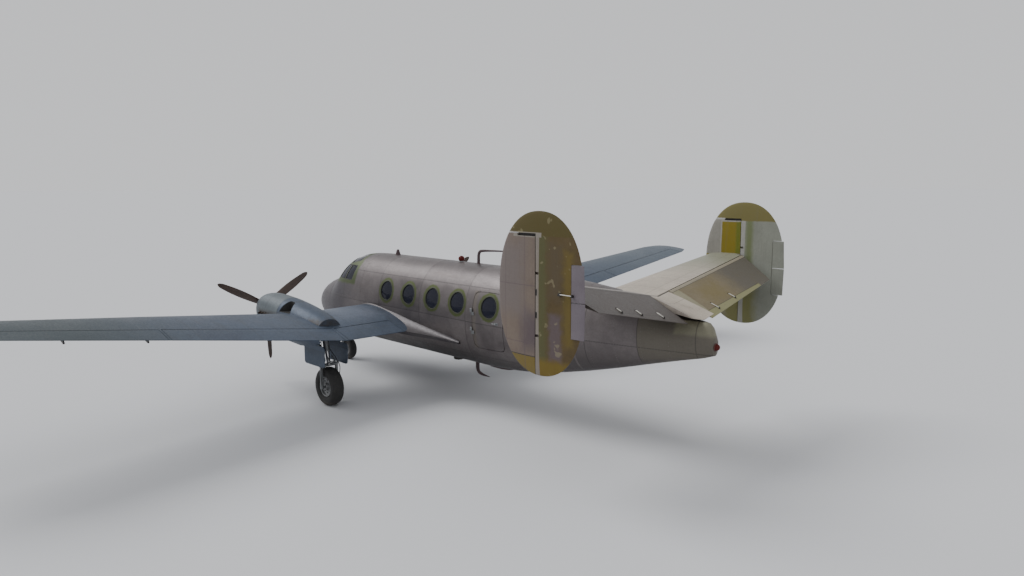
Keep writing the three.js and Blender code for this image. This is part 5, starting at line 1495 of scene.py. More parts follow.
def bladeShape(angle, y):
    # Sections along the radius: chord and thickness by smooth formulas, pitch falling from root to tip,
    # each an ellipse drawn sharper behind, turned by its pitch
    p = propellerShape
    share = np.linspace(0, 1, p["rings"]) ** 0.9
    radius = (p["hubRadius"] * 0.7 + (p["radius"] - p["hubRadius"] * 0.7) * share)[:, None]
    tip = np.where(share > 0.9, np.sqrt(np.maximum(0.002, 1 - ((share - 0.9) / 0.1) ** 2 * 0.97)), 1)
    swell = p["chordSwell"] * np.sin(np.pi * np.minimum(1, share * 0.85 + 0.12))
    chord = ((p["rootChord"] + swell) * tip)[:, None]
    thin = p["rootThick"] + (p["tipThick"] - p["rootThick"]) * np.sqrt(share)
    thickness = (thin * np.maximum(tip, 0.3))[:, None]
    pitch = np.radians(p["rootPitch"] + (p["tipPitch"] - p["rootPitch"]) * share)[:, None]
    a = fullTurn(p["sides"])[None, :]
    along = chord / 2 * np.cos(a)
    bow = p["bow"] * chord * (1 - np.cos(a) ** 2) * share[:, None]
    across = thickness / 2 * np.sin(a) * (1 + 0.25 * np.cos(a)) + bow
    points = np.stack([along * np.sin(pitch) + across * np.cos(pitch),
                       along * np.cos(pitch) - across * np.sin(pitch),
                       np.broadcast_to(radius, along.shape)], -1)
    return spun(loft(points), angle, [p["x"], y, p["z"]])


def buildPropellers():
    # The hub is turned from shaft to dome; the dome's profile is a quarter of an ellipse
    p = propellerShape
    half, r, (domeRadius, domeLength) = p["hubLength"] / 2, p["hubRadius"], p["dome"]
    profile = [(p["shaftRadius"], p["shaftRear"] - p["x"]), (p["shaftRadius"], -half), (r * 0.55, -half),
               (r * 0.9, -half + 0.012), (r, -half + 0.03), (r, half - 0.03), (r * 0.95, half - 0.006)]
    profile += [(domeRadius * math.sqrt(max(0.0, 1 - t ** 2)) + 0.002, half + 0.002 + domeLength * t)
                for t in np.linspace(0, 1, 14)]
    angles = [math.radians(p["topBlade"] - 90 + k * 360 / p["blades"]) for k in range(p["blades"])]
    for side, hand in hands:
        y, name = side * nacelleShape["y"], f"propeller_{hand}"
        add(f"{name}_blades", [bladeShape(angle, y) for angle in angles], "bladePaint", name,
            name)
        hub = lathe(profile, (p["x"], y, p["z"]), "x", 64)
        cuffs = [cuffShape(angle, y) for angle in angles]
        bolts = ringOfBolts((p["x"] + half - 0.005, y, p["z"]), p["boltCircle"], p["bolts"],
                            p["boltSize"])
        add(f"{name}_hub", [hub, *cuffs, bolts], "darkMetal", name)


def cuffShape(angle, y):
    # The collar round a blade's root: a turned profile laid along the blade
    profile = [(0.046, 0.075), (0.050, 0.080), (0.050, 0.150), (0.044, 0.155), (0.044, 0.175),
               (0.050, 0.180), (0.050, 0.196), (0.040, 0.202)]
    return spun(lathe(profile, (0, 0, 0), "z", 32), angle, [propellerShape["x"], y, propellerShape["z"]])


def ringOfBolts(centre, radius, count, size, axis="x"):
    # Hexagonal heads in a circle across the axis
    angle, (first, second, along) = fullTurn(count), axes[axis]
    places = np.zeros((count, 3))
    places[:, first], places[:, second] = radius * np.cos(angle), radius * np.sin(angle)
    head = lathePoles([(0, -0.002), (size, -0.002), (size, size * 0.8), (size * 0.8, size), (0, size)], 6)
    return scattered(head, places + centre, np.eye(3)[along])


# Wheels and legs

mainWheel = {"x": 1.780, "radius": 0.430, "width": 0.290, "rim": 0.215, "axle": 0.030, "ribs": 4,
             "blocks": 52}
noseWheel = {"x": 5.330, "radius": 0.300, "width": 0.210, "rim": 0.150, "axle": 0.022, "ribs": 3,
             "blocks": 0}
mainLeg = {"topX": 1.905, "topZ": 1.5597, "crownZ": 0.920, "strut": 0.070, "piston": 0.048, "arm": 0.034,
           "axle": 0.030, "spread": 0.190}
noseLeg = {"topZ": 1.5197, "collarZ": 1.180, "crownZ": 0.660, "strut": 0.058, "piston": 0.040, "arm": 0.026,
           "axle": 0.022, "spread": 0.140, "trail": 0.070}


def tyreShape(wheel, y):
    # The section is a flattened oval whose crown carries ribs, cut by cross grooves where it has blocks
    half, radius, rim = wheel["width"] / 2, wheel["radius"], wheel["rim"]
    turns = 260 if wheel["blocks"] else 128
    angle = fullTurn(turns)[:, None]
    around = np.linspace(-0.93 * np.pi, 0.93 * np.pi, 58)[None, :]
    height = (radius - rim) / 2
    across = half * signedPower(np.sin(around), 0.8)
    out = rim + height + height * signedPower(np.cos(around), 0.72)
    crown = np.clip((np.cos(around) - 0.25) / 0.2, 0, 1)
    grooves = np.clip(np.cos(across / half * np.pi * wheel["ribs"]) * 5 - 4.0, 0, 1)
    grooves = grooves * (np.abs(across) < half * 0.8)
    if wheel["blocks"]:
        lug = np.clip(np.cos(angle * wheel["blocks"] + across * 60) * 4 - 3.0, 0, 1)
        grooves = np.maximum(grooves, lug * (np.abs(across) > half * 0.35))
    wave = 0.0016 * np.clip(np.cos(around * 11) * 3 - 2, 0, 1) * (1 - crown)
    reach = out - 0.006 * crown * grooves - wave
    parts = wheel["x"] + reach * np.sin(angle), y + across, radius + reach * np.cos(angle)
    return loftOpen(np.stack(np.broadcast_arrays(*parts), -1).transpose(1, 0, 2))


def rimShape(wheel, y):
    # A dished rim: half its section is listed and mirrored
    half, rim, axle = wheel["width"] / 2, wheel["rim"], wheel["axle"] + 0.0006
    bead = [(rim - 0.001, 0.66), (rim + 0.010, 0.72), (rim + 0.011, 0.745), (rim + 0.004, 0.765),
            (rim * 0.95, 0.74), (rim * 0.90, 0.62), (rim * 0.88, 0.46), (rim * 0.80, 0.40),
            (rim * 0.55, 0.33), (rim * 0.42, 0.34), (rim * 0.36, 0.44), (rim * 0.33, 0.74),
            (rim * 0.30, 0.80), (axle, 0.80)]
    profile = [(r, half * share) for r, share in bead]
    profile += [(r, -a) for r, a in reversed(profile)] + profile[:1]
    return lathe(profile, (wheel["x"], y, wheel["radius"]), "y", 96)


def wheelPieces(wheel, y, body, tyreName, rimName):
    # The tyre with its tread, and the rim with eight holes through its dish
    add(f"{tyreName}_tread", [tyreShape(wheel, y)], "rubber", body, tyreName)
    piece = makeMesh(f"{rimName}_dish", [rimShape(wheel, y)], materials["rimMetal"])
    holes, r = [], wheel["rim"] * 0.68
    for k in range(8):
        a = k * np.pi / 4
        centre = (wheel["x"] + r * math.cos(a), y, wheel["radius"] + r * math.sin(a))
        holes.append(lathe([(wheel["rim"] * 0.085, -0.3), (wheel["rim"] * 0.085, 0.3)], centre, "y", 20))
    carve(piece, [(holes, "DIFFERENCE")])
    place(piece, body, rimName)
    # The nuts on one side of the dish, and the same turned over on the other
    x, out, rim = wheel["x"], wheel["width"] * 0.175, wheel["rim"]
    nuts, far = (ringOfBolts((x, y + way * out, wheel["radius"]), rim * 0.45, 10, rim * 0.035, "y")
                 for way in (1, -1))
    flipped = far[0] * [1, -1, 1] + [0, 2 * (y - out), 0], [face[:, ::-1] for face in far[1]]
    add(f"{rimName}_nuts", [nuts, flipped], "legSteel", body)


def rod(start, end, radius, endRadius=None, sides=24, collars=()):
    # A turned bar between two points, with a raised collar at each share of its length
    start, end = np.asarray(start, float), np.asarray(end, float)
    last = radius if endRadius is None else endRadius
    length = np.linalg.norm(end - start)
    edge = min(0.004, length / 8)
    rows = [(0, radius * 0.85), (edge / length, radius), (1 - edge / length, last), (1, last * 0.85)]
    for share, width, raised in collars:
        low, high = share - width, share + width
        rows += [(low, radius), (low, raised), (high, raised), (high, radius)]
    rows.sort(key=lambda row: row[0])
    circle = crossCircle((end - start) / length, sides)
    return loft(np.array([start + (end - start) * share + circle * reach for share, reach in rows]))


def torqueLinks(x, y, high, low, reach, width):
    # Two flat arms that meet behind the leg, each narrowing towards the joint
    middle = (high + low) / 2
    shapes = []
    for end, z in ((high, middle), (low, middle)):
        outline = [(x - 0.01, end - 0.022), (x - 0.01, end + 0.022),
                   (x - reach, z + 0.016), (x - reach, z - 0.016)]
        for side in (1, -1):
            low, high = sorted((side * width * 0.45, side * (width * 0.45 + 0.012)))
            shapes.append(prism(roundCorners(outline, 0.008, 4), "y", y + low, y + high))
    half = width * 0.62
    shapes.append(rod((x - reach, y - half, middle), (x - reach, y + half, middle), 0.012, sides=14))
    return shapes


def buildMainLeg(side, hand):
    # From the top in its bay down to the fork and the axle, with the brace and the links
    m, w = mainLeg, mainWheel
    y, arm, crownZ, axleZ = side * nacelleShape["y"], m["arm"], m["crownZ"], w["radius"]
    spread = m["spread"]

    def at(across, z):
        return w["x"], y + across, z

    top, crown = np.array([m["topX"], y, m["topZ"]]), np.array(at(0, crownZ))
    middle = top + (crown - top) * 0.55
    shapes = [rod(top, middle, m["strut"],
                  collars=((0.90, 0.03, m["strut"] + 0.010), (0.20, 0.02, m["strut"] + 0.008))),
              rod(at(-spread, crownZ), at(spread, crownZ), arm * 1.15)]
    collars = ((0.08, 0.04, arm + 0.007), (0.93, 0.05, arm + 0.008))
    shapes += [rod(at(edge, crownZ + arm), at(edge, axleZ - arm), arm, collars=collars)
               for edge in (spread, -spread)]
    shapes.append(rod(at(-spread - 0.02, axleZ), at(spread + 0.02, axleZ), m["axle"]))
    shapes.append(rod((2.60, y, mainBay["top"] - 0.0006), (w["x"] + 0.05, y, 1.125), 0.024,
                      collars=((0.06, 0.03, 0.032), (0.50, 0.03, 0.031))))
    shapes += torqueLinks(w["x"] - 0.02, y, 1.12, crownZ + 0.01, 0.15, 0.12)
    add(f"main_leg_{hand}_forging", shapes, "legSteel", node=f"main_leg_{hand}")
    piston = rod(middle + (top - middle) * 0.05, crown, m["piston"])
    add(f"main_leg_{hand}_piston", [piston], "chrome")
    # The brake lines: x, distance from the leg's middle and z, from the bay down to the axle
    line = [(m["topX"] + 0.02, 0.09, 1.52), (m["topX"] - 0.03, 0.10, 1.25), (w["x"] - 0.09, 0.14, 1.05),
            (w["x"] - 0.07, 0.235, 0.85), (w["x"] - 0.045, 0.225, 0.62), (w["x"] - 0.02, 0.20, 0.47)]
    paths = [curvedPath([(x, y + edge * out, z) for x, out, z in line], 60) for edge in (1, -1)]
    hoses = [tube(path, 0.009, 10) for path in paths]
    add(f"main_leg_{hand}_brake_lines", hoses, "hoseRubber")


def buildNoseLeg():
    # The strut stays with the airframe, and the fork and its piston steer
    n, w = noseLeg, noseWheel
    x, arm, spread, collarZ = w["x"] + n["trail"], n["arm"], n["spread"], n["collarZ"]

    def crown(y):
        return x, y, n["crownZ"]

    def hub(y):
        return w["x"], y, w["radius"]

    collars = ((0.86, 0.05, n["strut"] + 0.009),)
    strut = [rod((x, 0, n["topZ"]), (x, 0, collarZ), n["strut"], collars=collars),
             rod((x - 0.235, 0, n["topZ"] - 0.002), (x - 0.03, 0, collarZ + 0.09), 0.020)]
    add("nose_strut_forging", strut, "legSteel", node="nose_strut")
    fork, collars = [rod(crown(-spread), crown(spread), arm * 1.2)], ((0.90, 0.06, arm + 0.006),)
    fork += [rod(crown(edge), hub(edge), arm, collars=collars) for edge in (spread, -spread)]
    fork.append(rod(hub(-spread - 0.02), hub(spread + 0.02), n["axle"]))
    fork += torqueLinks(x - 0.02, 0, 0.98, n["crownZ"] + 0.03, 0.11, 0.09)
    add("nose_fork_forging", fork, "legSteel", "nose_fork", "nose_fork")
    piston = rod((x, 0, collarZ - 0.0006), crown(0), n["piston"])
    add("nose_fork_piston", [piston], "chrome", "nose_fork")


def buildGear():
    # The legs at their places, and a wheel on each
    for side, hand in hands:
        buildMainLeg(side, hand)
        names = [f"main_{part}_{hand}" for part in ("wheel", "tyre", "rim")]
        wheelPieces(mainWheel, side * nacelleShape["y"], *names)
    buildNoseLeg()
    wheelPieces(noseWheel, 0, "nose_wheel", "nose_tyre", "nose_rim")


# Fittings on the outside

# Bent masts: x, z, half chord and half thickness from root to tip; the fairing: x, bottom z, half width
roofMast = np.array([[-0.160, 3.085, 0.047, 0.022], [-0.162, 3.270, 0.044, 0.020],
                     [-0.180, 3.338, 0.042, 0.019], [-0.228, 3.384, 0.034, 0.017],
                     [-0.340, 3.402, 0.028, 0.014], [-0.600, 3.416, 0.022, 0.012],
                     [-0.950, 3.430, 0.016, 0.009], [-1.010, 3.431, 0.005, 0.004]])
bellyMast = np.array([[-0.100, 0.895, 0.066, 0.022], [-0.097, 0.740, 0.062, 0.020],
                      [-0.110, 0.652, 0.056, 0.019], [-0.165, 0.592, 0.044, 0.016],
                      [-0.300, 0.560, 0.027, 0.012], [-0.511, 0.548, 0.005, 0.004]])
bellyFairing = np.array([[-0.478, 0.895, 0.012], [-0.480, 0.868, 0.030], [-0.530, 0.825, 0.075],
                         [-0.640, 0.806, 0.100], [-0.900, 0.803, 0.105], [-1.120, 0.818, 0.080],
                         [-1.300, 0.858, 0.040], [-1.372, 0.893, 0.010]])
roofFittings = {"stubX": 2.885, "stubTop": 3.236, "beaconX": 0.43, "skin": 3.097}
bellyPad = {"x": 0.56, "drum": 0.125, "drumBottom": 0.792, "pad": 0.060, "bottom": 0.780, "skin": 0.882}
jackPad = {"x": 2.150, "y": 3.900, "radius": 0.055, "bottom": 1.7355, "rise": 0.16}
doorHinge = {"x": -0.905, "y": 0.893, "barrel": 0.011, "height": 0.070, "leaf": 0.060,
             "levels": (1.80, 2.20)}
doorHandle = {"fromRear": 0.13, "z": 2.02, "plateHalf": 0.028, "leverHalf": 0.009, "lever": 0.130,
              "post": 0.013}
doorGutter = {"over": 0.055, "fall": 0.05, "short": 0.04, "radius": 0.007}
hingePin = {"radius": 0.014, "bury": 0.024, "gap": 0.0003}
aileronBracket = {"spans": (6.65, 8.00, 9.35), "halfWidth": 0.009, "depth": 0.088, "reach": 0.290}
tailLamp = {"x": -6.170, "z": 2.120}
elevatorRods = {"spans": {"left": (0.92, 1.50, 2.00), "right": (0.71, 1.32)}, "front": -5.64,
                "radius": 0.009, "fitting": 1.45}
finCaps = {"heights": (2.92, 3.27), "half": 0.05}
trimRod = {"out": 0.062, "z": 3.285, "front": -5.400, "rear": -5.640, "radius": 0.008,
           "tabHorn": [(-5.66, 3.262), (-5.62, 3.262), (-5.632, 3.300), (-5.648, 3.300)],
           "rudderHorn": [(-5.43, 3.262), (-5.37, 3.262), (-5.392, 3.304), (-5.414, 3.304)]}


def bentMast(table):
    # Ovals square to the mast's run, their sizes smoothed between the rows
    rows = smoothTable(table, 60)
    run = unit(np.gradient(rows[:, :2], axis=0))
    angle = fullTurn(24)[None, :]
    along, across = rows[:, 2:3] * np.cos(angle), rows[:, 3:4] * np.sin(angle)
    return loft(np.stack([rows[:, :1] + along * run[:, 1:], across, rows[:, 1:2] - along * run[:, :1]], -1))


def buildRoofFittings():
    # The mast on its screwed foot, the aerial's stub and the beacon
    r = roofFittings
    foot = block((-0.26, -0.055, r["skin"] - 0.004), (-0.07, 0.055, r["skin"] + 0.008), "z", 0.05, 0.003)
    places = [(x, y, r["skin"] + 0.0078) for x in (-0.24, -0.165, -0.09) for y in (-0.04, 0.04)]
    screws = scattered(screwHead, places, [0, 0, 1], 1.4)
    add("roof_mast", [bentMast(roofMast), foot, screws], "mastPaint")
    rise = r["stubTop"] - r["skin"]
    profile = [(0.078, -0.006), (0.078, 0.004), (0.066, 0.012), (0.046, rise * 0.55), (0.030, rise * 0.93),
               (0.022, rise * 0.985), (0.008, rise)]
    stub = lathe(profile, (r["stubX"], 0, r["skin"]), "z", 40)
    add("roof_aerial_stub", [stub], "mastPaint")
    base = lathe([(0.056, -0.006), (0.056, 0.012), (0.050, 0.024), (0.052, 0.030), (0.052, 0.036)],
                 (r["beaconX"], 0, r["skin"]), "z", 40)
    add("beacon_base", [base], "legSteel")
    turn = np.linspace(-0.30 * np.pi, 0.495 * np.pi, 22)
    dome = [(0.071 * math.cos(a), 0.076 + 0.069 * math.sin(a)) for a in turn]
    add("beacon_glass", [lathe(dome, (r["beaconX"], 0, r["skin"]), "z", 48)], "redGlass")


def buildBellyFittings():
    # The drum with its bolts, the belly mast and the fairing behind it
    b = bellyPad
    drum = [(b["drum"] - 0.004, b["skin"] + 0.006), (b["drum"], b["skin"] - 0.002),
            (b["drum"], b["drumBottom"] + 0.02), (b["drum"] - 0.006, b["drumBottom"] + 0.006),
            (b["drum"] - 0.02, b["drumBottom"]), (b["pad"], b["drumBottom"]),
            (b["pad"], b["bottom"] + 0.002), (b["pad"] - 0.002, b["bottom"])]
    bolts = ringOfBolts((b["x"], 0, b["drumBottom"]), 0.092, 8, 0.007, "z")
    flipped = bolts[0] * [1, 1, -1] + [0, 0, 2 * b["drumBottom"]], [face[:, ::-1] for face in bolts[1]]
    add("belly_drum", [lathe(drum, (b["x"], 0, 0), "z", 64), flipped], "darkMetal")
    foot = block((-0.21, -0.05, 0.872), (0.01, 0.05, 0.890), "z", 0.045, 0.003)
    add("belly_mast", [bentMast(bellyMast), foot], "mastPaint")
    rows = smoothTable(bellyFairing, 48)
    turn = np.linspace(np.pi, 2 * np.pi, 33)[None, :]
    depth = 0.906 - rows[:, 1:2]
    x = np.broadcast_to(rows[:, :1], (len(rows), 33))
    rings = np.stack([x, rows[:, 2:3] * np.cos(turn), 0.906 + depth * np.sin(turn)], -1)
    add("belly_fairing", [loft(rings)], "mastPaint")


def buildTailEnd():
    # The cap's rings: their size as a share of the tail's last section, and how far behind it they lie
    x, lampZ = tailLamp["x"], tailLamp["z"]
    rim = skinPoint(x + 0.004, fullTurn(96)[None, :], 0.001)
    middle = np.array([x, 0, sum(sectionAt(x)[:2]) / 2])
    steps = ((1, -0.03), (1, 0.0), (0.93, 0.007), (0.5, 0.011), (0.02, 0.012))
    rings = [middle + (rim - middle) * scale - [back, 0, 0] for scale, back in steps]
    add("tail_cap", [loft(np.concatenate(rings))], "tailMetal")
    ring = [(0.070, 0.030), (0.074, -0.004), (0.074, -0.016), (0.066, -0.024), (0.060, -0.024),
            (0.060, 0.030)]
    add("tail_lamp_ring", [lathe(ring, (x, 0, lampZ), "x", 48)], "lampRed")
    dome = [(0.058 * math.cos(a) ** 0.7, -0.018 - 0.060 * math.sin(a))
            for a in np.linspace(0.0, 0.497 * np.pi, 16)]
    add("tail_lamp_glass", [lathe(dome, (x, 0, lampZ), "x", 48)], "redGlass", node="tail_lamp")


def buildDoorFittings():
    # Hinge barrels that take turns on the frame and on the door, then the handle
    h = doorHinge
    for body, direction, name in (("airframe", 1, "door_hinge_frame"),
                                  ("entrance_door", -1, "door_hinge_leaf")):
        shapes = []
        for level in h["levels"]:
            low, high = sorted((level + direction * 0.0002, level + direction * h["height"]))
            shapes.append(lathe([(h["barrel"] * 0.8, low), (h["barrel"], low + 0.003),
                                 (h["barrel"], high - 0.003), (h["barrel"] * 0.8, high)],
                                (h["x"], h["y"], 0), "z", 24))
            near, away = sorted((h["x"], h["x"] + direction * h["leaf"]))
            middle = (low + high) / 2
            inner = float(skinY(np.array((near + away) / 2), np.array(middle))) - 0.004
            shapes.append(block((near, inner, low), (away, h["y"] - 0.003, high), "z", 0.004, 0.002))
        add(name, shapes, "legSteel", body)
    d, g = doorHandle, doorGutter
    x, z = doorway["rear"] + d["fromRear"], d["z"]
    y = float(skinY(np.array(x), np.array(z)))
    plate = block((x - 0.045, y - 0.004, z - d["plateHalf"]), (x + 0.065, y + 0.003, z + d["plateHalf"]),
                  "y", 0.012, 0.0015)
    lever = block((x - 0.005, y + 0.014, z - d["leverHalf"]),
                  (x + d["lever"], y + 0.026, z + d["leverHalf"]), "y", 0.008, 0.003)
    post = lathe([(d["post"], y - 0.002), (d["post"], y + 0.018), (0.010, y + 0.024)], (x + 0.01, 0, z),
                 "y", 24)
    add("door_handle", [plate, lever, post], "legSteel", "entrance_door")
    # The gutter over the doorway: a bent strip laid on the skin
    share = np.linspace(0, 1, 40)
    gx = doorway["front"] + g["short"] + (doorway["rear"] - doorway["front"] - 0.08) * share
    gz = doorway["top"] + g["over"] - g["fall"] * (2 * share - 1) ** 4
    path = np.stack([gx, skinY(gx, gz, 1, 0.004), gz], 1)
    add("door_gutter", [tube(path, g["radius"], 12)], "bareMetal")


def buildWingFittings():
    # Aileron brackets under the wing, hinge pins at the surfaces' ends and the jacking pads
    b = aileronBracket
    shapes = []
    for y in b["spans"]:
        (x, _, z), radius = wingHingeAt(y, wingSurfaces["aileron"]["hinge"])
        skin = z - radius
        outline = roundCorners([(x + b["reach"], skin), (x + 0.075, skin + 0.005), (x + 0.035, skin - 0.014),
                                (x - 0.008, skin - 0.025), (x - 0.025, skin - b["depth"]),
                                (x + 0.025, skin - b["depth"]), (x + b["reach"], skin - 0.018)], 0.006, 4)
        shapes.append(prism(outline, "y", y - b["halfWidth"], y + b["halfWidth"]))
        shapes.append(rod((x - 0.012, y - 0.016, skin - b["depth"] + 0.020),
                          (x - 0.012, y + 0.016, skin - b["depth"] + 0.020), 0.011, sides=16))
    bothSides("aileron_brackets", shapes, "darkMetal")
    pins = []
    for surface in wingSurfaces:
        inner, outer = wingHinge(surface)
        along, _, _ = hingeFrame(inner, outer)
        for end, way in ((inner, -1), (outer, 1)):
            near, away = way * hingePin["gap"], way * (surfaceGap + hingePin["bury"])
            pins.append(rod(end[0] + along * near, end[0] + along * away, hingePin["radius"], sides=16))
    bothSides("wing_hinge_pins", pins, "legSteel")
    j = jackPad
    pad = lathe([(j["radius"] - 0.003, j["bottom"]), (j["radius"], j["bottom"] + 0.003),
                 (j["radius"], j["bottom"] + 0.012), (j["radius"] - 0.012, j["bottom"] + 0.018),
                 (j["radius"] - 0.012, j["bottom"] + j["rise"])], (j["x"], j["y"], 0), "z", 48)
    bothSides("jack_pad", [pad], "legSteel")


def buildElevatorRods():
    # The tabs' rods over each elevator, with a horn at the tab and a foot in front, hanging with it
    r = elevatorRods
    for side, hand in hands:
        rods, horns = [], []
        for y in r["spans"][hand]:
            _, z, trailX = tailplaneRow(y / tailplaneShape["tipY"])
            front, rear = np.array([r["front"], y, z + 0.036]), np.array([trailX + 0.085, y, z + 0.030])
            rods.append(elevatorDrop(rod(front, rear, r["radius"], sides=14)))
            outline = [(trailX + 0.11, z + 0.004), (trailX + 0.05, z + 0.003), (trailX + 0.075, z + 0.044),
                       (trailX + 0.095, z + 0.044)]
            horns.append(elevatorDrop(prism(outline, "y", y - 0.006, y + 0.006)))
            x, top = r["front"], z + 0.046
            foot = [(x + 0.03, z + 0.010), (x - 0.03, z + 0.008), (x - 0.012, top), (x + 0.012, top)]
            horns.append(elevatorDrop(prism(foot, "y", y - 0.005, y + 0.005)))
        for name, shapes, finishName, slot in (("tab_rods", rods, "whiteRod", "beige_paint"),
                                               ("tab_horns", horns, "darkMetal", "dark_paint")):
            add(f"elevator_{name}_{hand}", [sided(side, shape) for shape in shapes], finishName,
                f"elevator_{hand}")


def buildTailHinges():
    # The elevators' pins, the rudders' brackets, and the covers over the hinges
    inner, outer = tailplaneHinge("inner"), tailplaneHinge("outer")
    along, _, _ = hingeFrame(inner, outer)
    reach = surfaceGap + hingePin["bury"]
    pins = [rod(inner[0] - along * hingePin["gap"], inner[0] - along * reach, hingePin["radius"], sides=16)]
    bothSides("elevator_hinge_pins", pins, "legSteel")
    f, b = finShape, rudderBracket
    arms = []
    for z in b["heights"]:
        half, arm = b["halfWidth"], b["arm"] / 2
        arms.append(block((f["hingeX"] - half, f["y"] - half, z - arm),
                          (f["hingeX"] + b["reach"], f["y"] + half, z + arm), "x", 0.004, 0.003))
        low, high = z - b["slot"] / 2 + 0.0003, z + b["slot"] / 2 - 0.0003
        arms.append(rod((f["hingeX"], f["y"], low), (f["hingeX"], f["y"], high), 0.010, sides=20))
    bothSides("rudder_brackets", arms, "finHAND")
    y = elevatorRods["fitting"]
    _, z, _ = tailplaneRow(y / tailplaneShape["tipY"])
    bracket = block((tailplaneShape["hingeX"] - 0.035, y - 0.030, z + 0.020),
                    (tailplaneShape["hingeX"] + 0.060, y + 0.030, z + 0.052), "z", 0.012, 0.006)
    bothSides("tailplane_hinge_covers", [bracket], "darkMetal")
    caps = [block((f["hingeX"] - 0.004, f["y"] + 0.020, z - finCaps["half"]),
                  (f["hingeX"] + 0.022, f["y"] + 0.056, z + finCaps["half"]), "z", 0.008, 0.006)
            for z in finCaps["heights"]]
    bothSides("fin_hinge_caps", caps, "darkMetal")


def buildTrimRods():
    # The trim tab's rod on the outer face, from a bracket on the rudder to a horn on the tab
    t, inner = trimRod, finShape["y"]
    y = inner + t["out"]
    horns = [prism(t["tabHorn"], "y", inner + 0.006, y + 0.006),
             prism(t["rudderHorn"], "y", inner + 0.020, y + 0.008)]
    bothSides("trim_horns", horns, "darkMetal", "rudder_HAND")
    bar = rod((t["front"], y, t["z"]), (t["rear"], y, t["z"]), t["radius"], sides=16)
    bothSides("trim_rod", [bar], "whiteRod", "rudder_HAND")


def buildFittings():
    buildRoofFittings()
    buildBellyFittings()
    buildTailEnd()
    buildDoorFittings()
    buildWingFittings()
    buildElevatorRods()
    buildTailHinges()
    buildTrimRods()


# Engines, exhausts and air outlets

engineShape = {"crankZ": 1.930, "front": 4.370, "rear": 3.336, "cylinders": 6, "pitch": 0.155,
               "firstX": 4.235, "bore": 0.078, "shrink": 0.86, "lean": 30, "from": 0.10, "to": 0.315,
               "case": (0.13, 0.125, 0.05), "cover": (0.058, 0.016, 0.012), "coverFront": 4.31,
               "bolts": 12, "boltCircle": 0.113, "boltSize": 0.008}
exhaustShape = {"rear": 3.520, "spacing": 0.125, "count": 6, "z": 1.855, "radius": 0.027, "inner": 0.0225,
                "bury": 0.045, "out": 0.062, "back": 0.070}
airOutlet = {"outline": [(3.105, 0.120), (3.240, 0.415), (2.720, 0.415), (2.930, 0.120)], "floor": 1.980,
             "corner": 0.025, "lining": 0.004}


def pipe(start, end, outer, inner, sides=20):
    # A hollow pipe: its outside, the mouth's lip, then its inside back to the start
    start, end = np.asarray(start, float), np.asarray(end, float)
    direction = unit(end - start)
    circle, lip = crossCircle(direction, sides), end - direction * 0.003
    rows = [(start, outer), (lip, outer), (end, (outer + inner) / 2), (lip, inner), (start, inner)]
    return loftOpen(np.array([centre + circle * reach for centre, reach in rows]))


def finnedCylinder(foot, direction, length, bore, fin, fins=9):
    # A barrel whose radius steps out and in for each cooling fin
    along = np.linspace(0.12, 0.92, fins * 4) * length
    step = np.tile([bore, fin, fin, bore], fins)
    rows = [(0, bore), *zip(along, step), (length * 0.97, bore * 1.05), (length, bore * 0.8)]
    direction = np.asarray(direction, float)
    across = np.array([1.0, 0, 0])
    up = np.cross(direction, across)
    angle = fullTurn(20)[:, None]
    circle = across * np.cos(angle) + up * np.sin(angle)
    return loft(np.array([foot + direction * distance + circle * reach for distance, reach in rows]))


def buildEngine(side, hand):
    # A rounded case with its reduction gear in front, and two leaning banks of cylinders under covers
    e = engineShape
    y, z = side * nacelleShape["y"], e["crankZ"]
    halfWidth, halfHeight, corner = e["case"]
    sizes = ((e["rear"], 0.94), (e["rear"] + 0.01, 1), (4.20, 1), (4.22, 0.9), (4.30, 0.86))
    case = loft([[(x, y + dy, z + dz)
                  for dy, dz in roundedOutline(halfWidth * grow, halfHeight * grow, corner)]
                 for x, grow in sizes])
    profile = [(0.125, 4.29), (0.125, 4.305), (0.105, 4.33), (0.075, 4.355), (0.062, e["front"])]
    nose = lathe(profile, (0, y, z), "x", 48)
    bolts = ringOfBolts((4.306, y, z), e["boltCircle"], e["bolts"], e["boltSize"])
    shapes, heads = [case, nose, bolts], []
    for lean in (-1, 1):
        angle = math.radians(e["lean"]) * lean
        direction = np.array([0, math.sin(angle), -math.cos(angle)])
        for k in range(e["cylinders"]):
            foot = np.array([e["firstX"] - k * e["pitch"], y, z]) + direction * e["from"]
            shapes.append(finnedCylinder(foot, direction, e["to"] - e["from"], e["bore"] * e["shrink"],
                                         e["bore"]))
        length = (e["cylinders"] - 1) * e["pitch"] + 0.15
        middle = np.array([0, y, z]) + direction * (e["to"] + 0.012)
        across = np.cross([1.0, 0, 0], direction)
        outline, front = roundedOutline(*e["cover"]), e["coverFront"]
        rings = [middle + across * (outline[:, :1] * grow) + direction * outline[:, 1:] * grow + [x, 0, 0]
                 for x, grow in ((front, 0.9), (4.305, 1), (front - length, 1), (4.305 - length, 0.9))]
        heads.append(loft(np.array(rings)))
    add(f"engine_{hand}_block", shapes, "engineIron", node=f"engine_{hand}")
    add(f"engine_{hand}_covers", heads, "darkMetal")


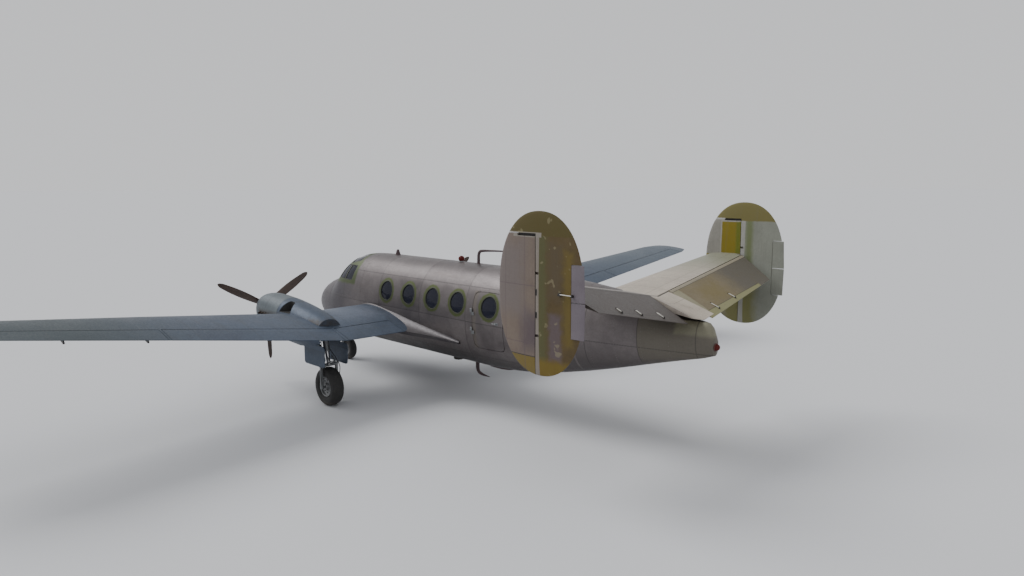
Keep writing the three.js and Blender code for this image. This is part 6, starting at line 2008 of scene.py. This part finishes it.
def buildEngines():
    # Both engines, then a row of exhaust pipes down each side of the nacelles
    for side, hand in hands:
        buildEngine(side, hand)
    x = exhaustShape
    pipes, collars = [], []
    for edge in (1, -1):
        for k in range(x["count"]):
            at = x["rear"] + k * x["spacing"]
            wall = nacelleShape["y"] + edge * float(np.interp(at, smoothNacelle[:, 0], smoothNacelle[:, 2]))
            start = np.array([at, wall - edge * x["bury"], x["z"]])
            end = np.array([at - x["back"], wall + edge * x["out"], x["z"]])
            pipes.append(pipe(start, end, x["radius"], x["inner"]))
            middle = start + (end - start) * (x["bury"] / (x["bury"] + x["out"]))
            out = np.array([0, edge, 0.0])
            collars.append(rod(middle - out * 0.004, middle + out * 0.006, x["radius"] + 0.012, sides=24))
    bothSides("exhaust_pipes", pipes, "burntSteel")
    bothSides("exhaust_collars", collars, "cowlPaint")


def outletPrism(grow, low, high):
    # The outlet's outline beside the left nacelle's middle, widened by the growth
    y = nacelleShape["y"]
    outline = np.array([(x, y + across) for x, across in airOutlet["outline"]])
    outline = roundCorners(outline, airOutlet["corner"])
    middle = outline.mean(0)
    return prism(outline + unit(outline - middle) * grow, "z", low, high)


def buildAirOutlets():
    # A thin lining that follows the outlet's outline inside the nacelle's top
    a = airOutlet
    liner = makeMesh("air_outlet_left", [outletPrism(-0.0008, a["floor"] + 0.0005, 2.4)],
                     materials["sootMetal"])
    within = loft(nacelleRings(3.30, 2.60, 0.004))
    carve(liner, [(outletPrism(-a["lining"], a["floor"] + a["lining"], 2.5), "DIFFERENCE"),
                  (within, "INTERSECT")])
    for piece in (liner, mirrorPiece(liner)):
        place(piece, "airframe")


# Cockpit inside

seatShape = {"y": 0.380, "floor": 1.4003}
pads = {}


def crownedPad(centre, size, crown, pinch=0.05, axis="z", steps=72):
    # A superellipsoid whose flat faces bulge by the crown, and whose sides draw in between its corners
    u = fullTurn(steps)[None, :]
    v = np.linspace(-0.499 * np.pi, 0.499 * np.pi, 40)[:, None]
    a, b, c = np.array(size) / 2
    ring = signedPower(np.cos(v), 0.28)
    x, y = ring * signedPower(np.cos(u), 0.22), ring * signedPower(np.sin(u), 0.22)
    draw = 1 - pinch * (1 - np.abs(x * y))
    z = signedPower(np.sin(v), 0.45) * (0.72 + crown * (1 - x ** 2) * (1 - y ** 2))
    points = np.stack([x * draw * a, y * draw * b, z * c], -1)
    if axis == "x":
        points = points[..., [2, 1, 0]]
    return loft(points + np.asarray(centre, float))


# The pads blown up as cloth: how far a point may move, the remesh's voxel, and the channels sewn in
padCloth = {"pressure": 4.0, "reach": 0.012, "voxel": 0.012, "frames": 20, "channels": (-0.085, 0.0, 0.085),
            "channelDepth": 0.0045, "channelWidth": 0.008}


def evaluatedShape(piece):
    # Points and faces of an object with its modifiers applied
    graph = bpy.context.evaluated_depsgraph_get()
    mesh = piece.evaluated_get(graph).to_mesh()
    points = np.empty(len(mesh.vertices) * 3, np.float32)
    mesh.vertices.foreach_get("co", points)
    faces = [tuple(face.vertices) for face in mesh.polygons]
    piece.evaluated_get(graph).to_mesh_clear()
    return points.reshape(-1, 3).astype(float), faces


def rawPiece(name, points, faces):
    # An object from points and faces as they are
    mesh = bpy.data.meshes.new(name)
    mesh.from_pydata(points.tolist(), [], faces)
    piece = bpy.data.objects.new(name, mesh)
    bpy.context.scene.collection.objects.link(piece)
    return piece


def blownUp(shape, centre, axis):
    # Remeshed, swollen under pressure without gravity, no point further than the reach, then channels sewn
    # in: each face sinks by a bell curve of the distance to the nearest channel line
    p = padCloth
    start = makeMesh("padStart", [shape], materials["seatCloth"])
    remesh = start.modifiers.new("remesh", "REMESH")
    remesh.mode, remesh.voxel_size = "VOXEL", p["voxel"]
    rest, faces = evaluatedShape(start)
    bpy.data.objects.remove(start)
    pad = rawPiece("padCloth", rest, faces)
    cloth = pad.modifiers.new("cloth", "CLOTH")
    cloth.settings.use_pressure = True
    cloth.settings.uniform_pressure_force = p["pressure"]
    cloth.settings.effector_weights.gravity = 0
    for step in range(1, p["frames"] + 1):
        bpy.context.scene.frame_set(step)
    blown, _ = evaluatedShape(pad)
    bpy.data.objects.remove(pad)
    bpy.context.scene.frame_set(1)
    moved = blown - rest
    length = np.linalg.norm(moved, axis=1)[:, None]
    blown = rest + moved * np.minimum(1, p["reach"] / np.maximum(length, 1e-9))
    thick = 0 if axis == "x" else 2
    away = blown - np.asarray(centre)
    for line in p["channels"]:
        dip = p["channelDepth"] * np.exp(-((away[:, 1] - line) / p["channelWidth"]) ** 2)
        blown[:, thick] -= np.sign(away[:, thick]) * dip
    smooth = rawPiece("padSmooth", blown, faces)
    smooth.modifiers.new("smooth", "SUBSURF").levels = 1
    result = evaluatedShape(smooth)
    bpy.data.objects.remove(smooth)
    return result[0], [np.array(result[1])]


def seatPieces(side, hand):
    # Both pads, the welts round their edges and the frame under them
    y, floor = side * seatShape["y"], seatShape["floor"]
    shift = [0, y - seatShape["y"], 0]
    for name, (points, faces) in pads.items():
        piece = add(f"{name}_{hand}", [(points + shift, faces)], "seatCloth", "airframe",
                    f"pilot_seat_{hand}", 60)
    welts = []
    for centre, half, long in (((4.125, y, floor + 0.325), (0.208, 0.193), 0),
                               ((3.893, y, floor + 0.66), (0.282, 0.183), 2)):
        outline = roundedOutline(*half, 0.05, 8)
        flat = np.zeros((len(outline), 3))
        flat[:, [long, 1]] = outline
        welts.append(closedTube(flat + centre, 0.005))
    add(f"seat_welts_{hand}", welts, "seatWelt")
    pan = block((3.905, y - 0.212, floor + 0.255), (4.345, y + 0.212, floor + 0.272), "z", 0.04, 0.004)
    backShell = block((3.832, y - 0.203, floor + 0.250), (3.864, y + 0.203, floor + 1.000), "x", 0.07, 0.005)
    legs = [rod((x, y + across, floor), (x - 0.02, y + across, floor + 0.262), 0.015, sides=16)
            for x in (4.03, 4.24) for across in (-0.10, 0.10)]
    rails = [block((3.95, y + across - 0.014, floor + 0.0005), (4.33, y + across + 0.014, floor + 0.018),
                   "x", 0.004, 0.003) for across in (-0.10, 0.10)]
    add(f"seat_frame_{hand}", [pan, backShell, *legs, *rails], "interior")


def closedTube(points, radius, sides=10):
    # A round bead along a closed path
    points = np.asarray(points, float)
    run = unit(np.roll(points, -1, 0) - np.roll(points, 1, 0))
    normal = unit(np.cross(points[0] - points.mean(0), points[len(points) // 4] - points.mean(0)))
    side, angle = np.cross(run, normal), fullTurn(sides)[None, :, None]
    return loftOpen(points[:, None] + radius * (np.cos(angle) * side[:, None] + np.sin(angle) * normal))


def buildInside():
    # The pads are blown up once and set in both seats; then the dials and the control wheels
    s = seatShape
    for name, x, rise, size, axis in (("seat_cushion", 4.125, 0.325, (0.41, 0.38, 0.085), "z"),
                                      ("seat_back", 3.897, 0.66, (0.56, 0.36, 0.052), "x")):
        centre = (x, s["y"], s["floor"] + rise)
        pads[name] = blownUp(crownedPad(centre, size, 0.28, axis=axis), centre, axis)
    for side, hand in hands:
        seatPieces(side, hand)
    dials, faces = [], []
    rimProfile = [(0.050, 4.6995), (0.050, 4.688), (0.046, 4.684), (0.043, 4.684), (0.043, 4.6995)]
    faceProfile = [(0.001, 4.6985), (0.0425, 4.6985), (0.0425, 4.691), (0.001, 4.691)]
    for row, z in enumerate((2.24, 2.12, 2.00)):
        for k in range(9 - row % 2):
            y = -0.52 + 0.13 * k + 0.065 * (row % 2)
            dials.append(lathe(rimProfile, (0, y, z), "x", 32))
            faces.append(lathe(faceProfile, (0, y, z), "x", 32))
            tip = (4.6895, y + 0.028 * math.sin(k * 1.9 + row), z + 0.028 * math.cos(k * 1.9 + row))
            dials.append(rod((4.6895, y, z), tip, 0.0018, 0.0008, 8))
    add("dial_rings", dials, "legSteel")
    add("dial_faces", faces, "dialFace")
    wheels = []
    for side in (1, -1):
        y = side * s["y"]
        wheels.append(rod((4.62, y, s["floor"]), (4.50, y, 1.98), 0.020, sides=16))
        turn = np.linspace(0.15 * np.pi, 1.85 * np.pi, 30)
        arc = np.stack([np.full(30, 4.47), y + 0.15 * np.sin(turn), 2.0 + 0.11 * np.cos(turn)], 1)
        wheels += [tube(arc, 0.012, 12), rod((4.50, y, 1.98), (4.47, y, 1.90), 0.016, sides=12)]
    add("control_wheels", wheels, "darkMetal")


# Lap bands, rivets and panel fasteners

rivetRows = {"pitch": 0.052, "bandHalf": 0.022, "bandLift": 0.0016,
             "bands": (3.35, 0.918, -0.68, -2.15, -3.50), "frameSpacing": 0.52, "firstFrame": 4.99,
             "lastFrame": -5.90, "levels": (1.36, 1.71, 2.02, 2.70)}
wingRivets = {"pitch": 0.060, "shares": (0.07, 0.25, 0.55, 0.735), "first": 1.30, "last": 9.70,
              "ribs": 0.605}


def windowsAround(points, margin):
    # True where a point on the skin lies in a window, the doorway or a windscreen pane
    x, y, z = points.T
    inside = np.zeros(len(points), bool)
    for centre in cabinWindow["xs"]:
        inside |= np.hypot(x - centre, z - cabinWindow["z"]) < cabinWindow["radius"] + margin
    inside |= ((y > 0) & (x < doorway["front"] + margin) & (x > doorway["rear"] - margin)
               & (z > doorway["bottom"] - margin) & (z < doorway["top"] + margin))
    for kind, first, second in (("side", x, z), ("front", np.abs(y), z), ("brow", x, np.abs(y))):
        outline = np.array(panes[kind])
        low, high = outline.min(0) - margin, outline.max(0) + margin
        within = (first > low[0]) & (first < high[0]) & (second > low[1]) & (second < high[1])
        level = z > 2.9 if kind == "brow" else z < 2.9
        inside |= within & level & (x > (4.3 if kind == "front" else 3.6))
    return inside


def wingRootAround(points):
    # True where a place on the fuselage is under the wing's root
    x, y, z = points.T
    return (x > -0.50) & (x < 3.65) & (np.abs(y) > 0.5) & (z > 1.35) & (z < 2.0)


def skinRivets(x, angle):
    # The places and normals of rivets at stations and angles of the fuselage, without those in openings
    x, angle = (part.ravel() for part in np.broadcast_arrays(np.asarray(x, float), np.asarray(angle, float)))
    places, normals = skinPoint(x, angle), skinNormal(x, angle)
    keep = ~windowsAround(places, cabinWindow["flange"] + 0.02) & ~wingRootAround(places)
    keep &= ~((np.abs(places[:, 1]) < 0.22) & (places[:, 2] < 1.2) & (x > 0.4) & (x < 0.75))
    return places[keep], normals[keep]


def buildFuselageRivets():
    # Rings at the frames and at the bands' edges, then level rows, then the lap bands themselves
    r = rivetRows
    rivets = {"cockpit": [], "cabin": [], "tail": []}
    stops = np.arange(r["firstFrame"], r["lastFrame"], -r["frameSpacing"])
    edges = [band + side * r["bandHalf"] * 0.55 for band in r["bands"] for side in (1, -1)]
    for x in [*stops, *edges]:
        bottom, top, half, _ = sectionAt(x)
        around = np.pi * (half + (top - bottom) / 2)
        angle = fullTurn(max(12, int(around / r["pitch"])))
        kind = "cockpit" if x > fuselage["cockpitJoint"] else "cabin"
        if x <= fuselage["tailJoint"]:
            kind = "tail"
        rivets[kind].append(skinRivets(x, angle))
    for kind, front, rear in (("cockpit", 4.98, 3.38), ("cabin", 3.32, -2.12), ("tail", -2.18, -5.9)):
        x = np.arange(front, rear, -r["pitch"])
        for z in r["levels"] if kind != "tail" else (1.97, 2.35, 2.70):
            for side in (1, -1):
                bottom, top = sectionAt(x)[:2]
                rows = x[(z > bottom + 0.15) & (z < top - 0.06)]
                if len(rows):
                    rivets[kind].append(skinRivets(rows, skinAngle(rows, z, side)))
    for kind, parts in rivets.items():
        places, normals = (np.concatenate([part[k] for part in parts]) for k in (0, 1))
        add(f"fuselage_{kind}_rivets", [scattered(rivetHead, places, normals)], "rivetMetal")
    shapes, angle = [], fullTurn(160)[None, :]
    for band in r["bands"]:
        x = band + np.array([-1.0, -0.96, 0.96, 1.0])[:, None] * r["bandHalf"]
        lift = np.array([0.0, 1.0, 1.0, 0.0])[:, None, None] * r["bandLift"]
        outer = skinPoint(x, angle) + skinNormal(x, angle) * lift
        shapes.append(shell(outer, skinPoint(x, angle, 0.004), wrap=True))
    piece = makeMesh("fuselage_lap_bands", shapes, materials["bareMetal"])
    carve(piece, differences([panePrism("side", side, -0.02) for side in (1, -1)]))
    place(piece, "airframe")


def surfaceNormals(y, share, top):
    # The cross product of small steps along the chord and the span
    d = 1e-3
    chordwise = wingPoint(y, share + d, top) - wingPoint(y, share - d, top)
    spanwise = wingPoint(y + d, share, top) - wingPoint(y - d, share, top)
    normal = np.cross(spanwise, chordwise)
    normal *= np.where((normal[..., 2] > 0) == top, 1, -1)[..., None]
    return unit(normal)


def inNacelle(places):
    # True where a place on the wing is under the nacelle
    x, y, _ = places.T
    half = np.interp(x, smoothNacelle[:, 0], smoothNacelle[:, 2])
    return (x > 1.5) & (np.abs(np.abs(y) - nacelleShape["y"]) < half + 0.02)


def buildWingRivets():
    # Rows along the span at shares of the chord, and rows along the chord at the ribs
    w = wingRivets
    parts = []
    for top in (True, False):
        for share in w["shares"]:
            y = np.arange(w["first"], w["last"], w["pitch"])
            parts.append((y, np.full_like(y, share), top))
        for rib in np.arange(w["first"], w["last"], w["ribs"]):
            share = np.arange(0.03, 0.735, w["pitch"] / 1.9)
            parts.append((np.full_like(share, rib), share, top))
    places = np.concatenate([wingPoint(y, share, np.full(y.shape, top)) for y, share, top in parts])
    normals = np.concatenate([surfaceNormals(y, share, np.full(y.shape, top)) for y, share, top in parts])
    keep = ~inNacelle(places)
    bothSides("wing_rivets", [scattered(rivetHead, places[keep], normals[keep])], "rivetMetal")


def gridRows(columns, rows, low, high, pitch, front, rear):
    # Rivet places in side view: upright rows at the given x, level rows at the given z
    z = np.arange(low, high, pitch)
    x = np.arange(rear, front, pitch)
    upright = [np.stack([np.full_like(z, column), z], 1) for column in columns]
    level = [np.stack([x, np.full_like(x, row)], 1) for row in rows]
    return np.concatenate(upright + level)


finRivets = {"pitch": 0.045, "rows": (2.31, 2.60, 2.88, 3.16, 3.44, 3.72, 4.00), "edge": 0.05,
             "fin": (-4.50, -4.855, -4.875), "rudder": (-5.035, -5.30, -5.565)}
nacelleRivets = {"rings": (3.28, 3.31, 2.95, 2.55, 2.15, 1.80), "cowl": (3.36, 3.39, 3.90, 4.38),
                 "count": 76, "doorLine": (0.30, 0.70), "pitch": 0.05}


def buildFinRivets():
    # Upright and level rows inside the oval, clear of the trim tab
    f, r = finShape, finRivets
    for kind, slot, body, front, rear in (("fin", "beige_paint", "airframe", -4.14, -4.86),
                                          ("rudder", "primer", "rudder_HAND", -5.02, -5.80)):
        flat = gridRows(r[kind], r["rows"], 2.02, 4.08, r["pitch"], front, rear)
        share = (flat[:, 1] - f["bottom"]) / (f["top"] - f["bottom"])
        reach = finChord(share) / 2 - r["edge"]
        keep = np.abs(flat[:, 0] - (f["front"] + f["rear"]) / 2) < reach
        keep &= ~((flat[:, 0] < rudderTab["front"] + 0.03) & (flat[:, 1] > rudderTab["low"] - 0.03)
                  & (flat[:, 1] < rudderTab["high"] + 0.03))
        flat = flat[keep]
        shapes = []
        for side in (1, -1):
            places = finSkin(flat[:, 0], flat[:, 1], side)
            shapes.append(scattered(rivetHead, places, [0, side, 0]))
        bothSides(f"{kind}_rivets", shapes, f"{kind}HAND", body)


def buildTailplaneRivets():
    # Rows along the span at shares of the chord ahead of the hinge, and ribs across
    s = tailplaneShape
    span = np.arange(0.30, s["tipY"] - 0.16, 0.05)
    rows = [np.stack([span, np.full_like(span, share)], 1) for share in (0.06, 0.30, 0.50)]
    chordwise = np.arange(0.03, 0.50, 0.03)
    rows += [np.stack([np.full_like(chordwise, y), chordwise], 1)
             for y in np.arange(0.36, s["tipY"] - 0.16, 0.385)]
    y, share = np.concatenate(rows).T
    leadX, z, trailX = tailplaneRow(y / s["tipY"])
    chord = leadX - trailX
    keep = leadX - share * chord > s["hingeX"] + 0.05
    shapes = []
    for side in (1, -1):
        skin = z + side * halfThickness(share, s["thickness"]) * chord
        places = np.stack([leadX - share * chord, y, skin], -1)[keep]
        shapes.append(scattered(rivetHead, places, [0, -0.18 * side, side]))
    bothSides("tailplane_rivets", shapes, "tailPaint")


def buildNacelleRivets():
    # Rings round the nacelle and the cowling, and rows along the lines of their doors
    r = nacelleRivets
    angle = fullTurn(r["count"])
    for name, rings, finishName in (("nacelle", r["rings"], "nacellePaint"),
                                    ("cowling", r["cowl"], "cowlPaint")):
        x, around = (part.ravel() for part in np.meshgrid(np.array(rings), angle))
        along = np.arange(min(rings), max(rings), r["pitch"])
        for turn in r["doorLine"]:
            x, around = np.append(x, along), np.append(around, np.full_like(along, np.pi * turn))
        places = nacellePoint(x, around)
        ahead, beside = nacellePoint(x + 0.01, around), nacellePoint(x, around + 0.01)
        normals = np.cross(ahead - places, beside - places)
        middle = np.stack([x, np.full_like(x, nacelleShape["y"]), nacellePoint(x, around * 0)[:, 2]], -1)
        outwards = places - middle
        normals *= np.where((normals * outwards).sum(1) > 0, 1, -1)[:, None]
        keep = ~((places[:, 2] < 1.58) & (x < 2.72)) & ~((x < 1.72) & (places[:, 2] < 1.55))
        (rear, inner), (front, _) = (reach(airOutlet["outline"], axis=0) for reach in (np.min, np.max))
        opening = ((x > rear - 0.04) & (x < front + 0.04) & (places[:, 1] > nacelleShape["y"] + inner - 0.03)
                   & (places[:, 2] > 1.95))
        keep &= ~opening
        heads = scattered(rivetHead, places[keep], normals[keep])
        bothSides(f"{name}_rivets", [heads], finishName)


def buildSurface():
    buildFuselageRivets()
    buildWingRivets()
    buildFinRivets()
    buildTailplaneRivets()
    buildNacelleRivets()


# The whole aircraft

for step, make in (("fuselage", (buildFuselage, buildCockpit)), ("wings", (buildWings,)),
                   ("tail", (buildTail,)), ("nacelles and propellers", (buildNacelles, buildPropellers)),
                   ("gear", (buildGear,)), ("fittings", (buildFittings,)),
                   ("engines", (buildEngines, buildAirOutlets)), ("inside", (buildInside,)),
                   ("rivets and bands", (buildSurface,))):
    for build in make:
        build()
    print(step, "built")
# The solids that no piece takes the place of
for node, finishName in (("cabin_floor", "floorBoard"), ("tail_bulkhead", "interior"),
                         ("instrument_panel", "panelBlack")):
    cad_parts[node].material_slots[0].material = materials[finishName]


# Floor and light


# Sky: pale above, and at the horizon the brightness of the lit floor, so that no edge shows between them
stageLook = {"floor": 0.66, "size": 500, "sky": 0.74, "sun": 1.9, "sunFrom": (2.0, 0.9, 2.4), "sunAngle": 34,
             "tint": (0.985, 0.995, 1.02)}
sunWay = -Vector(stageLook["sunFrom"]).normalized()
floorLight = 0.925 * stageLook["sky"] + stageLook["sun"] * -sunWay.z / math.pi
horizon = stageLook["floor"] * floorLight / (1 - 0.075 * stageLook["floor"])

floorMade, _, floorShader, _ = startMaterial("floorPaint", Roughness=0.85, Specular_IOR_Level=0.0)
floorColour = [stageLook["floor"] * part for part in stageLook["tint"]]
floorShader.inputs["Base Color"].default_value = (*floorColour, 1)
corner = np.linspace(-stageLook["size"], stageLook["size"], 3)
corners = np.stack([*np.meshgrid(corner, corner), np.zeros((3, 3))], -1)
makeMesh("floor", [(corners.reshape(-1, 3), [gridFaces(3, 3)])], floorMade)

world = bpy.data.worlds.new("world")
bpy.context.scene.world = world
world.use_nodes = True
skyTree = world.node_tree
skyWay = addNode(skyTree, "SeparateXYZ", Vector=skyTree.nodes.new("ShaderNodeTexCoord").outputs["Generated"])
skyShare = ramp(skyTree, skyWay.outputs[2], 0.0, 0.5)
pale, high = (tuple(value * part for part in stageLook["tint"]) for value in (horizon, stageLook["sky"]))
skyTree.links.new(blendColour(skyTree, skyShare, pale, high), skyTree.nodes["Background"].inputs["Color"])

sunData = bpy.data.lights.new("softSun", "SUN")
sunData.energy = stageLook["sun"]
sunData.angle = math.radians(stageLook["sunAngle"])
sunLamp = bpy.data.objects.new("softSun", sunData)
bpy.context.scene.collection.objects.link(sunLamp)
sunLamp.rotation_mode = "QUATERNION"
sunLamp.rotation_quaternion = sunWay.to_track_quat("-Z", "Y")
print("stage lit")
